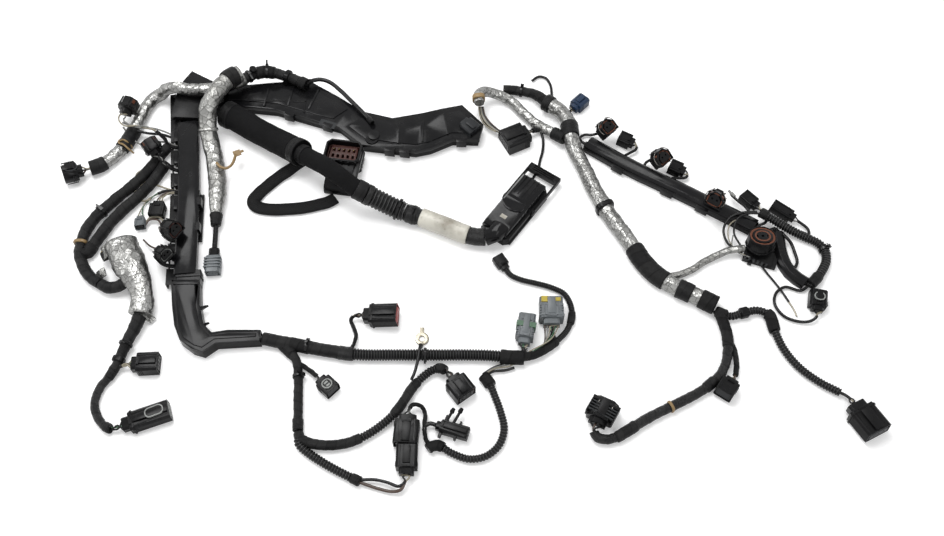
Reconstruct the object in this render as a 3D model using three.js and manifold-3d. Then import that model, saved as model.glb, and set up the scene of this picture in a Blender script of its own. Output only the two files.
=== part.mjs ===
// A vehicle engine wiring harness, spread out as it lies on a bench.
// Millimetres, +Z up, bench at z = 0. The origin is on the bench under the middle of the rigid pieces:
// the three cable troughs, the control-unit plug and the open socket plug.
import * as THREE from "three";
import { mergeVertices } from "three/addons/utils/BufferGeometryUtils.js";
import Module from "manifold-3d";

const wasm = await Module();
wasm.setup();

// Clearance where two separate pieces touch.
const gap = 0.3;
const ringSpread = 1.25;

// Troughs: channels with snap-on covers.
const troughWall = 2;
const channelHeight = 18;
const coverThickness = 3.2;
const leftChannelWidth = 28;
const leftLedgeWidth = 15;
const leftLedgeHeight = 13;
const latchPitch = 44;
const latchLength = 20;
const latchReach = 6;
const leftCableD = 15;
const elbowCableD = 11;
const backCoverLip = 5;
const backPanelInset = 9;
const backPanelRise = 1.4;
const backCableD = 13;
const cornerBoxHeight = 27;
const cornerRoof = 2.5;
const rightChannelWidth = 22;
const rightChannelHeight = 12;
const rightCoverRise = 9;
const rightCableD = 9.5;
const endTroughWidth = 19;
const endCableD = 8;
const endTroughHeight = 15;

// Control-unit plug: housing, wire cover and U-shaped locking lever.
const unitLength = 117;
const unitWidth = 50;
const unitHeight = 16;
const unitShroud = 4;
const unitCavity = 9;
const unitRail = 2;
const unitCoverWidth = 42;
const unitCoverHeight = 20;
const unitCoverStart = 4;
const leverPivotX = 70;
const leverPivotZ = 12;
const leverPin = 7;
const leverArm = 2.6;
const leverDepth = 9;
const leverReach = 76;
const leverBar = 13;
const leverBoss = 12;
const railTop = 5.5;

// Open socket plug with its wire cover.
const socketWidth = 58;
const socketDepth = 40;
const socketHeight = 35;
const socketWall = 3;
const socketCavity = 20;
const socketCoverLength = 42;
const socketCoverHeight = 25;
const terminalClearance = 0.4;
const terminalHeight = 11;

// Trunk and branch coverings, by outer diameter or width.
const sleeveD = 42;
const neckD = 29;
const conduitD = 31;
const tailD = 27;
const labelWall = 0.8;
const braidWidth = 21;
const braidThickness = 7;
const leftFoilD = 20;
const dropFoilD = 28;
const dropLeadD = 8;
const tapedPairD = 18;
const backRunD = 18;
const overLeadD = 7;
const lowerTrunkD = 17;
const leadD = 7;
const sideLeadD = 6;
const thinLeadD = 4.5;
const dropConduitD = 13;
const arcConduitD = 12.5;
const loopConduitD = 11;
const greyBundleD = 9;
const rightFoilD = 25;
const shortFoilD = 17;
const thinFoilD = 11;
const topTapeD = 16;
const rightDropD = 14;
const subBranchD = 8;
const tailConduitD = 12;
const rightLoopD = 14;

// Helpers for solids.
const group = new THREE.Group();
const flatUp = new THREE.Matrix4().makeBasis(
  new THREE.Vector3(0, 1, 0),
  new THREE.Vector3(0, 0, 1),
  new THREE.Vector3(1, 0, 0),
);

function solid(geometry) {
  const bare = geometry.clone();
  for (const name of Object.keys(bare.attributes)) if (name !== "position") bare.deleteAttribute(name);
  const merged = mergeVertices(bare, 1e-4);
  const index = merged.index.array;
  return new wasm.Manifold(
    new wasm.Mesh({
      numProp: 3,
      vertProperties: new Float32Array(merged.attributes.position.array),
      triVerts: new Uint32Array(index),
    }),
  );
}

function geometryOf(body) {
  const mesh = body.getMesh();
  const geometry = new THREE.BufferGeometry();
  geometry.setAttribute("position", new THREE.BufferAttribute(new Float32Array(mesh.vertProperties), 3));
  geometry.setIndex(new THREE.BufferAttribute(new Uint32Array(mesh.triVerts), 1));
  const faceted = geometry.toNonIndexed();
  faceted.computeVertexNormals();
  return faceted;
}

const join = (first, ...rest) => rest.reduce((sum, next) => sum.add(next), first);
const cut = (first, ...rest) => rest.reduce((left, next) => left.subtract(next), first);

function finish(color, roughness, metalness = 0) {
  return new THREE.MeshStandardMaterial({ color, roughness, metalness, flatShading: true });
}

const blackPlastic = finish(0x17181a, 0.45);
const coverPlastic = finish(0x1c1d20, 0.4);
const clothTape = finish(0x1a1a1b, 0.9);
const conduitPlastic = finish(0x141415, 0.5);
const foil = finish(0xb9bab8, 0.3, 0.9);
const labelFilm = finish(0xd8d4c8, 0.5);
const greyPlastic = finish(0x7f878c, 0.55);
const braid = finish(0x121213, 0.85);
const terminalRed = finish(0x6b2c22, 0.6);
const tinned = finish(0xb5aea0, 0.35, 0.9);
const bluePlastic = finish(0x24384f, 0.5);

function add(name, shape, material, parent = group) {
  const geometry = shape.isBufferGeometry ? shape : geometryOf(shape);
  const mesh = new THREE.Mesh(geometry, material);
  mesh.name = name;
  parent.add(mesh);
  return mesh;
}

// Section outlines.
function circle(diameter, sides) {
  const points = [];
  for (let i = 0; i < sides; i++) {
    const a = (2 * Math.PI * (i + 0.5)) / sides;
    points.push([(diameter / 2) * Math.cos(a), (diameter / 2) * Math.sin(a)]);
  }
  return points;
}

function chamfered(width, height, corner) {
  const w = width / 2;
  const h = height / 2;
  const c = Math.min(corner, 0.45 * width, 0.45 * height);
  return [[-w + c, -h], [w - c, -h], [w, -h + c], [w, h - c], [w - c, h], [-w + c, h], [-w, h - c], [-w, -h + c]];
}

// A moulded plug's section: square lower corners and chamfered upper ones.
function moulded(width, height, corner) {
  const w = width / 2;
  const h = height / 2;
  const c = Math.min(corner, 0.45 * width, 0.45 * height);
  return [[-w, -h], [w, -h], [w, h - c], [w - c, h], [-w + c, h], [-w, h - c]];
}

const shapeOf = (points) => new THREE.Shape(points.map(([x, y]) => new THREE.Vector2(x, y)));

// An outline in (y, z) drawn out along x.
function alongX(outline, x0, x1) {
  const geometry = new THREE.ExtrudeGeometry(shapeOf(outline), { depth: x1 - x0, bevelEnabled: false });
  return solid(geometry.applyMatrix4(flatUp).translate(x0, 0, 0));
}

// A plan outline in (x, y) raised from z0 to z1.
function plate(outline, z0, z1) {
  const geometry = new THREE.ExtrudeGeometry(shapeOf(outline), { depth: z1 - z0, bevelEnabled: false });
  return solid(geometry.translate(0, 0, z0));
}

function box(x0, x1, y0, y1, z0, z1) {
  const geometry = new THREE.BoxGeometry(x1 - x0, y1 - y0, z1 - z0);
  return solid(geometry.translate((x0 + x1) / 2, (y0 + y1) / 2, (z0 + z1) / 2));
}

// A closed plan outline moved inwards by a distance, or outwards by a negative one.
function inset(outline, distance) {
  let area = 0;
  outline.forEach(([x, y], i) => {
    const [nx, ny] = outline[(i + 1) % outline.length];
    area += x * ny - nx * y;
  });
  const turn = Math.sign(area);
  return outline.map((point, i) => {
    const before = outline[(i + outline.length - 1) % outline.length];
    const after = outline[(i + 1) % outline.length];
    const a = new THREE.Vector2(point[0] - before[0], point[1] - before[1]).normalize();
    const b = new THREE.Vector2(after[0] - point[0], after[1] - point[1]).normalize();
    const na = new THREE.Vector2(-a.y, a.x).multiplyScalar(turn);
    const nb = new THREE.Vector2(-b.y, b.x).multiplyScalar(turn);
    const mid = na.clone().add(nb).normalize();
    const reach = distance / Math.max(0.5, mid.dot(na));
    return [point[0] + mid.x * reach, point[1] + mid.y * reach];
  });
}

const curveThrough = (points) =>
  new THREE.CatmullRomCurve3(points.map(([x, y, z]) => new THREE.Vector3(x, y, z)), false, "centripetal");

// A section of (side, up) points drawn along a level route; side is to the left of travel.
function along(points, section, steps) {
  const outline = section.map(([side, up]) => [-up, side]);
  return solid(
    new THREE.ExtrudeGeometry(shapeOf(outline), { steps, bevelEnabled: false, extrudePath: curveThrough(points) }),
  );
}

// A tube of one diameter along a route; the pitch of its rings is in diameters.
function tube(points, diameter, sides = 8, pitch = 2.2) {
  const curve = curveThrough(points);
  const steps = Math.max(2, Math.round(curve.getLength() / (pitch * ringSpread * diameter)));
  return solid(
    new THREE.ExtrudeGeometry(shapeOf(circle(diameter, sides)), { steps, bevelEnabled: false, extrudePath: curve }),
  );
}

// A wrapped bundle whose section changes along its route.
function bundle(points, diameterAt, sides, steps) {
  const curve = curveThrough(points);
  const frames = curve.computeFrenetFrames(steps, false);
  const position = [];
  const index = [];
  for (let i = 0; i <= steps; i++) {
    const centre = curve.getPointAt(i / steps);
    for (const [a, b] of circle(diameterAt(i / steps), sides)) {
      const p = centre.clone().addScaledVector(frames.normals[i], a).addScaledVector(frames.binormals[i], b);
      position.push(p.x, p.y, p.z);
    }
  }
  for (let i = 0; i < steps; i++) {
    for (let j = 0; j < sides; j++) {
      const k = (j + 1) % sides;
      const a = i * sides + j;
      const b = i * sides + k;
      index.push(a, b, a + sides, b, b + sides, a + sides);
    }
  }
  const last = steps * sides;
  for (let j = 1; j < sides - 1; j++) {
    index.push(0, j + 1, j);
    index.push(last, last + j, last + j + 1);
  }
  const geometry = new THREE.BufferGeometry();
  geometry.setAttribute("position", new THREE.BufferAttribute(new Float32Array(position), 3));
  geometry.setIndex(index);
  return solid(geometry);
}

// Left trough: channel with a latch ledge on its outer side, the elbow at its foot, covers and cables.
const leftLine = [[-474, 211, 0], [-457, 103, 0], [-443, 6, 0], [-434, -76, 0], [-427, -150, 0]];
const leftHalf = leftChannelWidth / 2;
const leftCoverTop = channelHeight + gap + coverThickness;

const leftChannelSection = [
  [-leftHalf, 0],
  [leftHalf, 0],
  [leftHalf, channelHeight],
  [leftHalf - troughWall, channelHeight],
  [leftHalf - troughWall, troughWall],
  [-leftHalf + troughWall, troughWall],
  [-leftHalf + troughWall, channelHeight],
  [-leftHalf, channelHeight],
  [-leftHalf, leftLedgeHeight],
  [-leftHalf - leftLedgeWidth, leftLedgeHeight],
  [-leftHalf - leftLedgeWidth, 0],
  [-leftHalf - leftLedgeWidth + troughWall, 0],
  [-leftHalf - leftLedgeWidth + troughWall, leftLedgeHeight - troughWall],
  [-leftHalf, leftLedgeHeight - troughWall],
];

const leftSkirt = leftHalf + gap;
const leftCoverSection = [
  [-leftSkirt - troughWall, leftLedgeHeight + gap],
  [-leftSkirt, leftLedgeHeight + gap],
  [-leftSkirt, channelHeight + gap],
  [leftSkirt, channelHeight + gap],
  [leftSkirt, leftLedgeHeight - 5],
  [leftSkirt + troughWall, leftLedgeHeight - 5],
  [leftSkirt + troughWall, leftCoverTop - 2],
  [leftSkirt - 1.5, leftCoverTop],
  [-leftSkirt + 1.5, leftCoverTop],
  [-leftSkirt - troughWall, leftCoverTop - 2],
];

const elbowOutline = [
  [-446, -145], [-438, -192], [-430, -224], [-419, -247], [-400, -261], [-384, -266], [-367, -252], [-305, -248],
  [-305, -231], [-352, -231], [-375, -235], [-388, -222], [-398, -190], [-405, -145],
];

// A block of a length along a trough, set at a distance down its line; side is to the left of travel.
function onTrough(line, distance, x0, x1, z0, z1, length) {
  const curve = curveThrough(line);
  const t = distance / curve.getLength();
  const p = curve.getPointAt(t);
  const d = curve.getTangentAt(t);
  const geometry = new THREE.BoxGeometry(x1 - x0, length, z1 - z0);
  geometry.translate((x0 + x1) / 2, 0, (z0 + z1) / 2);
  geometry.rotateZ(Math.atan2(d.y, d.x) + Math.PI / 2);
  return solid(geometry.translate(p.x, p.y, 0));
}

const leftLength = curveThrough(leftLine).getLength();
const cornerLength = 68;
const latchCount = Math.floor((leftLength - cornerLength - latchPitch) / latchPitch) + 1;
const latchPlaces = Array.from({ length: latchCount }, (_, i) => cornerLength + latchPitch * (i + 0.55));
const latchInner = leftHalf + gap + troughWall;

let leftChannel = along(leftLine, leftChannelSection, 8);
const leftWindows = latchPlaces.map((place) =>
  onTrough(leftLine, place, -latchInner - latchReach - gap, -latchInner + gap, 6, channelHeight, latchLength + 2 * gap),
);
const elbowChannel = cut(
  plate(elbowOutline, 0, channelHeight),
  plate(inset(elbowOutline, troughWall), troughWall, channelHeight + 1),
  box(-315, -300, -248 + troughWall, -231 - troughWall, troughWall, channelHeight + 1),
);
leftChannel = join(cut(leftChannel, ...leftWindows), elbowChannel);
const leftBore = along(
  [[-435, -70, 0], [-429, -130, 0], [-424, -165, 0]],
  [
    [-leftHalf + troughWall, troughWall],
    [leftHalf - troughWall, troughWall],
    [leftHalf - troughWall, channelHeight + 1],
    [-leftHalf + troughWall, channelHeight + 1],
  ],
  2,
);
const leadNotches = [
  [-484, 101], [-477, 56], [-468, 14], [-459, -74], [-453, -118],
].map(([x, y]) => box(x - 14, x + 30, y - 8, y + 8, 3.5, leftLedgeHeight + 0.01));
add("left_trough_channel", cut(leftChannel, leftBore, ...leadNotches), blackPlastic);

const coverLine = [[-463.5, 145, 0], [-457, 103, 0], [-443, 6, 0], [-434, -76, 0], [-428, -138, 0]];
const latchTongues = latchPlaces.map((place) =>
  join(
    onTrough(leftLine, place, -latchInner - latchReach, -latchInner + 1, leftLedgeHeight + gap, leftCoverTop - 3, latchLength),
    onTrough(leftLine, place, -latchInner - latchReach, -latchInner - 2, 7, leftLedgeHeight + 1, latchLength),
  ),
);
add("left_trough_cover", join(along(coverLine, leftCoverSection, 7), ...latchTongues), coverPlastic);

const elbowCoverOutline = elbowOutline.map(([x, y]) => [x, Math.min(y, -149)]);
const elbowCover = join(
  plate(elbowCoverOutline, channelHeight + gap, leftCoverTop),
  plate(inset(elbowCoverOutline, 6), leftCoverTop - 0.5, leftCoverTop + 1.4),
  box(-441, -405, -158, -152, leftCoverTop - 0.5, leftCoverTop + 3),
);
add("left_elbow_cover", elbowCover, coverPlastic);

// The cables held inside the left trough, with the short leads to its side plugs and the two smallest plugs.
const leftCableLine = [[-464, 150, 10], [-457, 103, 10], [-443, 6, 10], [-434, -76, 10], [-427, -150, 10], [-421, -185, 10]];
const elbowCableLine = [
  [-422, -182, 9], [-414, -213, 9], [-403, -236, 9], [-384, -245, 9], [-359, -241, 9], [-334, -239.5, 9], [-306, -239.5, 9],
];
const leadToPlug1 = [
  [-457, 101, 8], [-476, 101, 8], [-489, 104, 10], [-498, 112, 24], [-513, 121, 30], [-534, 127, 31], [-556, 130, 31], [-567, 140, 31], [-564, 152, 32],
];
const leadToPlug2 = [[-450, 56, 8], [-467, 56, 8], [-475, 56, 12], [-482, 57, 20], [-488, 60, 26], [-493, 65, 30], [-497, 70, 33]];
const leadToPlug3 = [[-444, 13, 8], [-466, 14, 8], [-479, 12, 9], [-488, 4, 9], [-489, -6, 9]];
const leadToPlug4 = [[-434, -74, 8], [-458, -74, 8], [-470, -68, 12], [-476, -62, 22], [-471, -64, 31], [-464, -68, 36]];
const leadToPlug5 = [[-444, 15, 8], [-466, 17, 7], [-478, 19, 6.5], [-488, 19, 4], [-500, 12, 4], [-512, -2, 4], [-516, -18, 4.5], [-514, -32, 7]];
const leadToPlug6 = [[-430, -118, 8], [-456, -118, 8], [-468, -114, 9], [-476, -106, 14], [-476, -102, 23], [-470, -106, 28]];

// Plugs. Each is drawn along +x from the centre of its rear face, where its lead enters, to its mating face.
// Front moats hold the seal ring round the terminal block.
function sealedPlug({
  length, width, height, corner = 3, wall = 1.6, moat = 2.2, reach = 8,
  columns = 2, rows = 1, pin = 2, boot = 7, collar = 0, latch = true, sides = 0,
}) {
  const section = (w, h) => (sides ? circle(1, sides).map(([a, b]) => [a * w, b * h]) : moulded(w, h, corner));
  let body = join(
    alongX(section(0.7 * width, 0.7 * height), 0, boot + 1),
    alongX(section(width, height), boot, length),
  );
  if (collar) body = join(body, alongX(section(width + 2 * collar, height + 2 * collar), boot + 3, boot + 6));
  const ring = cut(
    alongX(section(width - 2 * wall, height - 2 * wall), length - reach, length + 1),
    alongX(section(width - 2 * (wall + moat), height - 2 * (wall + moat)), length - reach - 1, length + 2),
  );
  body = cut(body, ring);
  const blockWidth = width - 2 * (wall + moat);
  const blockHeight = height - 2 * (wall + moat);
  for (let c = 0; c < columns; c++) {
    for (let r = 0; r < rows; r++) {
      const y = ((c + 0.5) / columns - 0.5) * blockWidth * 0.84;
      const z = ((r + 0.5) / rows - 0.5) * blockHeight * 0.84;
      body = cut(body, box(length - 5, length + 1, y - pin / 2, y + pin / 2, z - pin / 2, z + pin / 2));
    }
  }
  if (latch) {
    const top = height / 2;
    const half = 0.17 * width;
    const bar = cut(
      box(boot + 5, length - 2, -half, half, top - 1, top + 2.8),
      box(boot + 8, length + 1, -half - 1, half + 1, top - 2, top + 1.2),
    );
    body = join(body, bar);
  }
  return body;
}

// Sets a plug drawn along +x square to the end of its lead, a gap beyond it, on the bench or above it.
function plugOn(route, body, distance = gap) {
  const curve = curveThrough(route);
  const end = curve.getPointAt(1);
  const ahead = curve.getTangentAt(1);
  const side = new THREE.Vector3(-ahead.y, ahead.x, 0).normalize();
  const up = new THREE.Vector3().crossVectors(ahead, side);
  const place = new THREE.Matrix4().makeBasis(ahead, side, up).setPosition(end.addScaledVector(ahead, distance));
  const placed = body.transform(place.elements);
  return placed.translate([0, 0, Math.max(0, gap - placed.boundingBox().min[2])]);
}

// A small plug fused to the end of its lead.
const fusedPlug = (route, spec) => plugOn(route, sealedPlug(spec), -1.5);

const smallPlug = { length: 24, width: 17, height: 13, corner: 2, boot: 6, reach: 6, moat: 1.6, wall: 1.2, latch: false };
const ringPlug = { length: 27, width: 26, height: 23, corner: 8, boot: 7, moat: 2.4, columns: 2, rows: 1, pin: 2.6, collar: 1.2, latch: false };

add(
  "left_trough_cables",
  join(
    tube(leftCableLine, leftCableD, 8, 3),
    tube(elbowCableLine, elbowCableD, 8, 2.5),
    ...[leadToPlug1, leadToPlug2, leadToPlug3, leadToPlug4, leadToPlug6].map((route) => tube(route, sideLeadD, 6, 3)),
    tube(leadToPlug5, thinLeadD, 6, 3),
    fusedPlug(leadToPlug5, { ...smallPlug, length: 22, width: 16, height: 12 }),
    fusedPlug(leadToPlug3, { ...smallPlug, length: 26, width: 24, height: 15, columns: 3 }),
  ),
  clothTape,
);
add("left_plug_1", plugOn(leadToPlug1, sealedPlug(ringPlug)), blackPlastic);
add("left_plug_2", plugOn(leadToPlug2, sealedPlug(ringPlug)), blackPlastic);
add("left_plug_4", plugOn(leadToPlug4, sealedPlug({ ...ringPlug, length: 30 })), blackPlastic);
add("left_plug_6", plugOn(leadToPlug6, sealedPlug({ ...ringPlug, width: 24, height: 19 })), blackPlastic);

// Back trough: a wide flat channel, with the corner box where it meets the left trough.
const backOutline = [
  [-408, 182], [-323, 172], [-255, 148], [-217, 136], [-177, 100], [-93, 88], [-69, 94], [-34, 112], [7, 111],
  [13, 138], [-20, 176], [-54, 168], [-81, 160], [-132, 149], [-182, 163], [-220, 191], [-276, 229], [-371, 219], [-408, 216],
];
const cornerOutline = [
  [-490, 150], [-437, 147], [-432, 166], [-408, 181], [-408, 217], [-426, 221], [-469, 246], [-486, 214],
];
const backInner = inset(backOutline, troughWall);
const backCoverOutline = inset(backOutline, -gap - troughWall);

const cornerBody = cut(
  plate(cornerOutline, 0, cornerBoxHeight),
  plate(inset(cornerOutline, troughWall), -1, cornerBoxHeight - cornerRoof),
  box(-510, -430, 100, 240, -1, channelHeight + gap),
);
const backChannel = cut(
  plate(backOutline, 0, channelHeight),
  plate(backInner, troughWall, channelHeight + 1),
  box(-16, 20, 118, 134, troughWall, channelHeight + 1),
);
add("back_trough_channel", cut(backChannel, box(-412, -403, 188, 211, troughWall, channelHeight + 1)), blackPlastic);
add("corner_box", cut(cornerBody, plate(inset(backOutline, -gap), -2, cornerBoxHeight + 2)), blackPlastic);

// Ribs and latch ears repeat along the front edge of the back cover.
const backLatches = [[-300, 163, -17], [-236, 141, -20], [-134, 92, -8], [-110, 89, -8], [-20, 110, 0]];
const backRibs = [[-340, 197, 84], [-300, 198, 82], [-262, 190, 72], [-120, 121, 88], [-82, 124, 90], [-45, 139, 98]];
function turnedBox(x, y, angle, length, width, z0, z1) {
  const geometry = new THREE.BoxGeometry(length, width, z1 - z0);
  geometry.rotateZ(THREE.MathUtils.degToRad(angle));
  return solid(geometry.translate(x, y, (z0 + z1) / 2));
}
const backTop = channelHeight + gap + coverThickness;
let backCover = cut(
  plate(backCoverOutline, channelHeight - backCoverLip, backTop),
  plate(inset(backOutline, -gap), channelHeight - backCoverLip - 1, channelHeight + gap),
  box(-425, -404, 160, 240, 0, backTop + 5),
);
const panel = plate(inset(backOutline, backPanelInset), backTop - 0.5, backTop + backPanelRise);
backCover = join(
  backCover,
  cut(panel, box(-425, -380, 160, 240, 0, 40), turnedBox(-205, 150, 42, 70, 30, 0, 40)),
  ...backLatches.map(([x, y, angle]) => turnedBox(x, y - 4, angle, 16, 7, 8, backTop + 1)),
  ...backRibs.map(([x, y, angle]) => turnedBox(x, y, angle, 44, 3, backTop - 0.5, backTop + backPanelRise + 1.2)),
);
const boss = new THREE.CylinderGeometry(9, 10, 5, 12).rotateX(Math.PI / 2).translate(-160, 114, backTop + 2);
backCover = join(backCover, solid(boss));
const backClip = sealedPlug({ length: 28, width: 25, height: 11, corner: 2, boot: 5, columns: 2, moat: 1.8, wall: 1.4 });
const backClipLine = [[-18, 142, backTop + 5], [-17, 141, backTop + 5]];
add("back_trough_cover", join(backCover, plugOn(backClipLine, backClip, 0)), coverPlastic);
add(
  "back_trough_cables",
  tube([[-403.5, 199.5, 8.4], [-370, 198, 8.4], [-300, 196, 8.4], [-235, 168, 8.4], [-190, 132, 8.4], [-130, 120, 8.4], [-75, 126, 8.4], [-30, 128, 8.4], [7, 126, 8.4]], backCableD, 8, 3),
  clothTape,
);

// Right trough: a narrow channel with a round-topped cover, and the short curved trough past its end.
const rightLine = [[182, 109, 0], [213, 86, 0], [256, 56, 0], [318, 19, 0], [377, -18, 0], [431, -53, 0]];
const rightHalf = rightChannelWidth / 2;
const rightChannelSection = [
  [-rightHalf, 0], [rightHalf, 0], [rightHalf, rightChannelHeight], [rightHalf - troughWall, rightChannelHeight],
  [rightHalf - troughWall, troughWall], [-rightHalf + troughWall, troughWall],
  [-rightHalf + troughWall, rightChannelHeight], [-rightHalf, rightChannelHeight],
];
function rightCoverSection() {
  const outer = rightHalf + gap + troughWall;
  const inner = rightHalf + gap;
  const low = rightChannelHeight - 5;
  const points = [[-outer, low], [-inner, low], [-inner, rightChannelHeight + gap], [inner, rightChannelHeight + gap]];
  points.push([inner, low], [outer, low]);
  for (let i = 0; i <= 6; i++) {
    const a = (Math.PI * i) / 6;
    points.push([outer * Math.cos(a), rightChannelHeight + gap + rightCoverRise * Math.sin(a)]);
  }
  return points;
}
const earInner = -rightHalf - gap - troughWall;
const rightEars = [66, 152, 212].map((place) =>
  onTrough(rightLine, place, earInner - 4, earInner + 1, 4, rightChannelHeight + 3, latchLength),
);

// Leads leave through notches in the upper side of the channel and the cover's skirt.
const rightNotches = [62, 98, 146, 186, 236].map((place) => onTrough(rightLine, place, rightHalf - 4, rightHalf + 5, 3.2, 12.4, 9));
add("right_trough_channel", cut(along(rightLine, rightChannelSection, 9), ...rightNotches), blackPlastic);
add(
  "right_trough_cover",
  join(
    cut(along([[184, 107.5, 0], ...rightLine.slice(1, 5), [429, -51.7, 0]], rightCoverSection(), 9), ...rightNotches),
    ...rightEars,
  ),
  coverPlastic,
);
const rightCableLine = [[180, 110.5, 7], [213, 86, 7], [256, 56, 7], [318, 19, 7], [377, -18, 7], [436, -56, 7]];
const endTroughLine = [[464, -60, 0], [463, -80, 0], [464, -103, 0], [470, -124, 0], [481, -138, 0], [492, -147, 0]];
const endHalf = endTroughWidth / 2;
const endOutline = [
  [-endHalf, 0], [endHalf, 0], [endHalf, endTroughHeight - 5], [endHalf - 5, endTroughHeight],
  [-endHalf + 5, endTroughHeight], [-endHalf, endTroughHeight - 5],
];
const endTunnel = [
  [-endHalf + troughWall, troughWall], [endHalf - troughWall, troughWall], [endHalf - troughWall, endTroughHeight - 6],
  [endHalf - 6, endTroughHeight - troughWall], [-endHalf + 6, endTroughHeight - troughWall],
  [-endHalf + troughWall, endTroughHeight - 6],
];
const [endFirst, , , , , endLast] = endTroughLine;
const tunnelLine = [[endFirst[0], endFirst[1] + 2, 0], ...endTroughLine, [endLast[0] + 2, endLast[1] - 1.6, 0]];
add("right_end_trough", cut(along(endTroughLine, endOutline, 7), along(tunnelLine, endTunnel, 8)), coverPlastic);

// Leads that leave the right trough's upper side, over the cover's skirt, with the three smallest plugs.
const leadOut1 = [[184, 107.5, 7], [174, 115, 7], [172, 124, 5], [180, 130, 5], [191, 129, 6], [199, 129, 9], [203, 127, 14], [205, 125, 20]];
const leadOut2 = [[431, -50.5, 9.2], [438, -47.5, 11.5], [446, -44, 12.5], [449, -34, 10.5], [446, -22, 9], [438, -12, 9]];
const smallRight = { ...smallPlug, length: 26, width: 22, height: 16 };
const injector = { ...ringPlug, length: 28, width: 27, height: 24, corner: 9 };
const injectorLead2 = [[262, 52, 6.5], [271, 67, 6.5], [274, 72, 8], [280, 73, 14], [284, 69, 22]];
const injectorLead3 = [[380, -20.5, 6.5], [389, -5, 6.5], [389, 0, 10], [383, 0, 20], [377, -5, 28], [373, -11, 34]];
const smallLead1 = [[231, 73, 6.5], [241, 86, 6.5], [250, 92, 7], [260, 98, 8], [262, 105, 9], [256, 109, 9.5]];
const smallLead2 = [[303, 28, 6.5], [312, 42, 6.5], [322, 43, 7], [334, 43, 8], [338, 49, 9], [332, 53, 9.5]];
add(
  "right_trough_cables",
  join(
    tube(rightCableLine, rightCableD, 8, 3),
    ...[leadOut1, leadOut2, injectorLead2, injectorLead3, smallLead1, smallLead2].map((route) => tube(route, thinLeadD, 6, 3)),
    fusedPlug(leadOut2, { ...smallPlug, length: 30, width: 20, height: 15 }),
    fusedPlug(smallLead1, smallRight),
    fusedPlug(smallLead2, smallRight),
  ),
  clothTape,
);
add("right_plug_1", plugOn(leadOut1, sealedPlug(injector)), blackPlastic);
add("right_plug_2", plugOn(injectorLead2, sealedPlug(injector)), blackPlastic);
add("right_plug_3", plugOn(injectorLead3, sealedPlug({ ...injector, length: 24 })), blackPlastic);

// Control-unit plug, in a frame of its own: x from the wire end to the lever's bar.
const unit = new THREE.Group();
unit.position.set(29, -67, 0);
unit.rotation.z = THREE.MathUtils.degToRad(54.4);
group.add(unit);
const unitHalf = unitWidth / 2;
const planOf = (x0, x1, width, corner) =>
  chamfered(x1 - x0, width, corner).map(([x, y]) => [x + (x0 + x1) / 2, y]);
let housing = plate(planOf(0, unitLength, unitWidth, 7), 0, unitHeight);
housing = cut(
  housing,
  cut(
    plate(planOf(unitShroud, unitLength - unitShroud, unitWidth - 2 * unitShroud, 4), -1, unitCavity),
    plate(planOf(unitShroud + 3.2, unitLength - unitShroud - 3.2, unitWidth - 2 * unitShroud - 6.4, 3), -2, unitCavity + 1),
  ),
);
for (let column = 0; column < 6; column++) {
  for (const y of [-8, 8]) {
    const x = 19 + column * 15.8;
    housing = cut(housing, box(x - 1.8, x + 1.8, y - 1.8, y + 1.8, -1, 5));
  }
}
for (const side of [-1, 1]) {
  const y = side * unitHalf;
  const [railIn, railOut] = [y - side, y + side * unitRail].sort((a, b) => a - b);
  housing = join(housing, box(6, unitLength - 8, railIn, railOut, 1, railTop));
  const pin = new THREE.CylinderGeometry(leverPin / 2, leverPin / 2, leverArm + gap + 2, 12);
  housing = join(housing, solid(pin.translate(leverPivotX, side * (unitHalf + (leverArm + gap) / 2), leverPivotZ)));
}
add("unit_plug_housing", housing, blackPlastic, unit);

const coverEnd = unitLength - 5;
const coverBase = unitHeight + gap;
const crown = coverBase + unitCoverHeight;
const sideProfile = new THREE.Shape();
sideProfile.moveTo(unitCoverStart, coverBase);
sideProfile.lineTo(coverEnd, coverBase);
sideProfile.lineTo(coverEnd, crown - 9);
sideProfile.quadraticCurveTo(coverEnd - 1, crown - 2, coverEnd - 9, crown - 1);
sideProfile.lineTo(66, crown);
sideProfile.lineTo(62, crown - 3);
sideProfile.lineTo(20, crown - 5);
sideProfile.quadraticCurveTo(unitCoverStart, crown - 7, unitCoverStart, coverBase + 6);
sideProfile.closePath();
const sideCut = new THREE.ExtrudeGeometry(sideProfile, { depth: unitCoverWidth, bevelEnabled: false, curveSegments: 4 });
sideCut.rotateX(Math.PI / 2).translate(0, unitCoverWidth / 2, 0);
const endSection = [
  [-unitCoverWidth / 2, coverBase - 1], [unitCoverWidth / 2, coverBase - 1], [unitCoverWidth / 2, crown - 8],
  [unitCoverWidth / 2 - 5, crown - 1.5], [unitCoverWidth / 2 - 11, crown + 1], [-unitCoverWidth / 2 + 11, crown + 1],
  [-unitCoverWidth / 2 + 5, crown - 1.5], [-unitCoverWidth / 2, crown - 8],
];
const seam = new THREE.Shape();
seam.absarc(66, 0, 25, 0.6 * Math.PI, 1.4 * Math.PI, false);
seam.absarc(66, 0, 21.5, 1.4 * Math.PI, 0.6 * Math.PI, true);
seam.closePath();
const seamRib = new THREE.ExtrudeGeometry(seam, { depth: 8, bevelEnabled: false, curveSegments: 8 });
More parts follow.
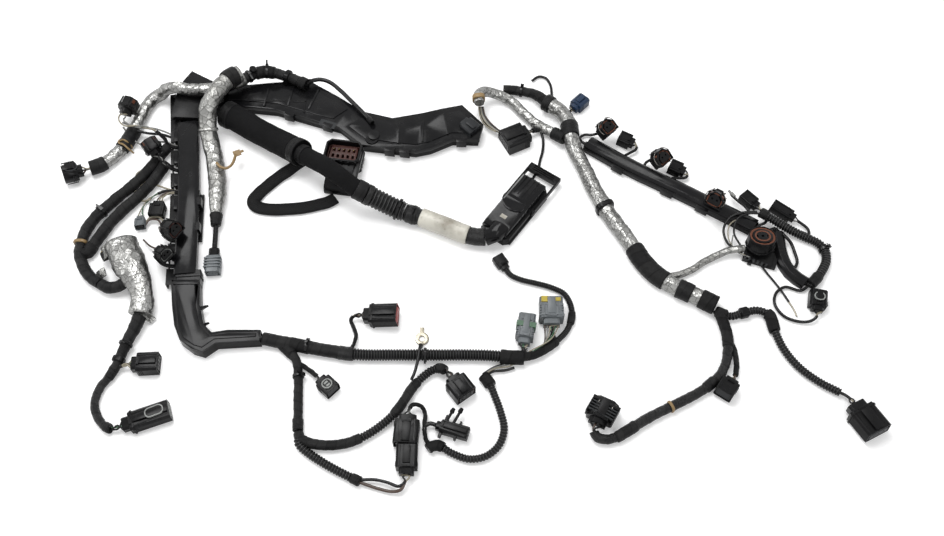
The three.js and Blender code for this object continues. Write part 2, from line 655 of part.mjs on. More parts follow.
// A snout at the rear takes the trunk's taped tail from the side.
const snoutLine = [[-10.1, 4.2, 18.1], [-5, -3, 20.5], [4, -6, 25], [14, -5, 27]];
const snout = cut(
  tube(snoutLine, tailD + 1, 12, 0.7),
  plate(planOf(-gap, unitLength, unitWidth + 2 * gap, 7), -2, coverBase),
);
const unitCover = join(
  snout,
  solid(sideCut).intersect(alongX(endSection, unitCoverStart - 1, coverEnd + 1)),
  solid(seamRib.translate(0, 0, crown - 10)).intersect(
    box(30, 66, -unitCoverWidth / 2 + 3, unitCoverWidth / 2 - 3, coverBase, crown - 1.6),
  ),
);
add("unit_plug_wire_cover", unitCover, coverPlastic, unit);

// The lever turns about pins on both long sides; its bar lies past the front end.
const armInner = unitHalf + gap;
const armOuter = armInner + leverArm;
const leverEnd = leverPivotX + leverReach;
const leverPlan = plate(
  [
    [leverPivotX, -armOuter], [leverEnd, -armOuter], [leverEnd, armOuter], [leverPivotX, armOuter],
    [leverPivotX, armInner], [leverEnd - leverBar, armInner], [leverEnd - leverBar, -armInner],
    [leverPivotX, -armInner],
  ],
  leverPivotZ - leverDepth / 2,
  leverPivotZ + leverDepth / 2,
);
// A round boss at each pin stays clear of the housing's rail as the lever turns.
const leverBosses = [-1, 1].map((side) => {
  const boss = new THREE.CylinderGeometry(leverBoss / 2, leverBoss / 2, leverArm, 24);
  return solid(boss.translate(leverPivotX, side * (armInner + leverArm / 2), leverPivotZ));
});
const leverBore = new THREE.CylinderGeometry(leverPin / 2 + gap, leverPin / 2 + gap, unitWidth + 20, 12);
const leverCuts = [solid(leverBore.translate(leverPivotX, 0, leverPivotZ))];
for (let slot = 0; slot < 3; slot++) {
  const x = leverEnd - leverBar + 2 + slot * 3.6;
  leverCuts.push(box(x, x + 2, -armInner + 6, armInner - 6, leverPivotZ + 1.5, leverPivotZ + leverDepth));
}
add("unit_plug_lever", cut(join(leverPlan, ...leverBosses), ...leverCuts), blackPlastic, unit);

// Open socket plug: the cavity faces up, with the terminal block in it; the wire cover slopes to the front.
const socket = new THREE.Group();
socket.position.set(-206, 77, 0);
socket.rotation.z = THREE.MathUtils.degToRad(-8);
group.add(socket);
const socketHalf = socketWidth / 2;
const backHalf = socketDepth / 2;
let socketBody = join(
  plate(chamfered(socketWidth, socketDepth, 7), 0, socketHeight),
  plate(chamfered(socketWidth + 4, socketDepth + 4, 8), 12, 16),
);
socketBody = cut(
  socketBody,
  plate(chamfered(socketWidth - 2 * socketWall, socketDepth - 2 * socketWall, 5), socketHeight - socketCavity, socketHeight + 1),
);
const hood = new THREE.Shape();
hood.moveTo(-backHalf + 1, 0);
hood.lineTo(-backHalf - socketCoverLength, 0);
hood.quadraticCurveTo(-backHalf - socketCoverLength - 3, 12, -backHalf - socketCoverLength + 6, 17);
hood.lineTo(-backHalf + 1, socketCoverHeight);
hood.closePath();
const hoodWidth = socketWidth - 16;
const hoodBody = new THREE.ExtrudeGeometry(hood, { depth: hoodWidth, bevelEnabled: false, curveSegments: 4 })
  .applyMatrix4(flatUp)
  .translate(-hoodWidth / 2, 0, 0);
const lever = box(socketHalf - 6, socketHalf + 1.5, -backHalf - 30, backHalf - 10, 19, 27);
socketBody = join(socketBody, solid(hoodBody), cut(lever, box(socketHalf - 3, socketHalf + 3, -backHalf - 24, -backHalf - 6, 18, 24)));
add("socket_plug_housing", socketBody, blackPlastic, socket);
const terminalWidth = socketWidth - 2 * socketWall - 2 * terminalClearance - 8;
const terminalDepth = socketDepth - 2 * socketWall - 2 * terminalClearance - 6;
const terminalFloor = socketHeight - socketCavity + gap;
let terminals = plate(chamfered(terminalWidth, terminalDepth, 3), terminalFloor, terminalFloor + terminalHeight);
for (let column = 0; column < 5; column++) {
  for (const y of [-6, 6]) {
    const x = (column - 2) * 8;
    terminals = cut(terminals, box(x - 2, x + 2, y - 3, y + 3, terminalFloor + 3, terminalFloor + terminalHeight + 1));
  }
}
add("socket_plug_terminals", terminals, terminalRed, socket);

// Trunk: cloth sleeve, neck, corrugated conduit, taped tail with its label sleeve, into the control-unit plug.
const trunkLine = [[-402, 158, 25], [-372, 140, 25], [-339, 117, 26], [-302, 91, 32], [-268, 64, 44]];
const neckLine = [[-270, 65, 43], [-246, 45, 51], [-228, 31, 56], [-202, 9, 58], [-182, -6, 53], [-166, -10.5, 44]];
add("trunk_sleeve", join(tube(trunkLine, sleeveD, 12, 1.2), tube(neckLine, neckD, 10, 1.2)), clothTape);
const conduitLine = [[-165, -10.9, 43.3], [-148, -15.2, 33.5], [-130, -20, 24.5], [-117, -24, 19.5], [-107, -27.5, 17.6]];
add("trunk_conduit", tube(conduitLine, conduitD, 12, 0.8), conduitPlastic);
const labelStart = [-83, -36, 16.5];
const labelEnd = [-17, -66, 16.5];
const tailLine = [[-104.7, -28.2, 17.25], [-95, -32, 16.9], labelStart, [-50, -51, 16.5], labelEnd, [2, -72, 16.5], [17, -73, 17.5]];
add("trunk_tail", tube(tailLine, tailD, 12, 0.8), clothTape);
const labelBore = tube([labelStart, [-50, -51, 16.5], labelEnd], tailD + 2.6 * gap, 12, 1);
const labelSleeve = tube(
  [[-80, -37.4, 16.5], [-50, -51, 16.5], [-20, -64.6, 16.5]],
  tailD + 2.6 * gap + 2 * labelWall,
  12,
  1,
);
add("trunk_label_sleeve", cut(labelSleeve, labelBore), labelFilm);

// Branches.
const braidSection = [
  [-braidWidth / 2, 0], [-braidWidth / 2 + 2, -braidThickness / 2], [braidWidth / 2 - 2, -braidThickness / 2],
  [braidWidth / 2, 0], [braidWidth / 2 - 2, braidThickness / 2], [-braidWidth / 2 + 2, braidThickness / 2],
];
const braidLine = [
  [-216.5, 6.8, 4], [-228, -1, 4], [-244, -6, 4], [-264, -11, 4], [-293, -14, 4], [-320, -14, 4], [-338, -9, 4],
  [-344, 1, 4], [-338, 14, 4], [-325, 30, 4], [-308, 48, 4], [-292, 60, 6], [-279, 68, 11.4], [-270, 72, 16.2],
];
add("braided_loop", along(braidLine, braidSection, 20), braid);

const leftFoilLine = [
  [-416, 196, 40], [-437, 195, 40], [-462, 195, 40], [-487, 199, 41], [-503, 204, 31], [-516, 207, 15], [-530, 200, 10.6], [-539, 181, 10],
  [-546, 154, 10], [-553, 128, 10], [-560, 108, 10], [-571, 88, 10], [-585, 72, 10], [-602, 60, 12], [-617, 53, 14.5],
];
add("left_foil_branch", tube(leftFoilLine, leftFoilD, 8, 1.4), foil);
add(
  "left_round_plug",
  plugOn(leftFoilLine, sealedPlug({ length: 30, width: 29, height: 29, sides: 12, moat: 3, boot: 8, columns: 2, rows: 1, pin: 3 })),
  blackPlastic,
);

const dropLine = [
  [-380, 210, 60], [-392, 199, 63], [-403, 183, 64], [-413, 164, 64], [-421, 148, 58], [-424, 135, 45], [-424, 119, 30],
  [-419, 98, 19], [-411, 73, 15], [-405, 46, 14], [-400, 20, 14], [-398, -6, 14], [-396, -30, 13], [-395, -49, 11],
];
const dropLead = [[-395, -46, 11], [-394, -60, 10], [-393, -74, 10], [-392, -90, 10]];
const dropTaper = (t) => (t < 0.8 ? dropFoilD : dropFoilD - (dropFoilD - 13) * ((t - 0.8) / 0.2));
add("drop_foil_sleeve", join(bundle(dropLine, dropTaper, 10, 18), tube(dropLead, dropLeadD, 8, 2.5)), foil);
const combBody = sealedPlug({ length: 42, width: 22, height: 15, boot: 14, columns: 3, rows: 1, moat: 1.8, latch: false });
const combRibs = [18, 23, 28, 33].map((x) => box(x, x + 2, -12.5, 12.5, 1, 9.5));
add("comb_plug", plugOn(dropLead, join(combBody, ...combRibs)), greyPlastic);

const pairUpper = [
  [-491.1, 101.6, 10], [-502.5, 82, 9], [-516, 55, 9], [-535, 28, 9], [-556, 4, 9], [-574, -19, 9], [-588, -42, 9],
  [-595, -69, 9], [-594, -97, 9.5], [-583, -121, 10], [-568, -140, 10.5], [-553, -150, 11],
];
const pairLower = [
  [-490.2, 70, 9], [-498.6, 48, 9], [-510, 26, 9], [-525, 4, 9], [-543, -20, 9], [-559, -44, 9], [-572, -71, 9], [-584, -96, 9],
];
add("left_taped_pair", join(tube(pairUpper, tapedPairD, 8, 1.5), tube(pairLower, tapedPairD, 8, 1.5)), clothTape);

const foilBundleLine = [[-530, -88, 22], [-518, -110, 24], [-503, -136, 24], [-490, -159, 21], [-483, -181, 17], [-484, -203, 14]];
const foilBundleD = (t) => 43 - 17 * t - 3 * Math.cos(9 * t);
add("foil_bundle", join(bundle(foilBundleLine, foilBundleD, 10, 8), tube([[-552, -150.7, 11], [-540, -157, 11.5], [-524, -156, 14], [-506, -146, 20]], tapedPairD, 8, 2)), foil);

const leftTailLine = [[-484.2, -205.5, 13], [-489, -223, 12], [-496, -240, 10], [-501, -258, 9], [-505, -276, 9], [-509, -290, 9]];
const leftLoopLine = [
  [-508, -284, 8], [-514, -298, 7], [-523, -312, 6.5], [-527, -327, 6.5], [-526, -343, 6.5], [-518, -360, 6.5],
  [-507, -371, 6.5], [-496, -376, 8.5], [-482, -371, 9],
];
const sixWayLead = [[-508, -286, 9], [-500, -283, 10], [-492, -281, 11], [-484, -280.5, 11]];
const leftTailTaper = (t) => 20 - 7 * t;
add("left_tail", join(bundle(leftTailLine, leftTailTaper, 8, 4), tube(leftLoopLine, 12, 8, 1.6), tube(sixWayLead, sideLeadD, 6, 2.4)), clothTape);
add("six_way_plug", plugOn(sixWayLead, sealedPlug({ length: 38, width: 29, height: 20, boot: 8, columns: 3, rows: 2, moat: 2 })), blackPlastic);
const flatBody = sealedPlug({ length: 66, width: 28, height: 16, boot: 10, columns: 3, rows: 1, pin: 4.4, moat: 1.8, reach: 7, collar: 1.2 });
add("flat_three_way_plug", plugOn(leftLoopLine, flatBody), blackPlastic);

const backRunLine = [[-412, 199, 37.6], [-395, 207, 38.3], [-378, 219, 38], [-364, 229, 37], [-348, 236, 36], [-330, 236, 33.4], [-309, 229, 32.7], [-290, 220, 32.6], [-274, 211, 32.6]];
const overLeadLine = [
  [-278, 213, 33], [-265, 222, 31], [-254, 225, 30], [-239, 221, 29], [-220, 204, 28.5], [-200, 181, 28.5],
  [-183, 161, 28.5], [-170, 145, 28.5], [-163, 136, 28.5],
];
add("back_run", join(tube(backRunLine, backRunD, 8, 1.3), tube(overLeadLine, overLeadD, 6, 3.4)), clothTape);

const lowerTrunkLine = [
  [-303.2, -239.8, 10.5], [-282, -244, 10], [-256, -249, 9], [-232, -254, 9], [-205, -259, 9], [-180, -263, 9], [-154, -265, 9],
  [-120, -265, 9], [-84, -265, 9], [-49, -265, 9], [-13, -265, 9], [23, -266, 9], [51, -269, 9.5], [71, -270, 10],
];
const greyBundleLine = [
  [66, -270, 10], [87, -264, 9], [104, -254, 8], [120, -241, 7], [134, -225, 6], [142, -204, 5], [142, -184, 5], [133, -164, 5],
  [114, -153, 5], [92, -146, 5], [70, -140, 5], [54, -132, 6], [47, -122, 7.5],
];
const pinkLead = [[-178, -262, 9], [-172, -246, 8], [-170, -233, 7.5], [-175, -219, 7.5], [-179, -209, 8], [-174, -203, 10], [-160, -203.5, 12]];
const twoPinLead = [[-286, -243, 10], [-268, -262, 7], [-250, -276, 6], [-230, -290, 7], [-215, -304, 9]];
const middleDrop = [[-276, -246, 9], [-260, -261, 8], [-251, -279, 7], [-247, -303, 7], [-245, -330, 7], [-243, -357, 7], [-241.5, -378.3, 7]];
const greyLeadA = [[76, -267, 10], [72, -262, 11], [70, -257, 12], [71, -250, 12]];
const greyLeadB = [[116, -243, 8], [114, -236, 11], [112, -228, 14], [112, -221, 14]];
add(
  "lower_trunk",
  join(
    tube(lowerTrunkLine, lowerTrunkD, 8, 2), tube(greyBundleLine, greyBundleD, 6, 2.6), tube(pinkLead, sideLeadD, 6, 3),
    tube(twoPinLead, leadD, 6, 3), tube(middleDrop, dropConduitD, 8, 2), tube(greyLeadA, sideLeadD, 8, 1.5),
    tube(greyLeadB, sideLeadD, 8, 1.5), fusedPlug(greyBundleLine, { ...smallPlug, length: 24, width: 18, height: 13 }),
    fusedPlug(twoPinLead, { ...smallPlug, length: 28, width: 24, height: 16, boot: 7, moat: 2, pin: 3 }),
  ),
  conduitPlastic,
);
add("pink_seal_plug", plugOn(pinkLead, sealedPlug({ length: 50, width: 30, height: 20, boot: 9, columns: 3, rows: 2, moat: 2.4, collar: 1 })), blackPlastic);

const upperArc = [
  [-240.6, -380.5, 7], [-237, -389, 7], [-223, -396, 7], [-201, -399, 7], [-174, -396, 7], [-148, -385, 7], [-125, -368, 7],
  [-107, -349, 7], [-96, -331, 7], [-86, -314, 7], [-73, -299, 7], [-60, -289, 8], [-47, -287, 11], [-37, -294, 13], [-31, -302, 13],
];
const lowerArc = [[-240, -384, 7], [-238, -397, 7], [-224, -410, 7], [-201, -425, 7], [-177, -438, 7], [-152, -450, 7]];
const tallLeadA = [[-156, -448, 8], [-134, -447, 7], [-116, -451, 8], [-100, -457, 10], [-92, -452, 12], [-90.5, -446, 12.5], [-90.5, -442.5, 12.5]];
const tallLeadB = [[-156, -449, 6], [-130, -458, 5], [-108, -463, 6], [-97, -461, 9], [-91.5, -450, 12]];
add(
  "arc_conduits",
  join(
    tube(upperArc, arcConduitD, 8, 2), tube(lowerArc, arcConduitD, 8, 2),
    tube(tallLeadA, thinLeadD, 6, 3), tube(tallLeadB, thinLeadD, 6, 3),
  ),
  conduitPlastic,
);
add("square_plug", plugOn(upperArc, sealedPlug({ length: 34, width: 32, height: 23, boot: 6, columns: 3, rows: 2, moat: 2.6 })), blackPlastic);
add("tall_plug_lower", plugOn(tallLeadA, sealedPlug({ length: 40, width: 29, height: 20, boot: 8, columns: 2, rows: 1, reach: 4 })), blackPlastic);

const loopLine = [
  [-63, -405, 8], [-58, -401, 8], [-49, -399, 7], [-30, -410, 6], [-7, -418, 6], [16, -414, 6], [34, -398, 6], [41, -375, 6],
  [37, -352, 6], [29, -327, 6], [21, -307, 6.5], [13, -296, 7],
];
const loopTail = [[14, -298, 7], [27, -289, 5], [44, -287, 4.5], [57, -283, 4.5]];
const tallUpperLead = [[-60, -400, 8], [-66, -390, 8], [-68, -372, 9], [-68, -352, 10], [-75, -343, 12], [-86, -343, 12.5], [-90, -351, 12.5], [-90.5, -358.3, 12.5]];
const clipLead = [[-68, -380, 9], [-67, -372, 9], [-60, -368.5, 9], [-52, -371, 9.5]];
add(
  "loop_conduit",
  join(
    tube(loopLine, loopConduitD, 8, 2), tube(loopTail, leadD, 6, 3), tube(tallUpperLead, sideLeadD, 6, 3), tube(clipLead, sideLeadD, 6, 2.4),
  ),
  conduitPlastic,
);
add("tall_plug_upper", plugOn(tallUpperLead, sealedPlug({ length: 42, width: 34, height: 22, boot: 8, columns: 3, rows: 1, reach: 4 })), blackPlastic);
add("clip_plug", plugOn(clipLead, sealedPlug({ length: 46, width: 18, height: 14, boot: 6, columns: 2, moat: 1.6, wall: 1.4 })), blackPlastic);

// The ground lead rises from the upper arc over the lower trunk; its ring is crimped on.
const groundLead = [
  [-88, -307, 16], [-84, -298, 18], [-80, -282, 19], [-78, -268, 19.5], [-77, -259, 19.3], [-76, -253.8, 16], [-76, -252.8, 10], [-76, -251, 4.6],
];
const ringX = -75;
const ringY = -236;
const ringPlate = cut(
  join(
    plate(circle(20, 16).map(([x, y]) => [x + ringX, y + ringY]), 0.4, 2.4),
    box(ringX - 3.5, ringX + 2.5, ringY + 6, ringY + 18, 0.4, 2.4),
    box(ringX - 4, ringX + 2, ringY - 12.4, ringY - 7, 0.4, 5.5),
  ),
  plate(circle(8.4, 12).map(([x, y]) => [x + ringX, y + ringY]), -1, 4),
);
add("ring_terminal", ringPlate, tinned);
add("ground_lead", tube(groundLead, thinLeadD, 6, 1.1), clothTape);

add("grey_plug_a", plugOn(greyLeadA, sealedPlug({ length: 46, width: 25, height: 20, boot: 8, columns: 3, rows: 1, moat: 2 })), greyPlastic);
add("grey_plug_b", plugOn(greyLeadB, sealedPlug({ length: 42, width: 34, height: 24, boot: 8, columns: 3, rows: 2, moat: 2.6, collar: 1.2 })), greyPlastic);

// Right side: foil main branch with its short foil, thin foil and taped leads.
const rightFoilLine = [
  [117, 188, 18], [130, 178, 18], [144, 164, 19], [153, 144, 20], [155, 117, 20], [161, 91, 16], [173, 60, 13.5], [188, 18, 13],
  [205, -23, 13], [224, -59, 13], [240, -88, 13], [253, -114, 13], [269, -135, 13], [288, -151, 13], [311, -164, 13],
  [334, -177, 13], [353, -188, 13],
];
const shortFoilLine = [
  [9, 172, 34], [8, 189, 34], [15, 201, 28], [30, 205, 20], [47, 203, 13], [62, 195, 9.5], [74, 181, 9], [87, 164, 9],
  [101, 149, 9.5], [117, 136, 11], [133, 124, 14], [146, 113, 18],
];
const thinFoilLine = [[266, -133, 12], [283, -136, 7], [303, -133, 6], [327, -123, 6], [344, -111, 6], [363, -101, 7], [380, -94, 10], [394, -92, 13], [407.6, -91, 14.5]];
const topTapeLine = [[49, 221, 9], [65, 220, 9], [87, 215, 10], [105, 205, 13], [119, 188, 17]];
const hookLine = [[122, 190, 12], [129, 206, 5], [130, 222, 3.5], [128, 238, 3.5], [121, 251, 3.5], [110, 254, 3.5], [98, 245, 3.5]];
const unitLead = [[107, 141, 9], [112, 122, 5], [111, 100, 3.2], [106, 80, 2.9], [102, 62, 2.9], [94.5, 47, 2.9], [87.6, 35.6, 2.9]];
const blackPlugLead = [[112, 138, 10], [102, 136, 10], [94, 132, 12], [88, 129, 12]];
const blueLead = [[146, 158, 18], [154, 170, 10], [163, 180, 9.5]];
add(
  "right_foil_branch",
  join(
    tube(rightFoilLine, rightFoilD, 8, 1.3), tube(shortFoilLine, shortFoilD, 8, 1.5), tube(thinFoilLine, thinFoilD, 8, 2),
    tube(topTapeLine, topTapeD, 8, 1.6), tube(hookLine, thinLeadD, 6, 3), tube(unitLead, thinLeadD, 6, 3),
    tube(blackPlugLead, greyBundleD, 8, 1.5), tube(blueLead, thinLeadD, 6, 2.5),
  ),
  foil,
);
add("blue_plug", plugOn(blueLead, sealedPlug({ length: 30, width: 22, height: 16, boot: 6, columns: 2, rows: 1, moat: 1.8 })), bluePlastic);
add(
  "black_multiway_plug",
  plugOn(blackPlugLead, sealedPlug({ length: 44, width: 40, height: 22, boot: 6, columns: 4, rows: 2, moat: 2.4 })),
  blackPlastic,
);

const rightDropLine = [
  [355.2, -194.6, 12], [360, -210, 10], [364, -232, 9], [362, -260, 8.5], [350, -291, 8], [328, -312, 7.5], [301, -329, 7.5],
  [269, -345, 7.5], [238, -361, 7.5], [212, -377, 7.5], [193, -388, 7.5], [177, -391, 8.5], [166, -387, 10.5], [163, -379, 12], [167, -371, 12],
];
const subBranchLine = [[364, -235, 9], [372, -252, 5], [373, -274, 4.5], [369, -294, 6.5], [361, -306, 9.5]];
const rightTailLine = [
  [352, -197, 12], [374, -203, 8.5], [393, -197, 7.5], [415, -193, 7.5], [430, -201, 7.5], [434, -225, 7.5], [443, -255, 7],
  [460, -283, 7], [485, -306, 7], [511, -322, 7],
];
const tailWire = [[509, -321, 7], [517, -326, 8], [522, -333, 11], [526, -341, 12]];
add(
  "right_tail_branches",
  join(
    tube(rightDropLine, rightDropD, 8, 1.8), tube(subBranchLine, subBranchD, 6, 2.8), tube(rightTailLine, tailConduitD, 8, 2),
    tube(tailWire, sideLeadD, 6, 2.4), fusedPlug(subBranchLine, { ...smallPlug, length: 30, width: 26, height: 18, columns: 3 }),
  ),
  clothTape,
);
add("compact_plug", plugOn(rightDropLine, sealedPlug({ ...ringPlug, length: 38, width: 36, height: 21, columns: 4, latch: true })), blackPlastic);
add("tail_plug", plugOn(tailWire, sealedPlug({ length: 50, width: 38, height: 22, boot: 10, columns: 3, rows: 1, collar: 1.2 })), blackPlastic);

const endCableLine = [
  [436.8, -57, 6.4], [446, -60.5, 6.6], [455, -55.5, 8], [461.5, -53.5, 8], [464.5, -60, 7], [464, -70, 7], [463, -82, 7], [464, -103, 7], [470, -124, 7], [481, -138, 7], [492, -147, 7], [501, -152.5, 7.5],
];
const rightLoopLine = [
  [437, -32, 24], [457, -44, 20], [483, -57, 12], [505, -68, 8], [522, -78, 8], [530, -91, 8], [529, -109, 8], [520, -126, 8],
  [508, -141, 8], [498, -150, 8],
];
const rightThinLine = [[498, -149, 6], [484, -158, 4], [462, -152, 4], [447, -162, 4], [442, -180, 4], [452, -200, 4], [471, -209, 4], [488, -210, 6], [498, -204, 9], [500, -195, 9.5]];
const boxLead = [[510, -70, 8], [512, -52, 6], [500, -40, 8], [492, -34, 9]];
add(
  "right_loop",
  join(
    tube(rightLoopLine, rightLoopD, 8, 1.8), tube(rightThinLine, thinLeadD, 6, 3), tube(boxLead, thinLeadD, 6, 3),
    fusedPlug(boxLead, { ...smallPlug, length: 40, width: 18, height: 15, columns: 3 }),
    tube(endCableLine, endCableD, 8, 2.6),
  ),
  conduitPlastic,
);
add("end_plug", plugOn(rightThinLine, sealedPlug({ length: 32, width: 25, height: 18, boot: 6, columns: 2, rows: 1, moat: 2, pin: 3 })), blackPlastic);
const bigPlug = sealedPlug({
  length: 30, width: 42, height: 40, sides: 12, moat: 4, reach: 9, boot: 6, columns: 3, rows: 1, pin: 4, latch: false, collar: 1.5,
});
const bigBase = turnedBox(429, -101, -20, 44, 24, gap, 9);
add("seal_ring_plug", join(plugOn([[431, -88.4, 4], [431, -88, 6]], bigPlug), bigBase), blackPlastic);

// The origin is on the bench under the middle of the troughs and the two large plugs.
group.position.set(2.3, 10, 0);

export default group;
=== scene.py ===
"""Dressed model of an engine wiring harness that lies spread out on a pale surface.

The rigid troughs, the control-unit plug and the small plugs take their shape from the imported
frame. The wrapped cables, conduits and foil sleeves are swept along the same routes as their
plain solids, and the seals, wires, bails, ties and tape bands are added to them.
"""

from __future__ import annotations

import logging
import math
from collections.abc import Callable, Sequence
from dataclasses import dataclass, field
from enum import Enum

import bmesh
import bpy
from mathutils import Matrix, Vector, noise


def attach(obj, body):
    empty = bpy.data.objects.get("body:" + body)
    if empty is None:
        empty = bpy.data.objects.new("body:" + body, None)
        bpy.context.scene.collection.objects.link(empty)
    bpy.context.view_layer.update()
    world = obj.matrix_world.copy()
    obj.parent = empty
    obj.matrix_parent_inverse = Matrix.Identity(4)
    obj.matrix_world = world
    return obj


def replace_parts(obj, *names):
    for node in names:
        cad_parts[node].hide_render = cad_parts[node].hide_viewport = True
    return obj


LOG = logging.getLogger("harness")

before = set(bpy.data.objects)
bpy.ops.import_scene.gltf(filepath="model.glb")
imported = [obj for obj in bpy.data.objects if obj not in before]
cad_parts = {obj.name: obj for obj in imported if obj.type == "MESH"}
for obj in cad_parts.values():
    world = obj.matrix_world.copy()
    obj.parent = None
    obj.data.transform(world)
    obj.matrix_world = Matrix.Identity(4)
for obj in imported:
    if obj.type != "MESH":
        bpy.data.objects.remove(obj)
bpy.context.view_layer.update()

MM = 0.001
# How fast the weave of cloth tape runs, in radians per metre.
THREADS = 5200.0
# The floor's clearance under every piece, in millimetres.
FLOOR_GAP = 0.1
# The most pieces that go with one cord.
MOST_WITH_CORD = 24
# How far the boot of a plug without its own solid reaches back over its lead, in millimetres.
BOOT_BITE = 1.5
# The routes below are in millimetres from the layout's own zero, which lies here in the frame.
LAYOUT_ZERO = Vector((2.3, 10.0, 0.0))

Point = tuple[float, float, float]
Route = tuple[Point, ...]
Colour = tuple[float, float, float]


class Body(str, Enum):
    """The rigid bodies that pieces ride on."""

    HARNESS = "harness"
    LEVER = "lever"


class Wrap(Enum):
    """What covers a cable."""

    TAPE = "wound cloth tape"
    CONDUIT = "corrugated conduit"
    FOIL = "crumpled foil"
    SLEEVE = "sewn cloth sleeve"
    WIRE = "smooth insulation"


# Materials


def new_group(name: str, inputs: dict[str, object], outputs: dict[str, str]) -> bpy.types.NodeTree:
    """Makes an empty shader node group with named sockets.

    Args:
        name: The group's name.
        inputs: Each input's name and its default, a number or a colour.
        outputs: Each output's name and its socket type.

    Returns:
        The group, with its input and output nodes in place.
    """
    tree = bpy.data.node_groups.new(name, "ShaderNodeTree")
    for key, value in inputs.items():
        kind = "NodeSocketFloat" if isinstance(value, (int, float)) else "NodeSocketColor"
        socket = tree.interface.new_socket(key, in_out="INPUT", socket_type=kind)
        socket.default_value = value if kind == "NodeSocketFloat" else (*value, 1.0)
    for key, kind in outputs.items():
        tree.interface.new_socket(key, in_out="OUTPUT", socket_type=kind)
    tree.nodes.new("NodeGroupInput")
    tree.nodes.new("NodeGroupOutput")
    return tree


@dataclass
class Wiring:
    """Adds and links the nodes of one tree."""

    tree: bpy.types.NodeTree

    def add(self, kind: str, **settings: object) -> bpy.types.Node:
        """Adds a node.

        Args:
            kind: The node's type.
            settings: Properties to set on it.

        Returns:
            The new node.
        """
        node = self.tree.nodes.new(kind)
        for key, value in settings.items():
            setattr(node, key, value)
        return node

    def join(self, source: bpy.types.NodeSocket, target: bpy.types.NodeSocket) -> None:
        """Links two sockets."""
        self.tree.links.new(source, target)

    def math(self, operation: str, a: object, b: object = 0.0) -> bpy.types.NodeSocket:
        """Adds a math node.

        Args:
            operation: What it works out.
            a: Its first value or socket.
            b: Its second value or socket.

        Returns:
            The result's socket.
        """
        node = self.add("ShaderNodeMath", operation=operation)
        for slot, value in zip(node.inputs, (a, b)):
            if isinstance(value, bpy.types.NodeSocket):
                self.join(value, slot)
            else:
                slot.default_value = value
        return node.outputs[0]

    def blend(self, factor: object, a: object, b: object) -> bpy.types.NodeSocket:
        """Adds a colour mix.

        Args:
            factor: How much of the second colour shows.
            a: The first colour or socket.
            b: The second colour or socket.

        Returns:
            The mixed colour's socket.
        """
        node = self.add("ShaderNodeMix", data_type="RGBA")
        for index, value in ((0, factor), (6, a), (7, b)):
            slot = node.inputs[index]
            if isinstance(value, bpy.types.NodeSocket):
                self.join(value, slot)
            elif index == 0:
                slot.default_value = value
            else:
                slot.default_value = (*value, 1.0)
        return node.outputs[2]

    def noise(self, scale: object, detail: float, where: bpy.types.NodeSocket) -> bpy.types.NodeSocket:
        """Adds a noise texture.

        Args:
            scale: Its scale, per metre, as a value or socket.
            detail: Its detail.
            where: The position that it reads.

        Returns:
            The noise value's socket, from 0 to 1.
        """
        node = self.add("ShaderNodeTexNoise")
        node.inputs["Detail"].default_value = detail
        if isinstance(scale, bpy.types.NodeSocket):
            self.join(scale, node.inputs["Scale"])
        else:
            node.inputs["Scale"].default_value = scale
        self.join(where, node.inputs["Vector"])
        return node.outputs[0]

    def window(self, value: bpy.types.NodeSocket, low: float, high: float) -> bpy.types.NodeSocket:
        """Stretches a range of values to run from 0 to 1, with its ends held.

        Args:
            value: The values' socket.
            low: What becomes 0.
            high: What becomes 1.

        Returns:
            The stretched value's socket.
        """
        node = self.add("ShaderNodeMapRange")
        self.join(value, node.inputs["Value"])
        node.inputs["From Min"].default_value = low
        node.inputs["From Max"].default_value = high
        return node.outputs[0]

    def turns(self) -> tuple[bpy.types.NodeSocket, bpy.types.NodeSocket]:
        """Gives the part of a turn round a cable and the metres along it."""
        split = self.add("ShaderNodeSeparateXYZ")
        self.join(self.add("ShaderNodeUVMap").outputs[0], split.inputs[0])
        return split.outputs[0], split.outputs[1]

    def ends(self) -> tuple[bpy.types.Node, bpy.types.Node]:
        """Gives a group's input node and output node."""
        nodes = self.tree.nodes
        return (
            next(n for n in nodes if n.bl_idname == "NodeGroupInput"),
            next(n for n in nodes if n.bl_idname == "NodeGroupOutput"),
        )


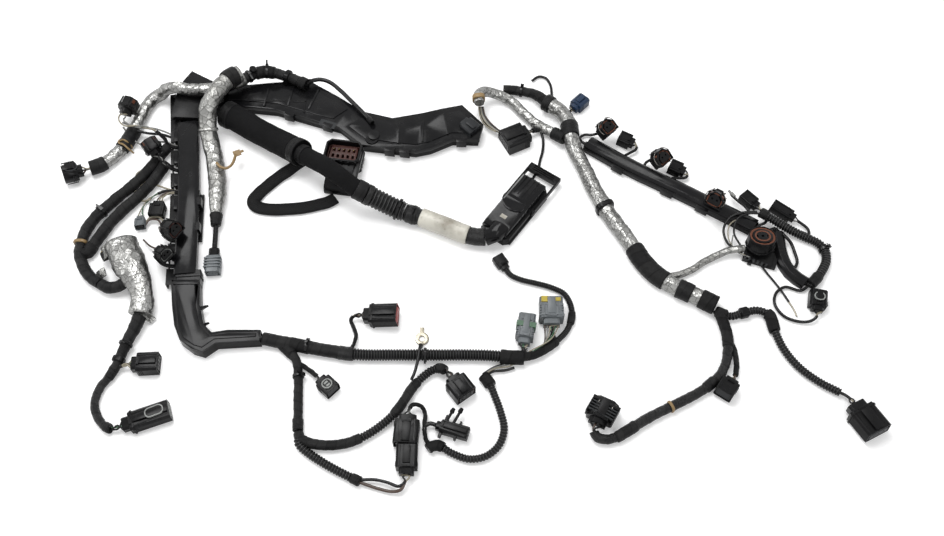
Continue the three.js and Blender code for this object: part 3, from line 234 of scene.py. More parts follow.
def grime_group() -> bpy.types.NodeTree:
    """Dust that settles on upper faces, with a patchy tone and a fine moulded grain.

    Returns:
        The group: Base, Dust, Amount and Grain in, Color, Roughness and Height out.
    """
    tree = new_group(
        "settled_grime",
        {
            "Base": (0.03, 0.03, 0.03), "Dust": (0.3, 0.28, 0.25), "Amount": 0.15, "Grain": 900.0,
            "Rough": 0.5,
        },
        {"Color": "NodeSocketColor", "Roughness": "NodeSocketFloat", "Height": "NodeSocketFloat"},
    )
    w = Wiring(tree)
    given, result = w.ends()
    where = w.add("ShaderNodeTexCoord").outputs["Object"]
    patches = w.window(w.noise(38.0, 5.0, where), 0.42, 0.72)
    specks = w.window(w.noise(300.0, 3.0, where), 0.58, 0.78)
    normal = w.add("ShaderNodeSeparateXYZ")
    w.join(w.add("ShaderNodeNewGeometry").outputs["Normal"], normal.inputs[0])
    upward = w.window(normal.outputs[2], -0.2, 1.0)
    cover = w.math(
        "MULTIPLY", w.math("ADD", w.math("MULTIPLY", patches, 0.7), w.math("MULTIPLY", specks, 0.35)),
        upward,
    )
    dust = w.math("MULTIPLY", cover, given.outputs["Amount"])
    tone = w.window(w.noise(14.0, 3.0, where), 0.3, 0.75)
    shade = w.blend(w.math("MULTIPLY", tone, 0.35), given.outputs["Base"], (0.0, 0.0, 0.0))
    w.join(w.blend(dust, shade, given.outputs["Dust"]), result.inputs["Color"])
    rough = w.math("ADD", given.outputs["Rough"], w.math("MULTIPLY", w.math("SUBTRACT", cover, 0.35), 0.3))
    w.join(rough, result.inputs["Roughness"])
    w.join(w.noise(given.outputs["Grain"], 2.0, where), result.inputs["Height"])
    return tree


def winding_group() -> bpy.types.NodeTree:
    """Tape wound round a cable: painted shade along the edge of each turn, its own tone and its cloth.

    Returns:
        The group: Pitch and Girth in metres in, Edge (where the painted shade along each turn's edge lies),
            Tone and Height out.
    """
    tree = new_group(
        "wound_tape",
        {"Pitch": 0.014, "Girth": 0.05},
        {"EdgeShade": "NodeSocketFloat", "Tone": "NodeSocketFloat", "Height": "NodeSocketFloat"},
    )
    w = Wiring(tree)
    given, result = w.ends()
    turned, along = w.turns()
    turn = w.math("ADD", w.math("DIVIDE", along, given.outputs["Pitch"]), turned)
    phase = w.math("FRACT", turn)
    # Painted shade along the edge of each turn, where the next turn steps over it.
    w.join(w.window(phase, 0.13, 0.0), result.inputs["EdgeShade"])
    wrap = w.add("ShaderNodeTexWhiteNoise", noise_dimensions="1D")
    w.join(w.math("FLOOR", turn), wrap.inputs["W"])
    w.join(wrap.outputs[0], result.inputs["Tone"])
    across = w.math("MULTIPLY", w.math("MULTIPLY", turned, given.outputs["Girth"]), THREADS)
    cloth = w.math("MULTIPLY", w.math("SINE", across), w.math("SINE", w.math("MULTIPLY", along, THREADS)))
    w.join(w.math("ADD", w.math("MULTIPLY", cloth, 0.25), phase), result.inputs["Height"])
    return tree


def ringing_group() -> bpy.types.NodeTree:
    """Rings moulded round a conduit, with a painted highlight along their crests.

    Returns:
        The group: Pitch in metres in, Crest (where the painted highlight lies) and Height out.
    """
    tree = new_group(
        "moulded_rings", {"Pitch": 0.0043}, {"CrestHighlight": "NodeSocketFloat", "Height": "NodeSocketFloat"}
    )
    w = Wiring(tree)
    given, result = w.ends()
    _, along = w.turns()
    rings = w.math("MULTIPLY", w.math("DIVIDE", along, given.outputs["Pitch"]), math.tau)
    swing = w.math("COSINE", rings)
    # Painted highlight along the crests of the rings.
    w.join(w.window(swing, 0.35, 0.95), result.inputs["CrestHighlight"])
    w.join(swing, result.inputs["Height"])
    return tree


def braiding_group() -> bpy.types.NodeTree:
    """Crossed strands of a braided sleeve, with painted shade in the gaps between them.

    Returns:
        The group: Girth and Strand in metres in, Gap (where the painted shade lies) and Height out.
    """
    tree = new_group(
        "crossed_braid",
        {"Girth": 0.05, "Strand": 0.003},
        {"GapShade": "NodeSocketFloat", "Height": "NodeSocketFloat"},
    )
    w = Wiring(tree)
    given, result = w.ends()
    turned, along = w.turns()
    across = w.math("MULTIPLY", turned, given.outputs["Girth"])
    left = w.math("DIVIDE", w.math("ADD", across, along), given.outputs["Strand"])
    right = w.math("DIVIDE", w.math("SUBTRACT", across, along), given.outputs["Strand"])
    over = w.math("ABSOLUTE", w.math("SINE", w.math("MULTIPLY", left, math.pi)))
    under = w.math("ABSOLUTE", w.math("SINE", w.math("MULTIPLY", right, math.pi)))
    top = w.math("MAXIMUM", over, under)
    w.join(top, result.inputs["Height"])
    # Painted shade in the gaps between strands.
    w.join(w.window(top, 0.75, 0.4), result.inputs["GapShade"])
    return tree


def creasing_group() -> bpy.types.NodeTree:
    """Foil that was crumpled and smoothed again: flat facets with sharp creases between them, and painted
    shade along the creases.

    Returns:
        The group: Scale per metre in, Crease (where the painted shade lies), Tone and Height out.
    """
    tree = new_group(
        "creased_foil",
        {"Scale": 150.0},
        {"CreaseShade": "NodeSocketFloat", "Tone": "NodeSocketFloat", "Height": "NodeSocketFloat"},
    )
    w = Wiring(tree)
    given, result = w.ends()
    where = w.add("ShaderNodeTexCoord").outputs["Object"]
    facets = w.add("ShaderNodeTexVoronoi", feature="F1")
    edges = w.add("ShaderNodeTexVoronoi", feature="DISTANCE_TO_EDGE")
    fine = w.add("ShaderNodeTexVoronoi", feature="F1")
    for node, scale in ((facets, given.outputs["Scale"]), (edges, given.outputs["Scale"])):
        w.join(where, node.inputs["Vector"])
        w.join(scale, node.inputs["Scale"])
    w.join(where, fine.inputs["Vector"])
    w.join(w.math("MULTIPLY", given.outputs["Scale"], 2.7), fine.inputs["Scale"])
    # Painted shade along the creases between facets.
    w.join(w.window(edges.outputs[0], 0.07, 0.0), result.inputs["CreaseShade"])
    tone = w.add("ShaderNodeSeparateXYZ")
    w.join(facets.outputs["Color"], tone.inputs[0])
    w.join(tone.outputs[0], result.inputs["Tone"])
    rough = w.math("MULTIPLY", fine.outputs["Distance"], 0.4)
    w.join(w.math("ADD", facets.outputs["Distance"], rough), result.inputs["Height"])
    return tree


GROUPS: dict[str, Callable[[], bpy.types.NodeTree]] = {
    "settled_grime": grime_group,
    "wound_tape": winding_group,
    "moulded_rings": ringing_group,
    "crossed_braid": braiding_group,
    "creased_foil": creasing_group,
}


@dataclass(frozen=True)
class Finish:
    """A surface finish: moulded plastic, metal or smooth insulation, under settled grime.

    Attributes:
        name: The finish's name.
        colour: Its clean colour.
        slot: The record's material slot that it stands for.
        rough: Its roughness.
        metallic: 1 for bare metal.
        dust: How much grime it carries.
        dust_colour: The grime's colour.
        grain: The grain's scale per metre.
        grain_depth: The grain's depth, in metres.
        coat: The strength of a clear gloss over it.
        gleam: The strength of its plain reflection.
    """

    name: str
    colour: Colour
    slot: str
    rough: float = 0.45
    metallic: float = 0.0
    dust: float = 0.16
    dust_colour: Colour = (0.055, 0.052, 0.047)
    grain: float = 700.0
    grain_depth: float = 0.00001
    coat: float = 0.0
    gleam: float = 0.5

    def material(self) -> bpy.types.Material:
        """Gives the finish's material, built the first time that it is asked for.

        Returns:
            The material.
        """
        found = bpy.data.materials.get(self.name)
        return found if found else self.build()

    def place(self, w: Wiring, group: str, **values: float) -> bpy.types.Node:
        """Places an effect group in the material.

        Args:
            w: The material's wiring.
            group: The group's name.
            values: What to set on its inputs, with a space written as an underscore.

        Returns:
            The group's node.
        """
        tree = bpy.data.node_groups.get(group) or GROUPS[group]()
        node = w.add("ShaderNodeGroup", node_tree=tree)
        for key, value in values.items():
            node.inputs[key.replace("_", " ")].default_value = value
        return node

    def build(self) -> bpy.types.Material:
        """Builds the material's nodes.

        Returns:
            The new material.
        """
        material = bpy.data.materials.new(self.name)
        material.use_nodes = True
        material.diffuse_color = (*self.colour, 1.0)
        w = Wiring(material.node_tree)
        shader = material.node_tree.nodes["Principled BSDF"]
        shader.inputs["Metallic"].default_value = self.metallic
        shader.inputs["Specular IOR Level"].default_value = self.gleam
        shader.inputs["Coat Weight"].default_value = self.coat
        shader.inputs["Coat Roughness"].default_value = 0.25
        grime = self.place(
            w,
            "settled_grime",
            Base=(*self.colour, 1.0),
            Dust=(*self.dust_colour, 1.0),
            Amount=self.dust,
            Grain=self.grain,
            Rough=self.rough,
        )
        self.dress(w, shader, grime)
        return material

    def dress(self, w: Wiring, shader: bpy.types.Node, grime: bpy.types.Node) -> None:
        """Joins the effects to the shader.

        Args:
            w: The material's wiring.
            shader: Its Principled shader.
            grime: The grime group's node.
        """
        self.paint(w, shader, grime, grime.outputs["Color"], grime.outputs["Height"], self.grain_depth)

    def paint(
        self,
        w: Wiring,
        shader: bpy.types.Node,
        grime: bpy.types.Node,
        colour: bpy.types.NodeSocket,
        height: bpy.types.NodeSocket,
        depth: float,
    ) -> None:
        """Joins a colour, the grime's roughness and a relief to the shader.

        Args:
            w: The material's wiring.
            shader: Its Principled shader.
            grime: The grime group's node.
            colour: The colour's socket.
            height: The relief's socket, from 0 to 1.
            depth: The height of 1, in metres.
        """
        w.join(colour, shader.inputs["Base Color"])
        w.join(grime.outputs["Roughness"], shader.inputs["Roughness"])
        relief = w.add("ShaderNodeBump")
        relief.inputs["Strength"].default_value = 1.0
        relief.inputs["Distance"].default_value = depth
        w.join(height, relief.inputs["Height"])
        w.join(relief.outputs[0], shader.inputs["Normal"])


@dataclass(frozen=True)
class TapeFinish(Finish):
    """Cloth tape wound round a bundle.

    Attributes:
        pitch: The length along the cable of one turn, in metres.
        girth: The distance round the cable, in metres.
        lift: The height of a turn's edge, in metres.
        pale_tone: The colour that the palest turns lean towards.
        seam: The colour of the painted shade along a turn's edge.
    """

    pitch: float = 0.013
    girth: float = 0.055
    lift: float = 0.0004
    pale_tone: Colour = (0.03, 0.0295, 0.029)
    seam: Colour = (0.001, 0.001, 0.001)

    def dress(self, w: Wiring, shader: bpy.types.Node, grime: bpy.types.Node) -> None:
        """Paints shade along the edge of each turn and gives the cloth its relief."""
        tape = self.place(w, "wound_tape", Pitch=self.pitch, Girth=self.girth)
        toned = w.blend(w.math("MULTIPLY", tape.outputs["Tone"], 0.35), grime.outputs["Color"], self.pale_tone)
        # Painted shade along the edge of each turn.
        edged = w.blend(w.math("MULTIPLY", tape.outputs["EdgeShade"], 0.8), toned, self.seam)
        self.paint(w, shader, grime, edged, tape.outputs["Height"], self.lift)


@dataclass(frozen=True)
class RingedFinish(Finish):
    """Corrugated conduit, with a painted highlight along the crests of its rings.

    Attributes:
        pitch: The distance from ring to ring, in metres.
        crest_highlight: The colour of the painted highlight along the crests.
        depth: The height of the rings' fine relief, in metres.
    """

    pitch: float = 0.0043
    crest_highlight: Colour = (0.034, 0.034, 0.034)
    depth: float = 0.0002

    def dress(self, w: Wiring, shader: bpy.types.Node, grime: bpy.types.Node) -> None:
        """Paints a highlight along the crests of the rings and rounds them."""
        rings = self.place(w, "moulded_rings", Pitch=self.pitch)
        # Painted highlight along the crests of the rings.
        pale_tone = w.blend(w.math("MULTIPLY", rings.outputs["CrestHighlight"], 0.8), grime.outputs["Color"], self.crest_highlight)
        self.paint(w, shader, grime, pale_tone, rings.outputs["Height"], self.depth)


@dataclass(frozen=True)
class BraidFinish(Finish):
    """Braided or woven sleeve.

    Attributes:
        strand: The width of a strand, in metres.
        girth: The distance round the sleeve, in metres.
        depth: The depth between strands, in metres.
        gap_shade: The colour of the painted shade between strands.
    """

    strand: float = 0.0032
    girth: float = 0.05
    depth: float = 0.0006
    gap_shade: Colour = (0.003, 0.003, 0.003)

    def dress(self, w: Wiring, shader: bpy.types.Node, grime: bpy.types.Node) -> None:
        """Paints shade into the gaps between strands and raises the strands."""
        braid = self.place(w, "crossed_braid", Girth=self.girth, Strand=self.strand)
        # Painted shade in the gaps between strands.
        shaded = w.blend(braid.outputs["GapShade"], grime.outputs["Color"], self.gap_shade)
        self.paint(w, shader, grime, shaded, braid.outputs["Height"], self.depth)


@dataclass(frozen=True)
class FoilFinish(Finish):
    """Bright foil with creases, smudged where it was handled.

    Attributes:
        facet: The number of facets per metre.
        depth: The depth of the creases, in metres.
        shade: The colour that the darkest facets lean towards.
        crease: The colour of the painted shade in the creases.
    """

    facet: float = 120.0
    depth: float = 0.0012
    shade: Colour = (0.24, 0.24, 0.235)
    crease: Colour = (0.05, 0.049, 0.046)

    def dress(self, w: Wiring, shader: bpy.types.Node, grime: bpy.types.Node) -> None:
        """Varies the foil's tone by facet and paints shade into its creases."""
        foil = self.place(w, "creased_foil", Scale=self.facet)
        toned = w.blend(w.math("MULTIPLY", foil.outputs["Tone"], 0.5), grime.outputs["Color"], self.shade)
        # Painted shade in the creases.
        creased = w.blend(w.math("MULTIPLY", foil.outputs["CreaseShade"], 0.85), toned, self.crease)
        self.paint(w, shader, grime, creased, foil.outputs["Height"], self.depth)


BLACK = Finish(
    "black_moulding", (0.0065, 0.0065, 0.007), "black_plastic", rough=0.33, dust=0.07, gleam=0.14
)
COVER = Finish("cover_moulding", (0.007, 0.007, 0.0078), "cover_plastic", rough=0.25, dust=0.07, gleam=0.16)
GREY = Finish(
    "grey_moulding", (0.125, 0.14, 0.15), "grey_plastic", rough=0.5, dust=0.35,
    dust_colour=(0.07, 0.065, 0.06),
)
SLATE = Finish("slate_moulding", (0.02, 0.0215, 0.0235), "grey_plastic", rough=0.45, dust=0.1, gleam=0.2)
BLUE = Finish("blue_moulding", (0.011, 0.028, 0.065), "blue_plastic", rough=0.4, gleam=0.3)
ORANGE_SEAL = Finish("orange_seal", (0.14, 0.044, 0.021), "terminal_red", rough=0.42, dust=0.1, gleam=0.3)
RED_SEAL = Finish("red_brown_seal", (0.05, 0.013, 0.009), "terminal_red", rough=0.5, dust=0.12, gleam=0.3)
PINK_SEAL = Finish("pink_seal", (0.42, 0.07, 0.065), "terminal_red", rough=0.45, dust=0.12, gleam=0.3)
GREY_SEAL = Finish("grey_seal", (0.27, 0.28, 0.27), "grey_plastic", rough=0.5, gleam=0.3)
YELLOW = Finish("yellow_lock", (0.5, 0.38, 0.02), "grey_plastic", rough=0.45)
OCHRE = Finish(
    "ochre_clip", (0.26, 0.17, 0.07), "grey_plastic", rough=0.5, dust=0.25, dust_colour=(0.08, 0.05, 0.03)
)
BROWN_WIRE = Finish("brown_wire", (0.055, 0.03, 0.018), "grey_plastic", rough=0.4)
CREAM_WIRE = Finish(
    "cream_wire", (0.3, 0.27, 0.2), "label_film", rough=0.4, dust=0.4, dust_colour=(0.1, 0.08, 0.06)
)
GREY_WIRE = Finish("grey_wire", (0.2, 0.2, 0.19), "grey_plastic", rough=0.4)
GREEN_WIRE = Finish("green_wire", (0.035, 0.11, 0.05), "grey_plastic", rough=0.4)
BLACK_WIRE = Finish(
    "black_wire", (0.0085, 0.0085, 0.009), "black_plastic", rough=0.3, dust=0.05, gleam=0.22
)
TIE = Finish("nylon_tie", (0.007, 0.007, 0.0075), "black_plastic", rough=0.3, dust=0.04, gleam=0.25)
STEEL = Finish("bail_steel", (0.2, 0.19, 0.175), "tinned", rough=0.32, metallic=1.0, dust=0.2)
TINNED = Finish(
    "tinned_copper", (0.3, 0.275, 0.22), "tinned", rough=0.42, metallic=1.0, dust=0.3,
    dust_colour=(0.1, 0.08, 0.05),
)
BRASS = Finish("pin_brass", (0.42, 0.33, 0.16), "tinned", rough=0.35, metallic=1.0, dust=0.1)
LABEL = Finish(
    "bare_label", (0.62, 0.6, 0.53), "label_film", rough=0.4, dust=0.95,
    dust_colour=(0.1, 0.075, 0.045), gleam=0.3,
)
TAPE = TapeFinish(
    "narrow_cloth_tape", (0.0065, 0.0065, 0.007), "cloth_tape", rough=0.45, dust=0.09, gleam=0.13
)
WIDE_TAPE = TapeFinish(
    "wide_cloth_tape", (
        0.006, 0.006, 0.0065
    ), "cloth_tape", rough=0.48, dust=0.08, pitch=0.02, girth=0.09, gleam=0.1
)
GLOSS_TAPE = TapeFinish(
    "glossy_tape", (
        0.005, 0.005, 0.0055
    ), "cloth_tape", rough=0.26, dust=0.05, pitch=0.016, girth=0.09, gleam=0.2
)
CLOTH = BraidFinish(
    "cloth_sleeve",
    (0.0095, 0.0095, 0.01),
    "cloth_tape",
    rough=0.8,
    dust=0.16,
    strand=0.0022,
    girth=0.13,
    depth=0.0005,
    dust_colour=(0.022, 0.0215, 0.021),
    gleam=0.07,
)
BRAID = BraidFinish(
    "flat_braid", (
        0.007, 0.007, 0.0075
    ), "braid", rough=0.5, dust=0.08, strand=0.0036, depth=0.0008, gleam=0.1
)
FOIL = FoilFinish(
    "crumpled_foil", (0.38, 0.38, 0.368), "foil", rough=0.39, metallic=1.0, dust=0.32,
    dust_colour=(0.13, 0.125, 0.115),
)
DULL_FOIL = FoilFinish(
    "scuffed_foil",
    (0.37, 0.37, 0.355),
    "foil",
    rough=0.44,
    metallic=0.9,
    dust=0.4,
    dust_colour=(0.13, 0.122, 0.11),
    facet=95.0,
)


def ringed(pitch: float) -> RingedFinish:
    """Gives the conduit finish for a distance between rings, in millimetres."""
    name = f"ringed_conduit_{round(pitch * 10)}"
    return RingedFinish(
        name, (0.005, 0.005, 0.0055), "conduit_plastic", rough=0.26, dust=0.05, gleam=0.24, pitch=pitch * MM
    )


# Routes, in layout millimetres

BACK_CABLE_LINE: Route = (
    (-403.5, 199.5, 8.4), (-370, 198, 8.4), (-300, 196, 8.4), (-235, 168, 8.4), (-190, 132, 8.4),
    (-130, 120, 8.4), (-75, 126, 8.4), (-30, 128, 8.4), (7, 126, 8.4),
)
FOIL_JOINT: Route = (
    (-552, -150.7, 11), (-540, -157, 11.5), (-524, -156, 14), (-506, -146, 20),
)
TAIL_LINE: Route = (
    (-104.7, -28.2, 17.25), (-95, -32, 16.9), (-83, -36, 16.5), (-50, -51, 16.5), (-17, -66, 16.5),
    (2, -72, 16.5), (17, -73, 17.5),
)
LEFT_CABLE_LINE: Route = (
    (-464, 150, 10), (-457, 103, 10), (-443, 6, 10), (-434, -76, 10), (-427, -150, 10),
    (-421, -185, 10),
)
ELBOW_CABLE_LINE: Route = (
    (-422, -182, 9), (-414, -213, 9), (-403, -236, 9), (-384, -245, 9), (-359, -241, 9),
    (-334, -239.5, 9), (-306, -239.5, 9),
)
LEAD_TO_PLUG1: Route = (
    (-457, 101, 8), (-476, 101, 8), (-489, 104, 10), (-498, 112, 24), (-513, 121, 30), (-534, 127, 31),
    (-556, 130, 31), (-567, 140, 31), (-564, 152, 32),
)
LEAD_TO_PLUG2: Route = (
    (-450, 56, 8), (-467, 56, 8), (-475, 56, 12), (-482, 57, 20), (-488, 60, 26), (-493, 65, 30),
    (-497, 70, 33),
)
LEAD_TO_PLUG3: Route = (
    (-444, 13, 8), (-466, 14, 8), (-479, 12, 9), (-488, 4, 9), (-489, -6, 9),
)
LEAD_TO_PLUG4: Route = (
    (-434, -74, 8), (-458, -74, 8), (-470, -68, 12), (-476, -62, 22), (-471, -64, 31), (-464, -68, 36),
)
LEAD_TO_PLUG5: Route = (
    (-444, 15, 8), (-466, 17, 7), (-478, 19, 6.5), (-488, 19, 4), (-500, 12, 4), (-512, -2, 4),
    (-516, -18, 4.5), (-514, -32, 7),
)
LEAD_TO_PLUG6: Route = (
    (-430, -118, 8), (-456, -118, 8), (-468, -114, 9), (-476, -106, 14), (-476, -102, 23),
    (-470, -106, 28),
)
RIGHT_CABLE_LINE: Route = (
    (180, 110.5, 7), (213, 86, 7), (256, 56, 7), (318, 19, 7), (377, -18, 7), (436, -56, 7),
)
LEAD_OUT1: Route = (
    (184, 107.5, 7), (174, 115, 7), (172, 124, 5), (180, 130, 5), (191, 129, 6), (199, 129, 9),
    (203, 127, 14), (205, 125, 20),
)
LEAD_OUT2: Route = (
    (431, -50.5, 9.2), (438, -47.5, 11.5), (446, -44, 12.5), (449, -34, 10.5), (446, -22, 9),
    (438, -12, 9),
)
INJECTOR_LEAD2: Route = (
    (262, 52, 6.5), (271, 67, 6.5), (274, 72, 8), (280, 73, 14), (284, 69, 22),
)
INJECTOR_LEAD3: Route = (
    (380, -20.5, 6.5), (389, -5, 6.5), (389, 0, 10), (383, 0, 20), (377, -5, 28), (373, -11, 34),
)
SMALL_LEAD1: Route = (
    (231, 73, 6.5), (241, 86, 6.5), (250, 92, 7), (260, 98, 8), (262, 105, 9), (256, 109, 9.5),
)
SMALL_LEAD2: Route = (
    (303, 28, 6.5), (312, 42, 6.5), (322, 43, 7), (334, 43, 8), (338, 49, 9), (332, 53, 9.5),
)
TRUNK_LINE: Route = (
    (-402, 158, 25), (-372, 140, 25), (-339, 117, 26), (-302, 91, 32), (-268, 64, 44),
)
NECK_LINE: Route = (
    (-270, 65, 43), (-246, 45, 51), (-228, 31, 56), (-202, 9, 58), (-182, -6, 53), (-166, -10.5, 44),
)
CONDUIT_LINE: Route = (
    (-165, -10.9, 43.3), (-148, -15.2, 33.5), (-130, -20, 24.5), (-117, -24, 19.5), (-107, -27.5, 17.6),
)
BRAID_LINE: Route = (
    (-216.5, 6.8, 4), (-228, -1, 4), (-244, -6, 4), (-264, -11, 4), (-293, -14, 4), (-320, -14, 4),
    (-338, -9, 4), (-344, 1, 4), (-338, 14, 4), (-325, 30, 4), (-308, 48, 4), (-292, 60, 6),
    (-279, 68, 11.4), (-270, 72, 16.2),
)
LEFT_FOIL_LINE: Route = (
    (-416, 196, 40), (-437, 195, 40), (-462, 195, 40), (-487, 199, 41), (-503, 204, 31),
    (-516, 207, 15), (-530, 200, 10.6), (-539, 181, 10), (-546, 154, 10), (-553, 128, 10),
    (-560, 108, 10), (-571, 88, 10), (-585, 72, 10), (-602, 60, 12), (-617, 53, 14.5),
)
DROP_LINE: Route = (
    (-380, 210, 60), (-392, 199, 63), (-403, 183, 64), (-413, 164, 64), (-421, 148, 58),
    (-424, 135, 45), (-424, 119, 30), (-419, 98, 19), (-411, 73, 15), (-405, 46, 14), (-400, 20, 14),
    (-398, -6, 14), (-396, -30, 13), (-395, -49, 11),
)
DROP_LEAD: Route = (
    (-395, -46, 11), (-394, -60, 10), (-393, -74, 10), (-392, -90, 10),
)
PAIR_UPPER: Route = (
    (-491.1, 101.6, 10), (-502.5, 82, 9), (-516, 55, 9), (-535, 28, 9), (-556, 4, 9), (-574, -19, 9),
    (-588, -42, 9), (-595, -69, 9), (-594, -97, 9.5), (-583, -121, 10), (-568, -140, 10.5),
    (-553, -150, 11),
)
PAIR_LOWER: Route = (
    (-490.2, 70, 9), (-498.6, 48, 9), (-510, 26, 9), (-525, 4, 9), (-543, -20, 9), (-559, -44, 9),
    (-572, -71, 9), (-584, -96, 9),
)
FOIL_BUNDLE_LINE: Route = (
    (-530, -88, 22), (-518, -110, 24), (-503, -136, 24), (-490, -159, 21), (-483, -181, 17),
    (-484, -203, 14),
)
LEFT_TAIL_LINE: Route = (
    (-484.2, -205.5, 13), (-489, -223, 12), (-496, -240, 10), (-501, -258, 9), (-505, -276, 9),
    (-509, -290, 9),
)
LEFT_LOOP_LINE: Route = (
    (-508, -284, 8), (-514, -298, 7), (-523, -312, 6.5), (-527, -327, 6.5), (-526, -343, 6.5),
    (-518, -360, 6.5), (-507, -371, 6.5), (-496, -376, 8.5), (-482, -371, 9),
)
SIX_WAY_LEAD: Route = (
    (-508, -286, 9), (-500, -283, 10), (-492, -281, 11), (-484, -280.5, 11),
)
BACK_RUN_LINE: Route = (
    (-412, 199, 37.6), (-395, 207, 38.3), (-378, 219, 38), (-364, 229, 37), (-348, 236, 36),
    (-330, 236, 33.4), (-309, 229, 32.7), (-290, 220, 32.6), (-274, 211, 32.6),
)
OVER_LEAD_LINE: Route = (
    (-278, 213, 33), (-265, 222, 31), (-254, 225, 30), (-239, 221, 29), (-220, 204, 28.5),
    (-200, 181, 28.5), (-183, 161, 28.5), (-170, 145, 28.5), (-163, 136, 28.5),
)
LOWER_TRUNK_LINE: Route = (
    (-303.2, -239.8, 10.5), (-282, -244, 10), (-256, -249, 9), (-232, -254, 9), (-205, -259, 9),
    (-180, -263, 9), (-154, -265, 9), (-120, -265, 9), (-84, -265, 9), (-49, -265, 9), (-13, -265, 9),
    (23, -266, 9), (51, -269, 9.5), (71, -270, 10),
)
GREY_BUNDLE_LINE: Route = (
    (66, -270, 10), (87, -264, 9), (104, -254, 8), (120, -241, 7), (134, -225, 6), (142, -204, 5),
    (142, -184, 5), (133, -164, 5), (114, -153, 5), (92, -146, 5), (70, -140, 5), (54, -132, 6),
    (47, -122, 7.5),
)
PINK_LEAD: Route = (
    (-178, -262, 9), (-172, -246, 8), (-170, -233, 7.5), (-175, -219, 7.5), (-179, -209, 8),
    (-174, -203, 10), (-160, -203.5, 12),
)
TWO_PIN_LEAD: Route = (
    (-286, -243, 10), (-268, -262, 7), (-250, -276, 6), (-230, -290, 7), (-215, -304, 9),
)
MIDDLE_DROP: Route = (
    (-276, -246, 9), (-260, -261, 8), (-251, -279, 7), (-247, -303, 7), (-245, -330, 7),
    (-243, -357, 7), (-241.5, -378.3, 7),
)
GREY_LEAD_A: Route = (
    (76, -267, 10), (72, -262, 11), (70, -257, 12), (71, -250, 12),
)
GREY_LEAD_B: Route = (
    (116, -243, 8), (114, -236, 11), (112, -228, 14), (112, -221, 14),
)
UPPER_ARC: Route = (
    (-240.6, -380.5, 7), (-237, -389, 7), (-223, -396, 7), (-201, -399, 7), (-174, -396, 7),
    (-148, -385, 7), (-125, -368, 7), (-107, -349, 7), (-96, -331, 7), (-86, -314, 7), (-73, -299, 7),
    (-60, -289, 8), (-47, -287, 11), (-37, -294, 13), (-31, -302, 13),
)
LOWER_ARC: Route = (
    (-240, -384, 7), (-238, -397, 7), (-224, -410, 7), (-201, -425, 7), (-177, -438, 7),
    (-152, -450, 7),
)
TALL_LEAD_A: Route = (
    (-156, -448, 8), (-134, -447, 7), (-116, -451, 8), (-100, -457, 10), (-92, -452, 12),
    (-90.5, -446, 12.5), (-90.5, -442.5, 12.5),
)
TALL_LEAD_B: Route = (
    (-156, -449, 6), (-130, -458, 5), (-108, -463, 6), (-97, -461, 9), (-91.5, -450, 12),
)
LOOP_LINE: Route = (
    (-63, -405, 8), (-58, -401, 8), (-49, -399, 7), (-30, -410, 6), (-7, -418, 6), (16, -414, 6),
    (34, -398, 6), (41, -375, 6), (37, -352, 6), (29, -327, 6), (21, -307, 6.5), (13, -296, 7),
)
LOOP_TAIL: Route = (
    (14, -298, 7), (27, -289, 5), (44, -287, 4.5), (57, -283, 4.5),
)
TALL_UPPER_LEAD: Route = (
    (-60, -400, 8), (-66, -390, 8), (-68, -372, 9), (-68, -352, 10), (-75, -343, 12), (-86, -343, 12.5),
    (-90, -351, 12.5), (-90.5, -358.3, 12.5),
)
CLIP_LEAD: Route = (
    (-68, -380, 9), (-67, -372, 9), (-60, -368.5, 9), (-52, -371, 9.5),
)
GROUND_LEAD: Route = (
    (-88, -307, 16), (-84, -298, 18), (-80, -282, 19), (-78, -268, 19.5), (-77, -259, 19.3),
    (-76, -253.8, 16), (-76, -252.8, 10), (-76, -251, 4.6),
)
RIGHT_FOIL_LINE: Route = (
    (117, 188, 18), (130, 178, 18), (144, 164, 19), (153, 144, 20), (155, 117, 20), (161, 91, 16),
    (173, 60, 13.5), (188, 18, 13), (205, -23, 13), (224, -59, 13), (240, -88, 13), (253, -114, 13),
    (269, -135, 13), (288, -151, 13), (311, -164, 13), (334, -177, 13), (353, -188, 13),
)
SHORT_FOIL_LINE: Route = (
    (9, 172, 34), (8, 189, 34), (15, 201, 28), (30, 205, 20), (47, 203, 13), (62, 195, 9.5),
    (74, 181, 9), (87, 164, 9), (101, 149, 9.5), (117, 136, 11), (133, 124, 14), (146, 113, 18),
)
THIN_FOIL_LINE: Route = (
    (266, -133, 12), (283, -136, 7), (303, -133, 6), (327, -123, 6), (344, -111, 6), (363, -101, 7),
    (380, -94, 10), (394, -92, 13), (407.6, -91, 14.5),
)
TOP_TAPE_LINE: Route = (
    (49, 221, 9), (65, 220, 9), (87, 215, 10), (105, 205, 13), (119, 188, 17),
)
HOOK_LINE: Route = (
    (122, 190, 12), (129, 206, 5), (130, 222, 3.5), (128, 238, 3.5), (121, 251, 3.5), (110, 254, 3.5),
    (98, 245, 3.5),
)
UNIT_LEAD: Route = (
    (107, 141, 9), (112, 122, 5), (111, 100, 3.2), (106, 80, 2.9), (102, 62, 2.9), (94.5, 47, 2.9),
    (87.6, 35.6, 2.9),
)
BLACK_PLUG_LEAD: Route = (
    (112, 138, 10), (102, 136, 10), (94, 132, 12), (88, 129, 12),
)
BLUE_LEAD: Route = (
    (146, 158, 18), (154, 170, 10), (163, 180, 9.5),
)
RIGHT_DROP_LINE: Route = (
    (355.2, -194.6, 12), (360, -210, 10), (364, -232, 9), (362, -260, 8.5), (350, -291, 8),
    (328, -312, 7.5), (301, -329, 7.5), (269, -345, 7.5), (238, -361, 7.5), (212, -377, 7.5),
    (193, -388, 7.5), (177, -391, 8.5), (166, -387, 10.5), (163, -379, 12), (167, -371, 12),
)
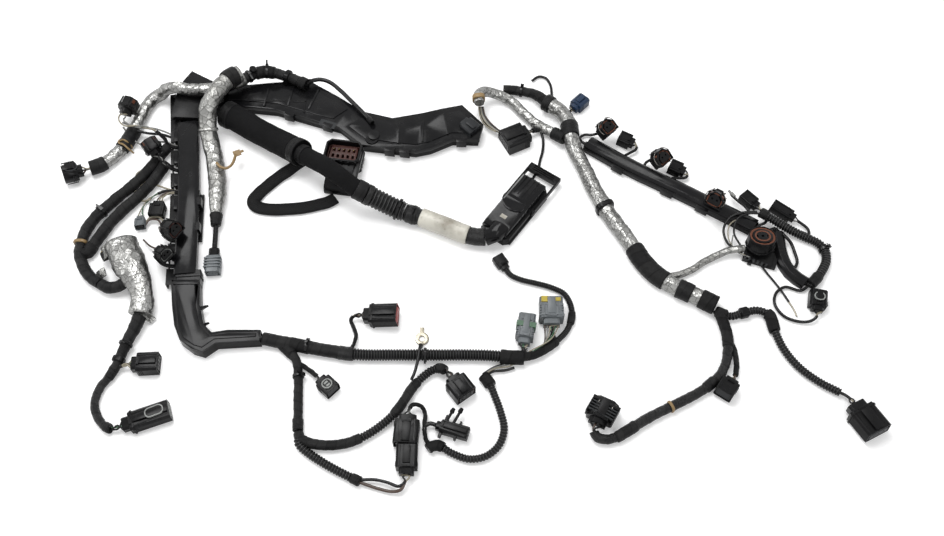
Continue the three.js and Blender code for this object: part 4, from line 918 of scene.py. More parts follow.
SUB_BRANCH_LINE: Route = (
    (364, -235, 9), (372, -252, 5), (373, -274, 4.5), (369, -294, 6.5), (361, -306, 9.5),
)
RIGHT_TAIL_LINE: Route = (
    (352, -197, 12), (374, -203, 8.5), (393, -197, 7.5), (415, -193, 7.5), (430, -201, 7.5),
    (434, -225, 7.5), (443, -255, 7), (460, -283, 7), (485, -306, 7), (511, -322, 7),
)
TAIL_WIRE: Route = (
    (509, -321, 7), (517, -326, 8), (522, -333, 11), (526, -341, 12),
)
END_CABLE_LINE: Route = (
    (436.8, -57, 6.4), (446, -60.5, 6.6), (455, -55.5, 8), (461.5, -53.5, 8), (464.5, -60, 7),
    (464, -70, 7), (463, -82, 7), (464, -103, 7), (470, -124, 7), (481, -138, 7), (492, -147, 7),
    (501, -152.5, 7.5),
)
RIGHT_LOOP_LINE: Route = (
    (437, -32, 24), (457, -44, 20), (483, -57, 12), (505, -68, 8), (522, -78, 8), (530, -91, 8),
    (529, -109, 8), (520, -126, 8), (508, -141, 8), (498, -150, 8),
)
RIGHT_THIN_LINE: Route = (
    (498, -149, 6), (484, -158, 4), (462, -152, 4), (447, -162, 4), (442, -180, 4), (452, -200, 4),
    (471, -209, 4), (488, -210, 6), (498, -204, 9), (500, -195, 9.5),
)
BOX_LEAD: Route = (
    (510, -70, 8), (512, -52, 6), (500, -40, 8), (492, -34, 9),
)

# The loose wires beside the left trough, with their finishes.
LEFT_LOOSE_WIRES: tuple[tuple[str, Finish, Route], ...] = (
    (
        "first", GREY_WIRE,
        ((-462, 99, 7), (-486, 125, 8), (-515, 135, 14), (-545, 134, 20), (-566, 138, 27)),
    ),
    (
        "second", GREY_WIRE,
        ((-458, 94, 6), (-480, 106, 8), (-504, 112, 10), (-532, 106, 9), (-552, 118, 12), (-566, 134, 20)),
    ),
    (
        "eighth", BLACK_WIRE,
        ((-450, 90, 7), (-474, 112, 10), (-500, 124, 12), (-528, 128, 12), (-552, 130, 18)),
    ),
    (
        "third", CREAM_WIRE,
        ((-450, 14, 7), (-478, 22, 6), (-505, 32, 6), (-528, 39, 6), (-534, 48, 8), (-514, 60, 16)),
    ),
    ("fourth", CREAM_WIRE, ((-514, 33, 6), (-529, 26, 6), (-529, 10, 6), (-516, 0, 6), (-503, 2, 8))),
    (
        "fifth", BROWN_WIRE,
        ((-505, -46, 7), (-499, -36, 8), (-486, -37, 9), (-478, -50, 10), (-476, -60, 16)),
    ),
    (
        "sixth", CREAM_WIRE,
        ((-507, -46, 7), (-499, -31, 7), (-484, -32, 8), (-474, -48, 9), (-472, -60, 15)),
    ),
    (
        "seventh", BROWN_WIRE,
        ((-446, -112, 8), (-458, -104, 9), (-474, -92, 10), (-490, -84, 9), (-503, -72, 8)),
    ),
)
# The loose wires round the large round plug, with their finishes and gauges.
RIGHT_END_WIRES: tuple[tuple[Finish, float, Route], ...] = (
    (
        BLACK_WIRE, 4.0,
        ((404, -97, 12), (385, -80, 10), (380, -58, 14), (390, -41, 22), (408, -35, 26), (431, -34, 27)),
    ),
    (BLACK_WIRE, 3.2, ((403, -88, 14), (394, -66, 18), (400, -46, 26), (417, -38, 28), (440, -37, 27))),
    (CREAM_WIRE, 2.0, ((410, -104, 12), (396, -92, 10), (387, -72, 10), (389, -52, 18), (402, -44, 24))),
    (GREY_WIRE, 2.0, ((414, -106, 13), (400, -98, 11), (391, -84, 9), (394, -66, 11))),
    (
        BLACK_WIRE, 4.5,
        ((480, -62, 12), (497, -58, 9), (516, -68, 7), (530, -84, 6), (534, -100, 6), (528, -118, 7)),
    ),
    (BLACK_WIRE, 5.0, ((468, -66, 16), (480, -78, 10), (484, -94, 8), (486, -110, 6), (480, -122, 5))),
    (BLACK_WIRE, 4.2, ((400, 4, 16), (408, -6, 16), (418, -16, 15), (424, -26, 14))),
)

# Shapes


def place(point: Sequence[float]) -> Vector:
    """Turns a layout point in millimetres into the frame's metres."""
    return (Vector(point[:3]) + LAYOUT_ZERO) * MM


def bend(around: Sequence[Vector], steps: int = 16) -> list[Vector]:
    """Draws the bend between the middle two of four points, with spans weighted by their length.

    Args:
        around: The point before the bend, its two ends and the point after it.
        steps: The number of points that it gives.

    Returns:
        The bend's points, without its first.
    """
    before, here, there, after = around
    first, middle, last = (max((b - a).length_squared ** 0.25, 1e-6) for a, b in zip(around, around[1:]))
    leave = (here - before) / first - (there - before) / (first + middle) + (there - here) / middle
    arrive = (there - here) / middle - (after - here) / (middle + last) + (after - there) / last
    leave, arrive = leave * middle, arrive * middle
    made = []
    for step in range(1, steps + 1):
        t = step / steps
        cube = here * (2 * t**3 - 3 * t**2 + 1) + there * (3 * t**2 - 2 * t**3)
        made.append(cube + leave * (t**3 - 2 * t**2 + t) + arrive * (t**3 - t**2))
    return made


def spline(points: Sequence[Vector], spacing: float) -> list[Vector]:
    """Draws a smooth line through points, at even spacing.

    Args:
        points: What it passes through.
        spacing: The distance between its own points.

    Returns:
        The line's points, with both ends.
    """
    if len(points) == 2:
        raw = [points[0].lerp(points[1], t / 24) for t in range(25)]
    else:
        first = points[0] * 2 - points[1]
        last = points[-1] * 2 - points[-2]
        chain = [first, *points, last]
        raw = [points[0].copy()]
        for index in range(1, len(chain) - 2):
            raw.extend(bend(chain[index - 1 : index + 3]))
    return resample(raw, spacing)


def resample(line: Sequence[Vector], spacing: float) -> list[Vector]:
    """Spaces a line's points evenly.

    Args:
        line: The line's points.
        spacing: The distance wanted between them.

    Returns:
        The evenly spaced points.
    """
    reach = [0.0]
    for a, b in zip(line, line[1:]):
        reach.append(reach[-1] + (b - a).length)
    count = max(3, round(reach[-1] / spacing))
    result = []
    index = 0
    for step in range(count + 1):
        want = reach[-1] * step / count
        while index < len(line) - 2 and reach[index + 1] < want:
            index += 1
        span = reach[index + 1] - reach[index]
        part = (want - reach[index]) / span if span > 0 else 0.0
        result.append(line[index].lerp(line[index + 1], min(1.0, part)))
    return result


def length_of(line: Sequence[Vector]) -> float:
    """Adds up a line's length."""
    return sum((b - a).length for a, b in zip(line, line[1:]))


def frames_along(line: Sequence[Vector]) -> list[Matrix]:
    """Carries a frame along a line without twist.

    Args:
        line: The line's points.

    Returns:
        A matrix at each point: x to the line's left, y up at the start, z ahead.
    """
    result = []
    up = Vector((0.0, 0.0, 1.0))
    for index, point in enumerate(line):
        ahead = (line[min(index + 1, len(line) - 1)] - line[max(index - 1, 0)]).normalized()
        up = up - ahead * up.dot(ahead)
        if up.length < 1e-6:
            up = Vector((1.0, 0.0, 0.0)).cross(ahead)
        up.normalize()
        side = up.cross(ahead)
        matrix = Matrix((side, up, ahead)).transposed().to_4x4()
        matrix.translation = point
        result.append(matrix)
    return result


Outline = Callable[[float, float], tuple[float, float]]


def skin(
    name: str, line: Sequence[Vector], outline: Outline, sides: int, finish: Finish
) -> bpy.types.Object:
    """Sweeps an outline along a line as one closed mesh.

    Args:
        name: The piece's name.
        line: The line's points.
        outline: Gives x and y in metres from the distance along the line and the part of a turn.
        sides: The number of points in each ring.
        finish: Its finish.

    Returns:
        The new object.
    """
    walked = 0.0
    points: list[Vector] = []
    places = []
    for index, matrix in enumerate(frames_along(line)):
        if index:
            walked += (line[index] - line[index - 1]).length
        for side in range(sides):
            points.append(matrix @ Vector((*outline(walked, side / sides), 0.0)))
        places.append(walked)
    faces, turns = [], []
    for index in range(len(line) - 1):
        base = index * sides
        near, far = places[index], places[index + 1]
        for side in range(sides):
            nxt = (side + 1) % sides
            faces.append((base + side, base + nxt, base + sides + nxt, base + sides + side))
            low, high = side / sides, (side + 1) / sides
            turns.extend((low, near, high, near, high, far, low, far))
    last = len(points) - sides
    faces.append(tuple(reversed(range(sides))))
    faces.append(tuple(range(last, last + sides)))
    for place_along in (places[0], places[-1]):
        for side in range(sides):
            turns.extend((side / sides, place_along))
    data = bpy.data.meshes.new(name)
    data.from_pydata(points, [], faces)
    data.uv_layers.new(name="turns").data.foreach_set("uv", turns)
    data.polygons.foreach_set("use_smooth", [True] * (len(faces) - 2) + [False] * 2)
    return shown(name, data, finish)


def shown(name: str, data: bpy.types.Mesh, finish: Finish) -> bpy.types.Object:
    """Puts a mesh in the scene with its finish.

    Args:
        name: The object's name.
        data: The mesh.
        finish: The finish.

    Returns:
        The new object.
    """
    for vertex in data.vertices:
        vertex.co.z = max(vertex.co.z, FLOOR_GAP * MM)
    data.materials.append(finish.material())
    piece = bpy.data.objects.new(name, data)
    bpy.context.scene.collection.objects.link(piece)
    return piece


def finished(name: str, mesh: bmesh.types.BMesh, finish: Finish) -> bpy.types.Object:
    """Turns a working mesh into an object with its finish.

    Args:
        name: The object's name.
        mesh: The working mesh, which is freed.
        finish: The finish.

    Returns:
        The new object.
    """
    data = bpy.data.meshes.new(name)
    mesh.normal_update()
    mesh.to_mesh(data)
    mesh.free()
    return shown(name, data, finish)


def roughness_at(point: Vector, scale: float, seed: float) -> float:
    """Gives ridged noise from -1 to 1 at a point."""
    low = noise.noise(point * scale + Vector((seed, 0.0, seed)))
    high = noise.noise(point * scale * 2.3 + Vector((0.0, seed, 1.7)))
    return (0.5 - abs(low) * 2.0) + 0.5 * (0.5 - abs(high) * 2.0)


@dataclass
class Cable:
    """A wrapped cable along a route.

    Attributes:
        name: Its name.
        route: The points that it passes through, in layout millimetres.
        diameter: Its outer diameter in millimetres, the same all along or given by the part of its length.
        wrap: What covers it.
        finish: Its finish, or None for the wrap's usual one.
        body: The body that it rides on.
        pitch: The spacing of ribs or turns, in millimetres.
        trim: The length at the far end, in millimetres, that the wrap leaves bare.
        squash: How far it is widened and flattened.
        line: Its centre line in metres, set when it is built.
        full: The route's whole line in metres, with the bare end.
        piece: Its mesh, set when it is built.
    """

    name: str
    route: Route
    diameter: float | Callable[[float], float]
    wrap: Wrap = Wrap.WIRE
    finish: Finish | None = None
    body: Body = Body.HARNESS
    pitch: float = 4.3
    trim: float = 0.0
    squash: tuple[float, float] = (1.0, 1.0)
    line: list[Vector] = field(default_factory=list)
    full: list[Vector] = field(default_factory=list)
    piece: bpy.types.Object | None = None

    def width(self, part: float) -> float:
        """Gives the diameter in metres at a part of the length."""
        return (self.diameter(part) if callable(self.diameter) else self.diameter) * MM

    def spacing(self) -> float:
        """Gives the distance between rings for the wrap, in metres."""
        if self.wrap is Wrap.CONDUIT:
            return self.pitch * MM / 6
        if self.wrap in (Wrap.FOIL, Wrap.SLEEVE):
            return max(1.6 * MM, self.width(0.5) * 0.09)
        if self.wrap is Wrap.TAPE:
            return max(1.6 * MM, self.width(0.5) * 0.12)
        return max(1.5 * MM, self.width(0.5) * 0.45)

    def sides(self) -> int:
        """Gives the number of points in each ring for the wrap."""
        if self.wrap is Wrap.FOIL:
            return 44
        if self.wrap is Wrap.SLEEVE:
            return 40
        if self.wrap is Wrap.WIRE:
            return 10 if self.width(0.5) < 5 * MM else 16
        return 24 if self.width(0.5) < 15 * MM else 32

    def usual_finish(self) -> Finish:
        """Gives the finish that goes with the wrap."""
        return {
            Wrap.TAPE: TAPE,
            Wrap.CONDUIT: ringed(self.pitch),
            Wrap.FOIL: FOIL,
            Wrap.SLEEVE: CLOTH,
            Wrap.WIRE: BLACK_WIRE,
        }[self.wrap]

    def radius(self, walked: float, turn: float, total: float, point: Vector) -> float:
        """Gives the surface's distance from the centre line.

        Args:
            walked: The distance along the line, in metres.
            turn: The part of a turn round it.
            total: The line's length, in metres.
            point: Where the centre line is.

        Returns:
            The radius in metres.
        """
        base = self.width(walked / total) / 2
        angle = turn * math.tau
        out = point + Vector((math.cos(angle), math.sin(angle), 0.0)) * base
        if self.wrap is Wrap.CONDUIT:
            rib = math.cos(walked / (self.pitch * MM) * math.tau)
            depth = min(1.9 * MM, base * 0.2)
            return base - depth * 0.5 + depth * 0.5 * max(-1.0, min(1.0, (rib + 0.25) * 1.7))
        if self.wrap is Wrap.TAPE:
            turns = (walked / (13 * MM) + turn) % 1.0
            step = (turns - 0.5) * 0.55 * MM
            lump = noise.noise(out * 45.0) * base * 0.11 + noise.noise(out * 150.0) * 0.5 * MM
            return base * 0.975 + step + lump
        if self.wrap is Wrap.FOIL:
            fold = roughness_at(out, 40.0, 2.0) * base * 0.08
            crease = roughness_at(out, 130.0, 5.0) * base * 0.035
            seam = 0.9 * MM * max(0.0, 1.0 - abs(turn - 0.31 - 0.02 * math.sin(walked * 60)) * 26)
            return base * 0.97 + fold + crease + seam
        if self.wrap is Wrap.SLEEVE:
            sag = noise.noise(out * 26.0) * base * 0.06
            wrinkle = roughness_at(out, 60.0, 9.0) * base * 0.02
            return base * 0.985 + sag + wrinkle
        return base

    def build(self) -> bpy.types.Object:
        """Sweeps the cable and sets its centre line.

        Returns:
            The cable's object.
        """
        self.full = spline([place(p) for p in self.route], self.spacing())
        whole = length_of(self.full)
        kept = max(4, round((whole - self.trim * MM) / whole * (len(self.full) - 1)))
        self.line = self.full[: kept + 1] if self.trim else self.full
        total = length_of(self.line)
        steps = len(self.line) - 1

        def outline(walked: float, turn: float) -> tuple[float, float]:
            """Gives the wrap's surface round the line."""
            point = self.line[min(steps, round(walked / total * steps))]
            r = self.radius(walked, turn, total, point)
            wide, high = self.squash
            return r * math.cos(turn * math.tau) * wide, r * math.sin(turn * math.tau) * high

        self.piece = skin(self.name, self.line, outline, self.sides(), self.finish or self.usual_finish())
        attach(self.piece, self.body.value)
        LOG.info("cable %s: %.0f mm", self.name, total / MM)
        return self.piece

    def laid(self) -> Cable:
        """Sweeps the cable and gives it back."""
        self.build()
        return self

    def declare(
        self,
        far_end: str,
        node: str | Sequence[str],
        with_pieces: Sequence[bpy.types.Object] = (),
        lay: str = "loose",
        stiffness: str = "medium",
    ) -> None:
        """Args:
            far_end: What its far end is. It is not used.
            node: The plain solids that it stands for.
            with_pieces: The pieces that go with it. It is not used.
            lay: How it lies. It is not used.
            stiffness: How stiff it is. It is not used.
        """
        for name in (node,) if isinstance(node, str) else node:
            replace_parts(self.piece, name)
        if length_of(self.line) < max(0.03, 6 * self.width(0.5)):
            LOG.info("%s is too short and thick to lie as a cord", self.name)
            return
        self.width(0.5)

    def at(self, part: float) -> Matrix:
        """Gives the frame at a part of the cable's length."""
        frames = frames_along(self.line)
        return frames[min(len(frames) - 1, max(0, round(part * (len(frames) - 1))))]

    def bare_tail(self) -> list[Vector]:
        """Gives the part of the route that the wrap leaves bare, from just inside the wrap."""
        start = max(0, len(self.line) - 1 - max(1, round(4 * MM / self.spacing())))
        return self.full[start:]


def wire(
    name: str, points: Sequence[Vector], gauge: float, finish: Finish, body: Body = Body.HARNESS
) -> bpy.types.Object:
    """Draws one smooth wire through points in metres.

    Args:
        name: The wire's name.
        points: What it passes through.
        gauge: Its diameter in millimetres.
        finish: Its finish.
        body: The body that it rides on.

    Returns:
        The wire's object.
    """
    line = spline(points, max(1.2, gauge * 0.8) * MM)
    radius = gauge * MM / 2

    def outline(_walked: float, turn: float) -> tuple[float, float]:
        """Gives the wire's round outline, the same all along."""
        return radius * math.cos(turn * math.tau), radius * math.sin(turn * math.tau)

    piece = skin(name, line, outline, 8, finish)
    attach(piece, body.value)
    return piece


def rounded(width: float, height: float, corner: float, count: int = 5) -> list[tuple[float, float]]:
    """Draws a rectangle with rounded corners about its middle.

    Args:
        width: Its width.
        height: Its height.
        corner: The corners' radius.
        count: The points in each corner.

    Returns:
        The outline's points, counter-clockwise.
    """
    corner = max(1e-6, min(corner, width / 2 - 1e-6, height / 2 - 1e-6))
    points = []
    for quarter, (sx, sy) in enumerate(((1, 1), (-1, 1), (-1, -1), (1, -1))):
        for step in range(count):
            angle = (quarter + step / (count - 1)) * math.pi / 2
            x = sx * (width / 2 - corner) + corner * math.cos(angle)
            y = sy * (height / 2 - corner) + corner * math.sin(angle)
            points.append((x, y))
    return points


@dataclass(frozen=True)
class Ring:
    """One rounded rectangle of a lofted moulding, in millimetres across its axis."""

    ahead: float
    width: float
    height: float
    corner: float


def loft(
    name: str, rings: Sequence[Ring], seat: Matrix, finish: Finish, closed: bool = False
) -> bpy.types.Object:
    """Lofts rounded rectangles along a seat's x axis.

    Args:
        name: The piece's name.
        rings: The rectangles, in order.
        seat: The frame that they are drawn in: x ahead, y across, z up.
        finish: The finish.
        closed: Whether the last ring joins the first, as a seal's does.

    Returns:
        The new object.
    """
    mesh = bmesh.new()
    rows = []
    for ring in rings:
        outline = rounded(ring.width, ring.height, ring.corner)
        rows.append([mesh.verts.new(seat @ Vector((ring.ahead * MM, y * MM, z * MM))) for y, z in outline])
    pairs = list(zip(rows, rows[1:]))
    if closed:
        pairs.append((rows[-1], rows[0]))
    for a, b in pairs:
        for index in range(len(a)):
            nxt = (index + 1) % len(a)
            mesh.faces.new((a[index], a[nxt], b[nxt], b[index]))
    if not closed:
        mesh.faces.new(tuple(reversed(rows[0])))
        mesh.faces.new(tuple(rows[-1]))
    bmesh.ops.recalc_face_normals(mesh, faces=mesh.faces[:])
    piece = finished(name, mesh, finish)
    soften(piece, 0.3)
    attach(piece, Body.HARNESS.value)
    return piece


def soften(piece: bpy.types.Object, width: float, segments: int = 2) -> None:
    """Rounds a moulding's edges.

    Args:
        piece: The moulding.
        width: The rounding's width, in millimetres.
        segments: The rounding's steps.
    """
    for face in piece.data.polygons:
        face.use_smooth = True
    bevel = piece.modifiers.new("edges", "BEVEL")
    bevel.width = width * MM
    bevel.segments = segments
    bevel.limit_method = "ANGLE"
    bevel.angle_limit = math.radians(31)
    bevel.harden_normals = True


def blocks(
    name: str, seat: Matrix, boxes: Sequence[tuple[float, ...]], finish: Finish, edge: float = 0.3
) -> bpy.types.Object:
    """Makes small moulded blocks in a seat's frame as one piece.

    Args:
        name: The piece's name.
        seat: The frame that they are drawn in.
        boxes: Each block's x, y and z ranges, in millimetres.
        finish: The finish.
        edge: The rounding of their edges, in millimetres.

    Returns:
        The new object.
    """
    mesh = bmesh.new()
    for x0, x1, y0, y1, z0, z1 in boxes:
        low, high = Vector((x0, y0, z0)) * MM, Vector((x1, y1, z1)) * MM
        middle = Matrix.Translation((low + high) / 2) @ Matrix.Diagonal((*(high - low), 1.0))
        bmesh.ops.create_cube(mesh, size=1.0, matrix=seat @ middle)
    piece = finished(name, mesh, finish)
    soften(piece, edge)
    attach(piece, Body.HARNESS.value)
    return piece


def loop_wire(
    name: str, seat: Matrix, points: Sequence[Point], gauge: float, finish: Finish
) -> bpy.types.Object:
    """Bends a wire through points of a seat's frame, in millimetres.

    Args:
        name: The wire's name.
        seat: The frame.
        points: What it passes through.
        gauge: Its diameter in millimetres.
        finish: Its finish.

    Returns:
        The wire's object.
    """
    return wire(name, [seat @ (Vector(p) * MM) for p in points], gauge, finish)


def casing(node: str, finish: Finish, edge: float = 0.45, body: Body = Body.HARNESS) -> bpy.types.Object:
    """Dresses a rigid solid: the same shape with softened edges and its finish.

    Args:
        node: The plain solid's name.
        finish: The finish.
        edge: The rounding of its edges, in millimetres.
        body: The body that it rides on.

    Returns:
        The dressed piece.
    """
    mesh = bmesh.new()
    mesh.from_mesh(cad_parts[node].data)
    bmesh.ops.remove_doubles(mesh, verts=mesh.verts[:], dist=1e-6)
    bmesh.ops.dissolve_limit(mesh, angle_limit=math.radians(1.0), verts=mesh.verts[:], edges=mesh.edges[:])
    piece = finished(f"{node}_dressed", mesh, finish)
    soften(piece, edge)
    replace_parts(piece, node)
    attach(piece, body.value)
    LOG.info("casing %s", node)
    return piece


def tint(piece: bpy.types.Object, finish: Finish, test: Callable[[Vector], bool]) -> None:
    """Gives another finish to the faces whose middle passes a test.

    Args:
        piece: The piece.
        finish: The other finish.
        test: Tells whether a face's middle, in metres, is meant.
    """
    piece.data.materials.append(finish.material())
    index = len(piece.data.materials) - 1
    for face in piece.data.polygons:
        if test(face.center):
            face.material_index = index


def band(cable: Cable, start: float, reach: float, finish: Finish, extra: float = 0.7) -> bpy.types.Object:
    """Winds a band of tape over a cable.

    Args:
        cable: The cable, already built.
        start: Where the band starts, in millimetres along the cable, or back from its end when below 0.
        reach: The band's length in millimetres.
        finish: The tape's finish.
        extra: How far it stands over the cable, in millimetres.

    Returns:
        The band's object.
    """
    total = length_of(cable.line) / MM
    start = start if start >= 0 else total + start
    steps = len(cable.line) - 1
    first = max(0, round(start / total * steps))
    last = min(steps, max(first + 2, round((start + reach) / total * steps)))
    line = resample(cable.line[first : last + 1], 1.5 * MM)
    span = length_of(line)

    def outline(walked: float, turn: float) -> tuple[float, float]:
        """Gives the band's surface, with its ends pressed down on the cable."""
        part = (start * MM + walked) / (total * MM)
        base = cable.width(min(1.0, part)) / 2 + extra * MM
        nearest = min(walked, span - walked)
        base -= max(0.0, 1.2 * MM - nearest) * 0.5
        angle = turn * math.tau
        index = min(len(line) - 1, round(walked / span * (len(line) - 1)))
        lump = noise.noise(line[index] * 90.0 + Vector((math.cos(angle), math.sin(angle), 0.0))) * 0.5 * MM
        r = base + lump + ((walked / (9 * MM) + turn) % 1.0) * 0.4 * MM
        return r * math.cos(angle), r * math.sin(angle)

    piece = skin(f"{cable.name}_band_{round(start)}", line, outline, 28, finish)
    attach(piece, cable.body.value)
    return piece


def tie(
    cable: Cable, where: float, turn: float = 0.15, tail: float = 14.0, extra: float = 0.8
) -> bpy.types.Object:
    """Straps a nylon tie round a cable, with its square head and cut tail.

    Args:
        cable: The cable, already built.
        where: The distance along it in millimetres, or back from its end when below 0.
        turn: The part of a turn at which the head sits.
        tail: The length of the tail in millimetres.
        extra: How far the strap stands over the cable, in millimetres.

    Returns:
        The tie's object.
    """
    total = length_of(cable.line) / MM
    part = (where if where >= 0 else total + where) / total
    seat = cable.at(part)
    radius = cable.width(part) / MM / 2 + extra
    mesh = bmesh.new()
    sides, half = 28, 1.9
    rows = []
    for angle in (math.tau * s / sides for s in range(sides)):
        profile = ((radius, -half), (radius + 1.1, -half), (radius + 1.1, half), (radius, half))
        hoop = [Vector((r * math.cos(angle), r * math.sin(angle), z)) for r, z in profile]
        rows.append([mesh.verts.new(seat @ (corner * MM)) for corner in hoop])
    for a, b in zip(rows, rows[1:] + rows[:1]):
        for index in range(4):
            nxt = (index + 1) % 4
            mesh.faces.new((a[index], a[nxt], b[nxt], b[index]))
    outward = Matrix.Translation(Vector((radius + 1.6, 0.0, 0.0)) * MM)
    head = seat @ Matrix.Rotation(turn * math.tau, 4, "Z") @ outward
    for size, move in (((4.2, 5.4, 5.0), (0.0, 0.0, 0.0)), ((1.1, tail, 3.0), (0.4, tail / 2, 0.0))):
        block = Matrix.Translation(Vector(move) * MM) @ Matrix.Diagonal((*(Vector(size) * MM), 1.0))
        bmesh.ops.create_cube(mesh, size=1.0, matrix=head @ block)
    bmesh.ops.recalc_face_normals(mesh, faces=mesh.faces[:])
    piece = finished(f"{cable.name}_tie_{round(where) % 1000}", mesh, TIE)
    soften(piece, 0.25)
    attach(piece, cable.body.value)
    return piece


def collar(
    cable: Cable, where: float, reach: float, finish: Finish, extra: float = 1.6
) -> bpy.types.Object:
    """Sets a moulded clip or sleeve end round a cable.

    Args:
        cable: The cable, already built.
        where: The collar's middle in millimetres along the cable.
        reach: Its length in millimetres.
        finish: Its finish.
        extra: How far it stands over the cable.

    Returns:
        The collar's object.
    """
    total = length_of(cable.line) / MM
    seat = cable.at(where / total)
    turned = seat @ Matrix(((0, 1, 0, 0), (0, 0, 1, 0), (1, 0, 0, 0), (0, 0, 0, 1)))
    wide = cable.width(where / total) / MM + 2 * extra
    rings = [Ring(-reach / 2, wide - 1.2, wide - 1.2, wide / 3), Ring(-reach / 2 + 1, wide, wide, wide / 3)]
    rings += [Ring(reach / 2 - 1, wide, wide, wide / 3), Ring(reach / 2, wide - 1.2, wide - 1.2, wide / 3)]
    return loft(f"{cable.name}_collar_{round(where)}", rings, turned, finish)


def seat_at_end(line: Sequence[Vector]) -> Matrix:
    """Gives the frame at a lead's end: x ahead, y level across, z up.

    Args:
        line: The lead's points.

    Returns:
        The frame's matrix.
    """
    ahead = (line[-1] - line[-3]).normalized()
    side = Vector((-ahead.y, ahead.x, 0.0)).normalized()
    up = ahead.cross(side)
    matrix = Matrix((ahead, side, up)).transposed().to_4x4()
    matrix.translation = line[-1]
    return matrix


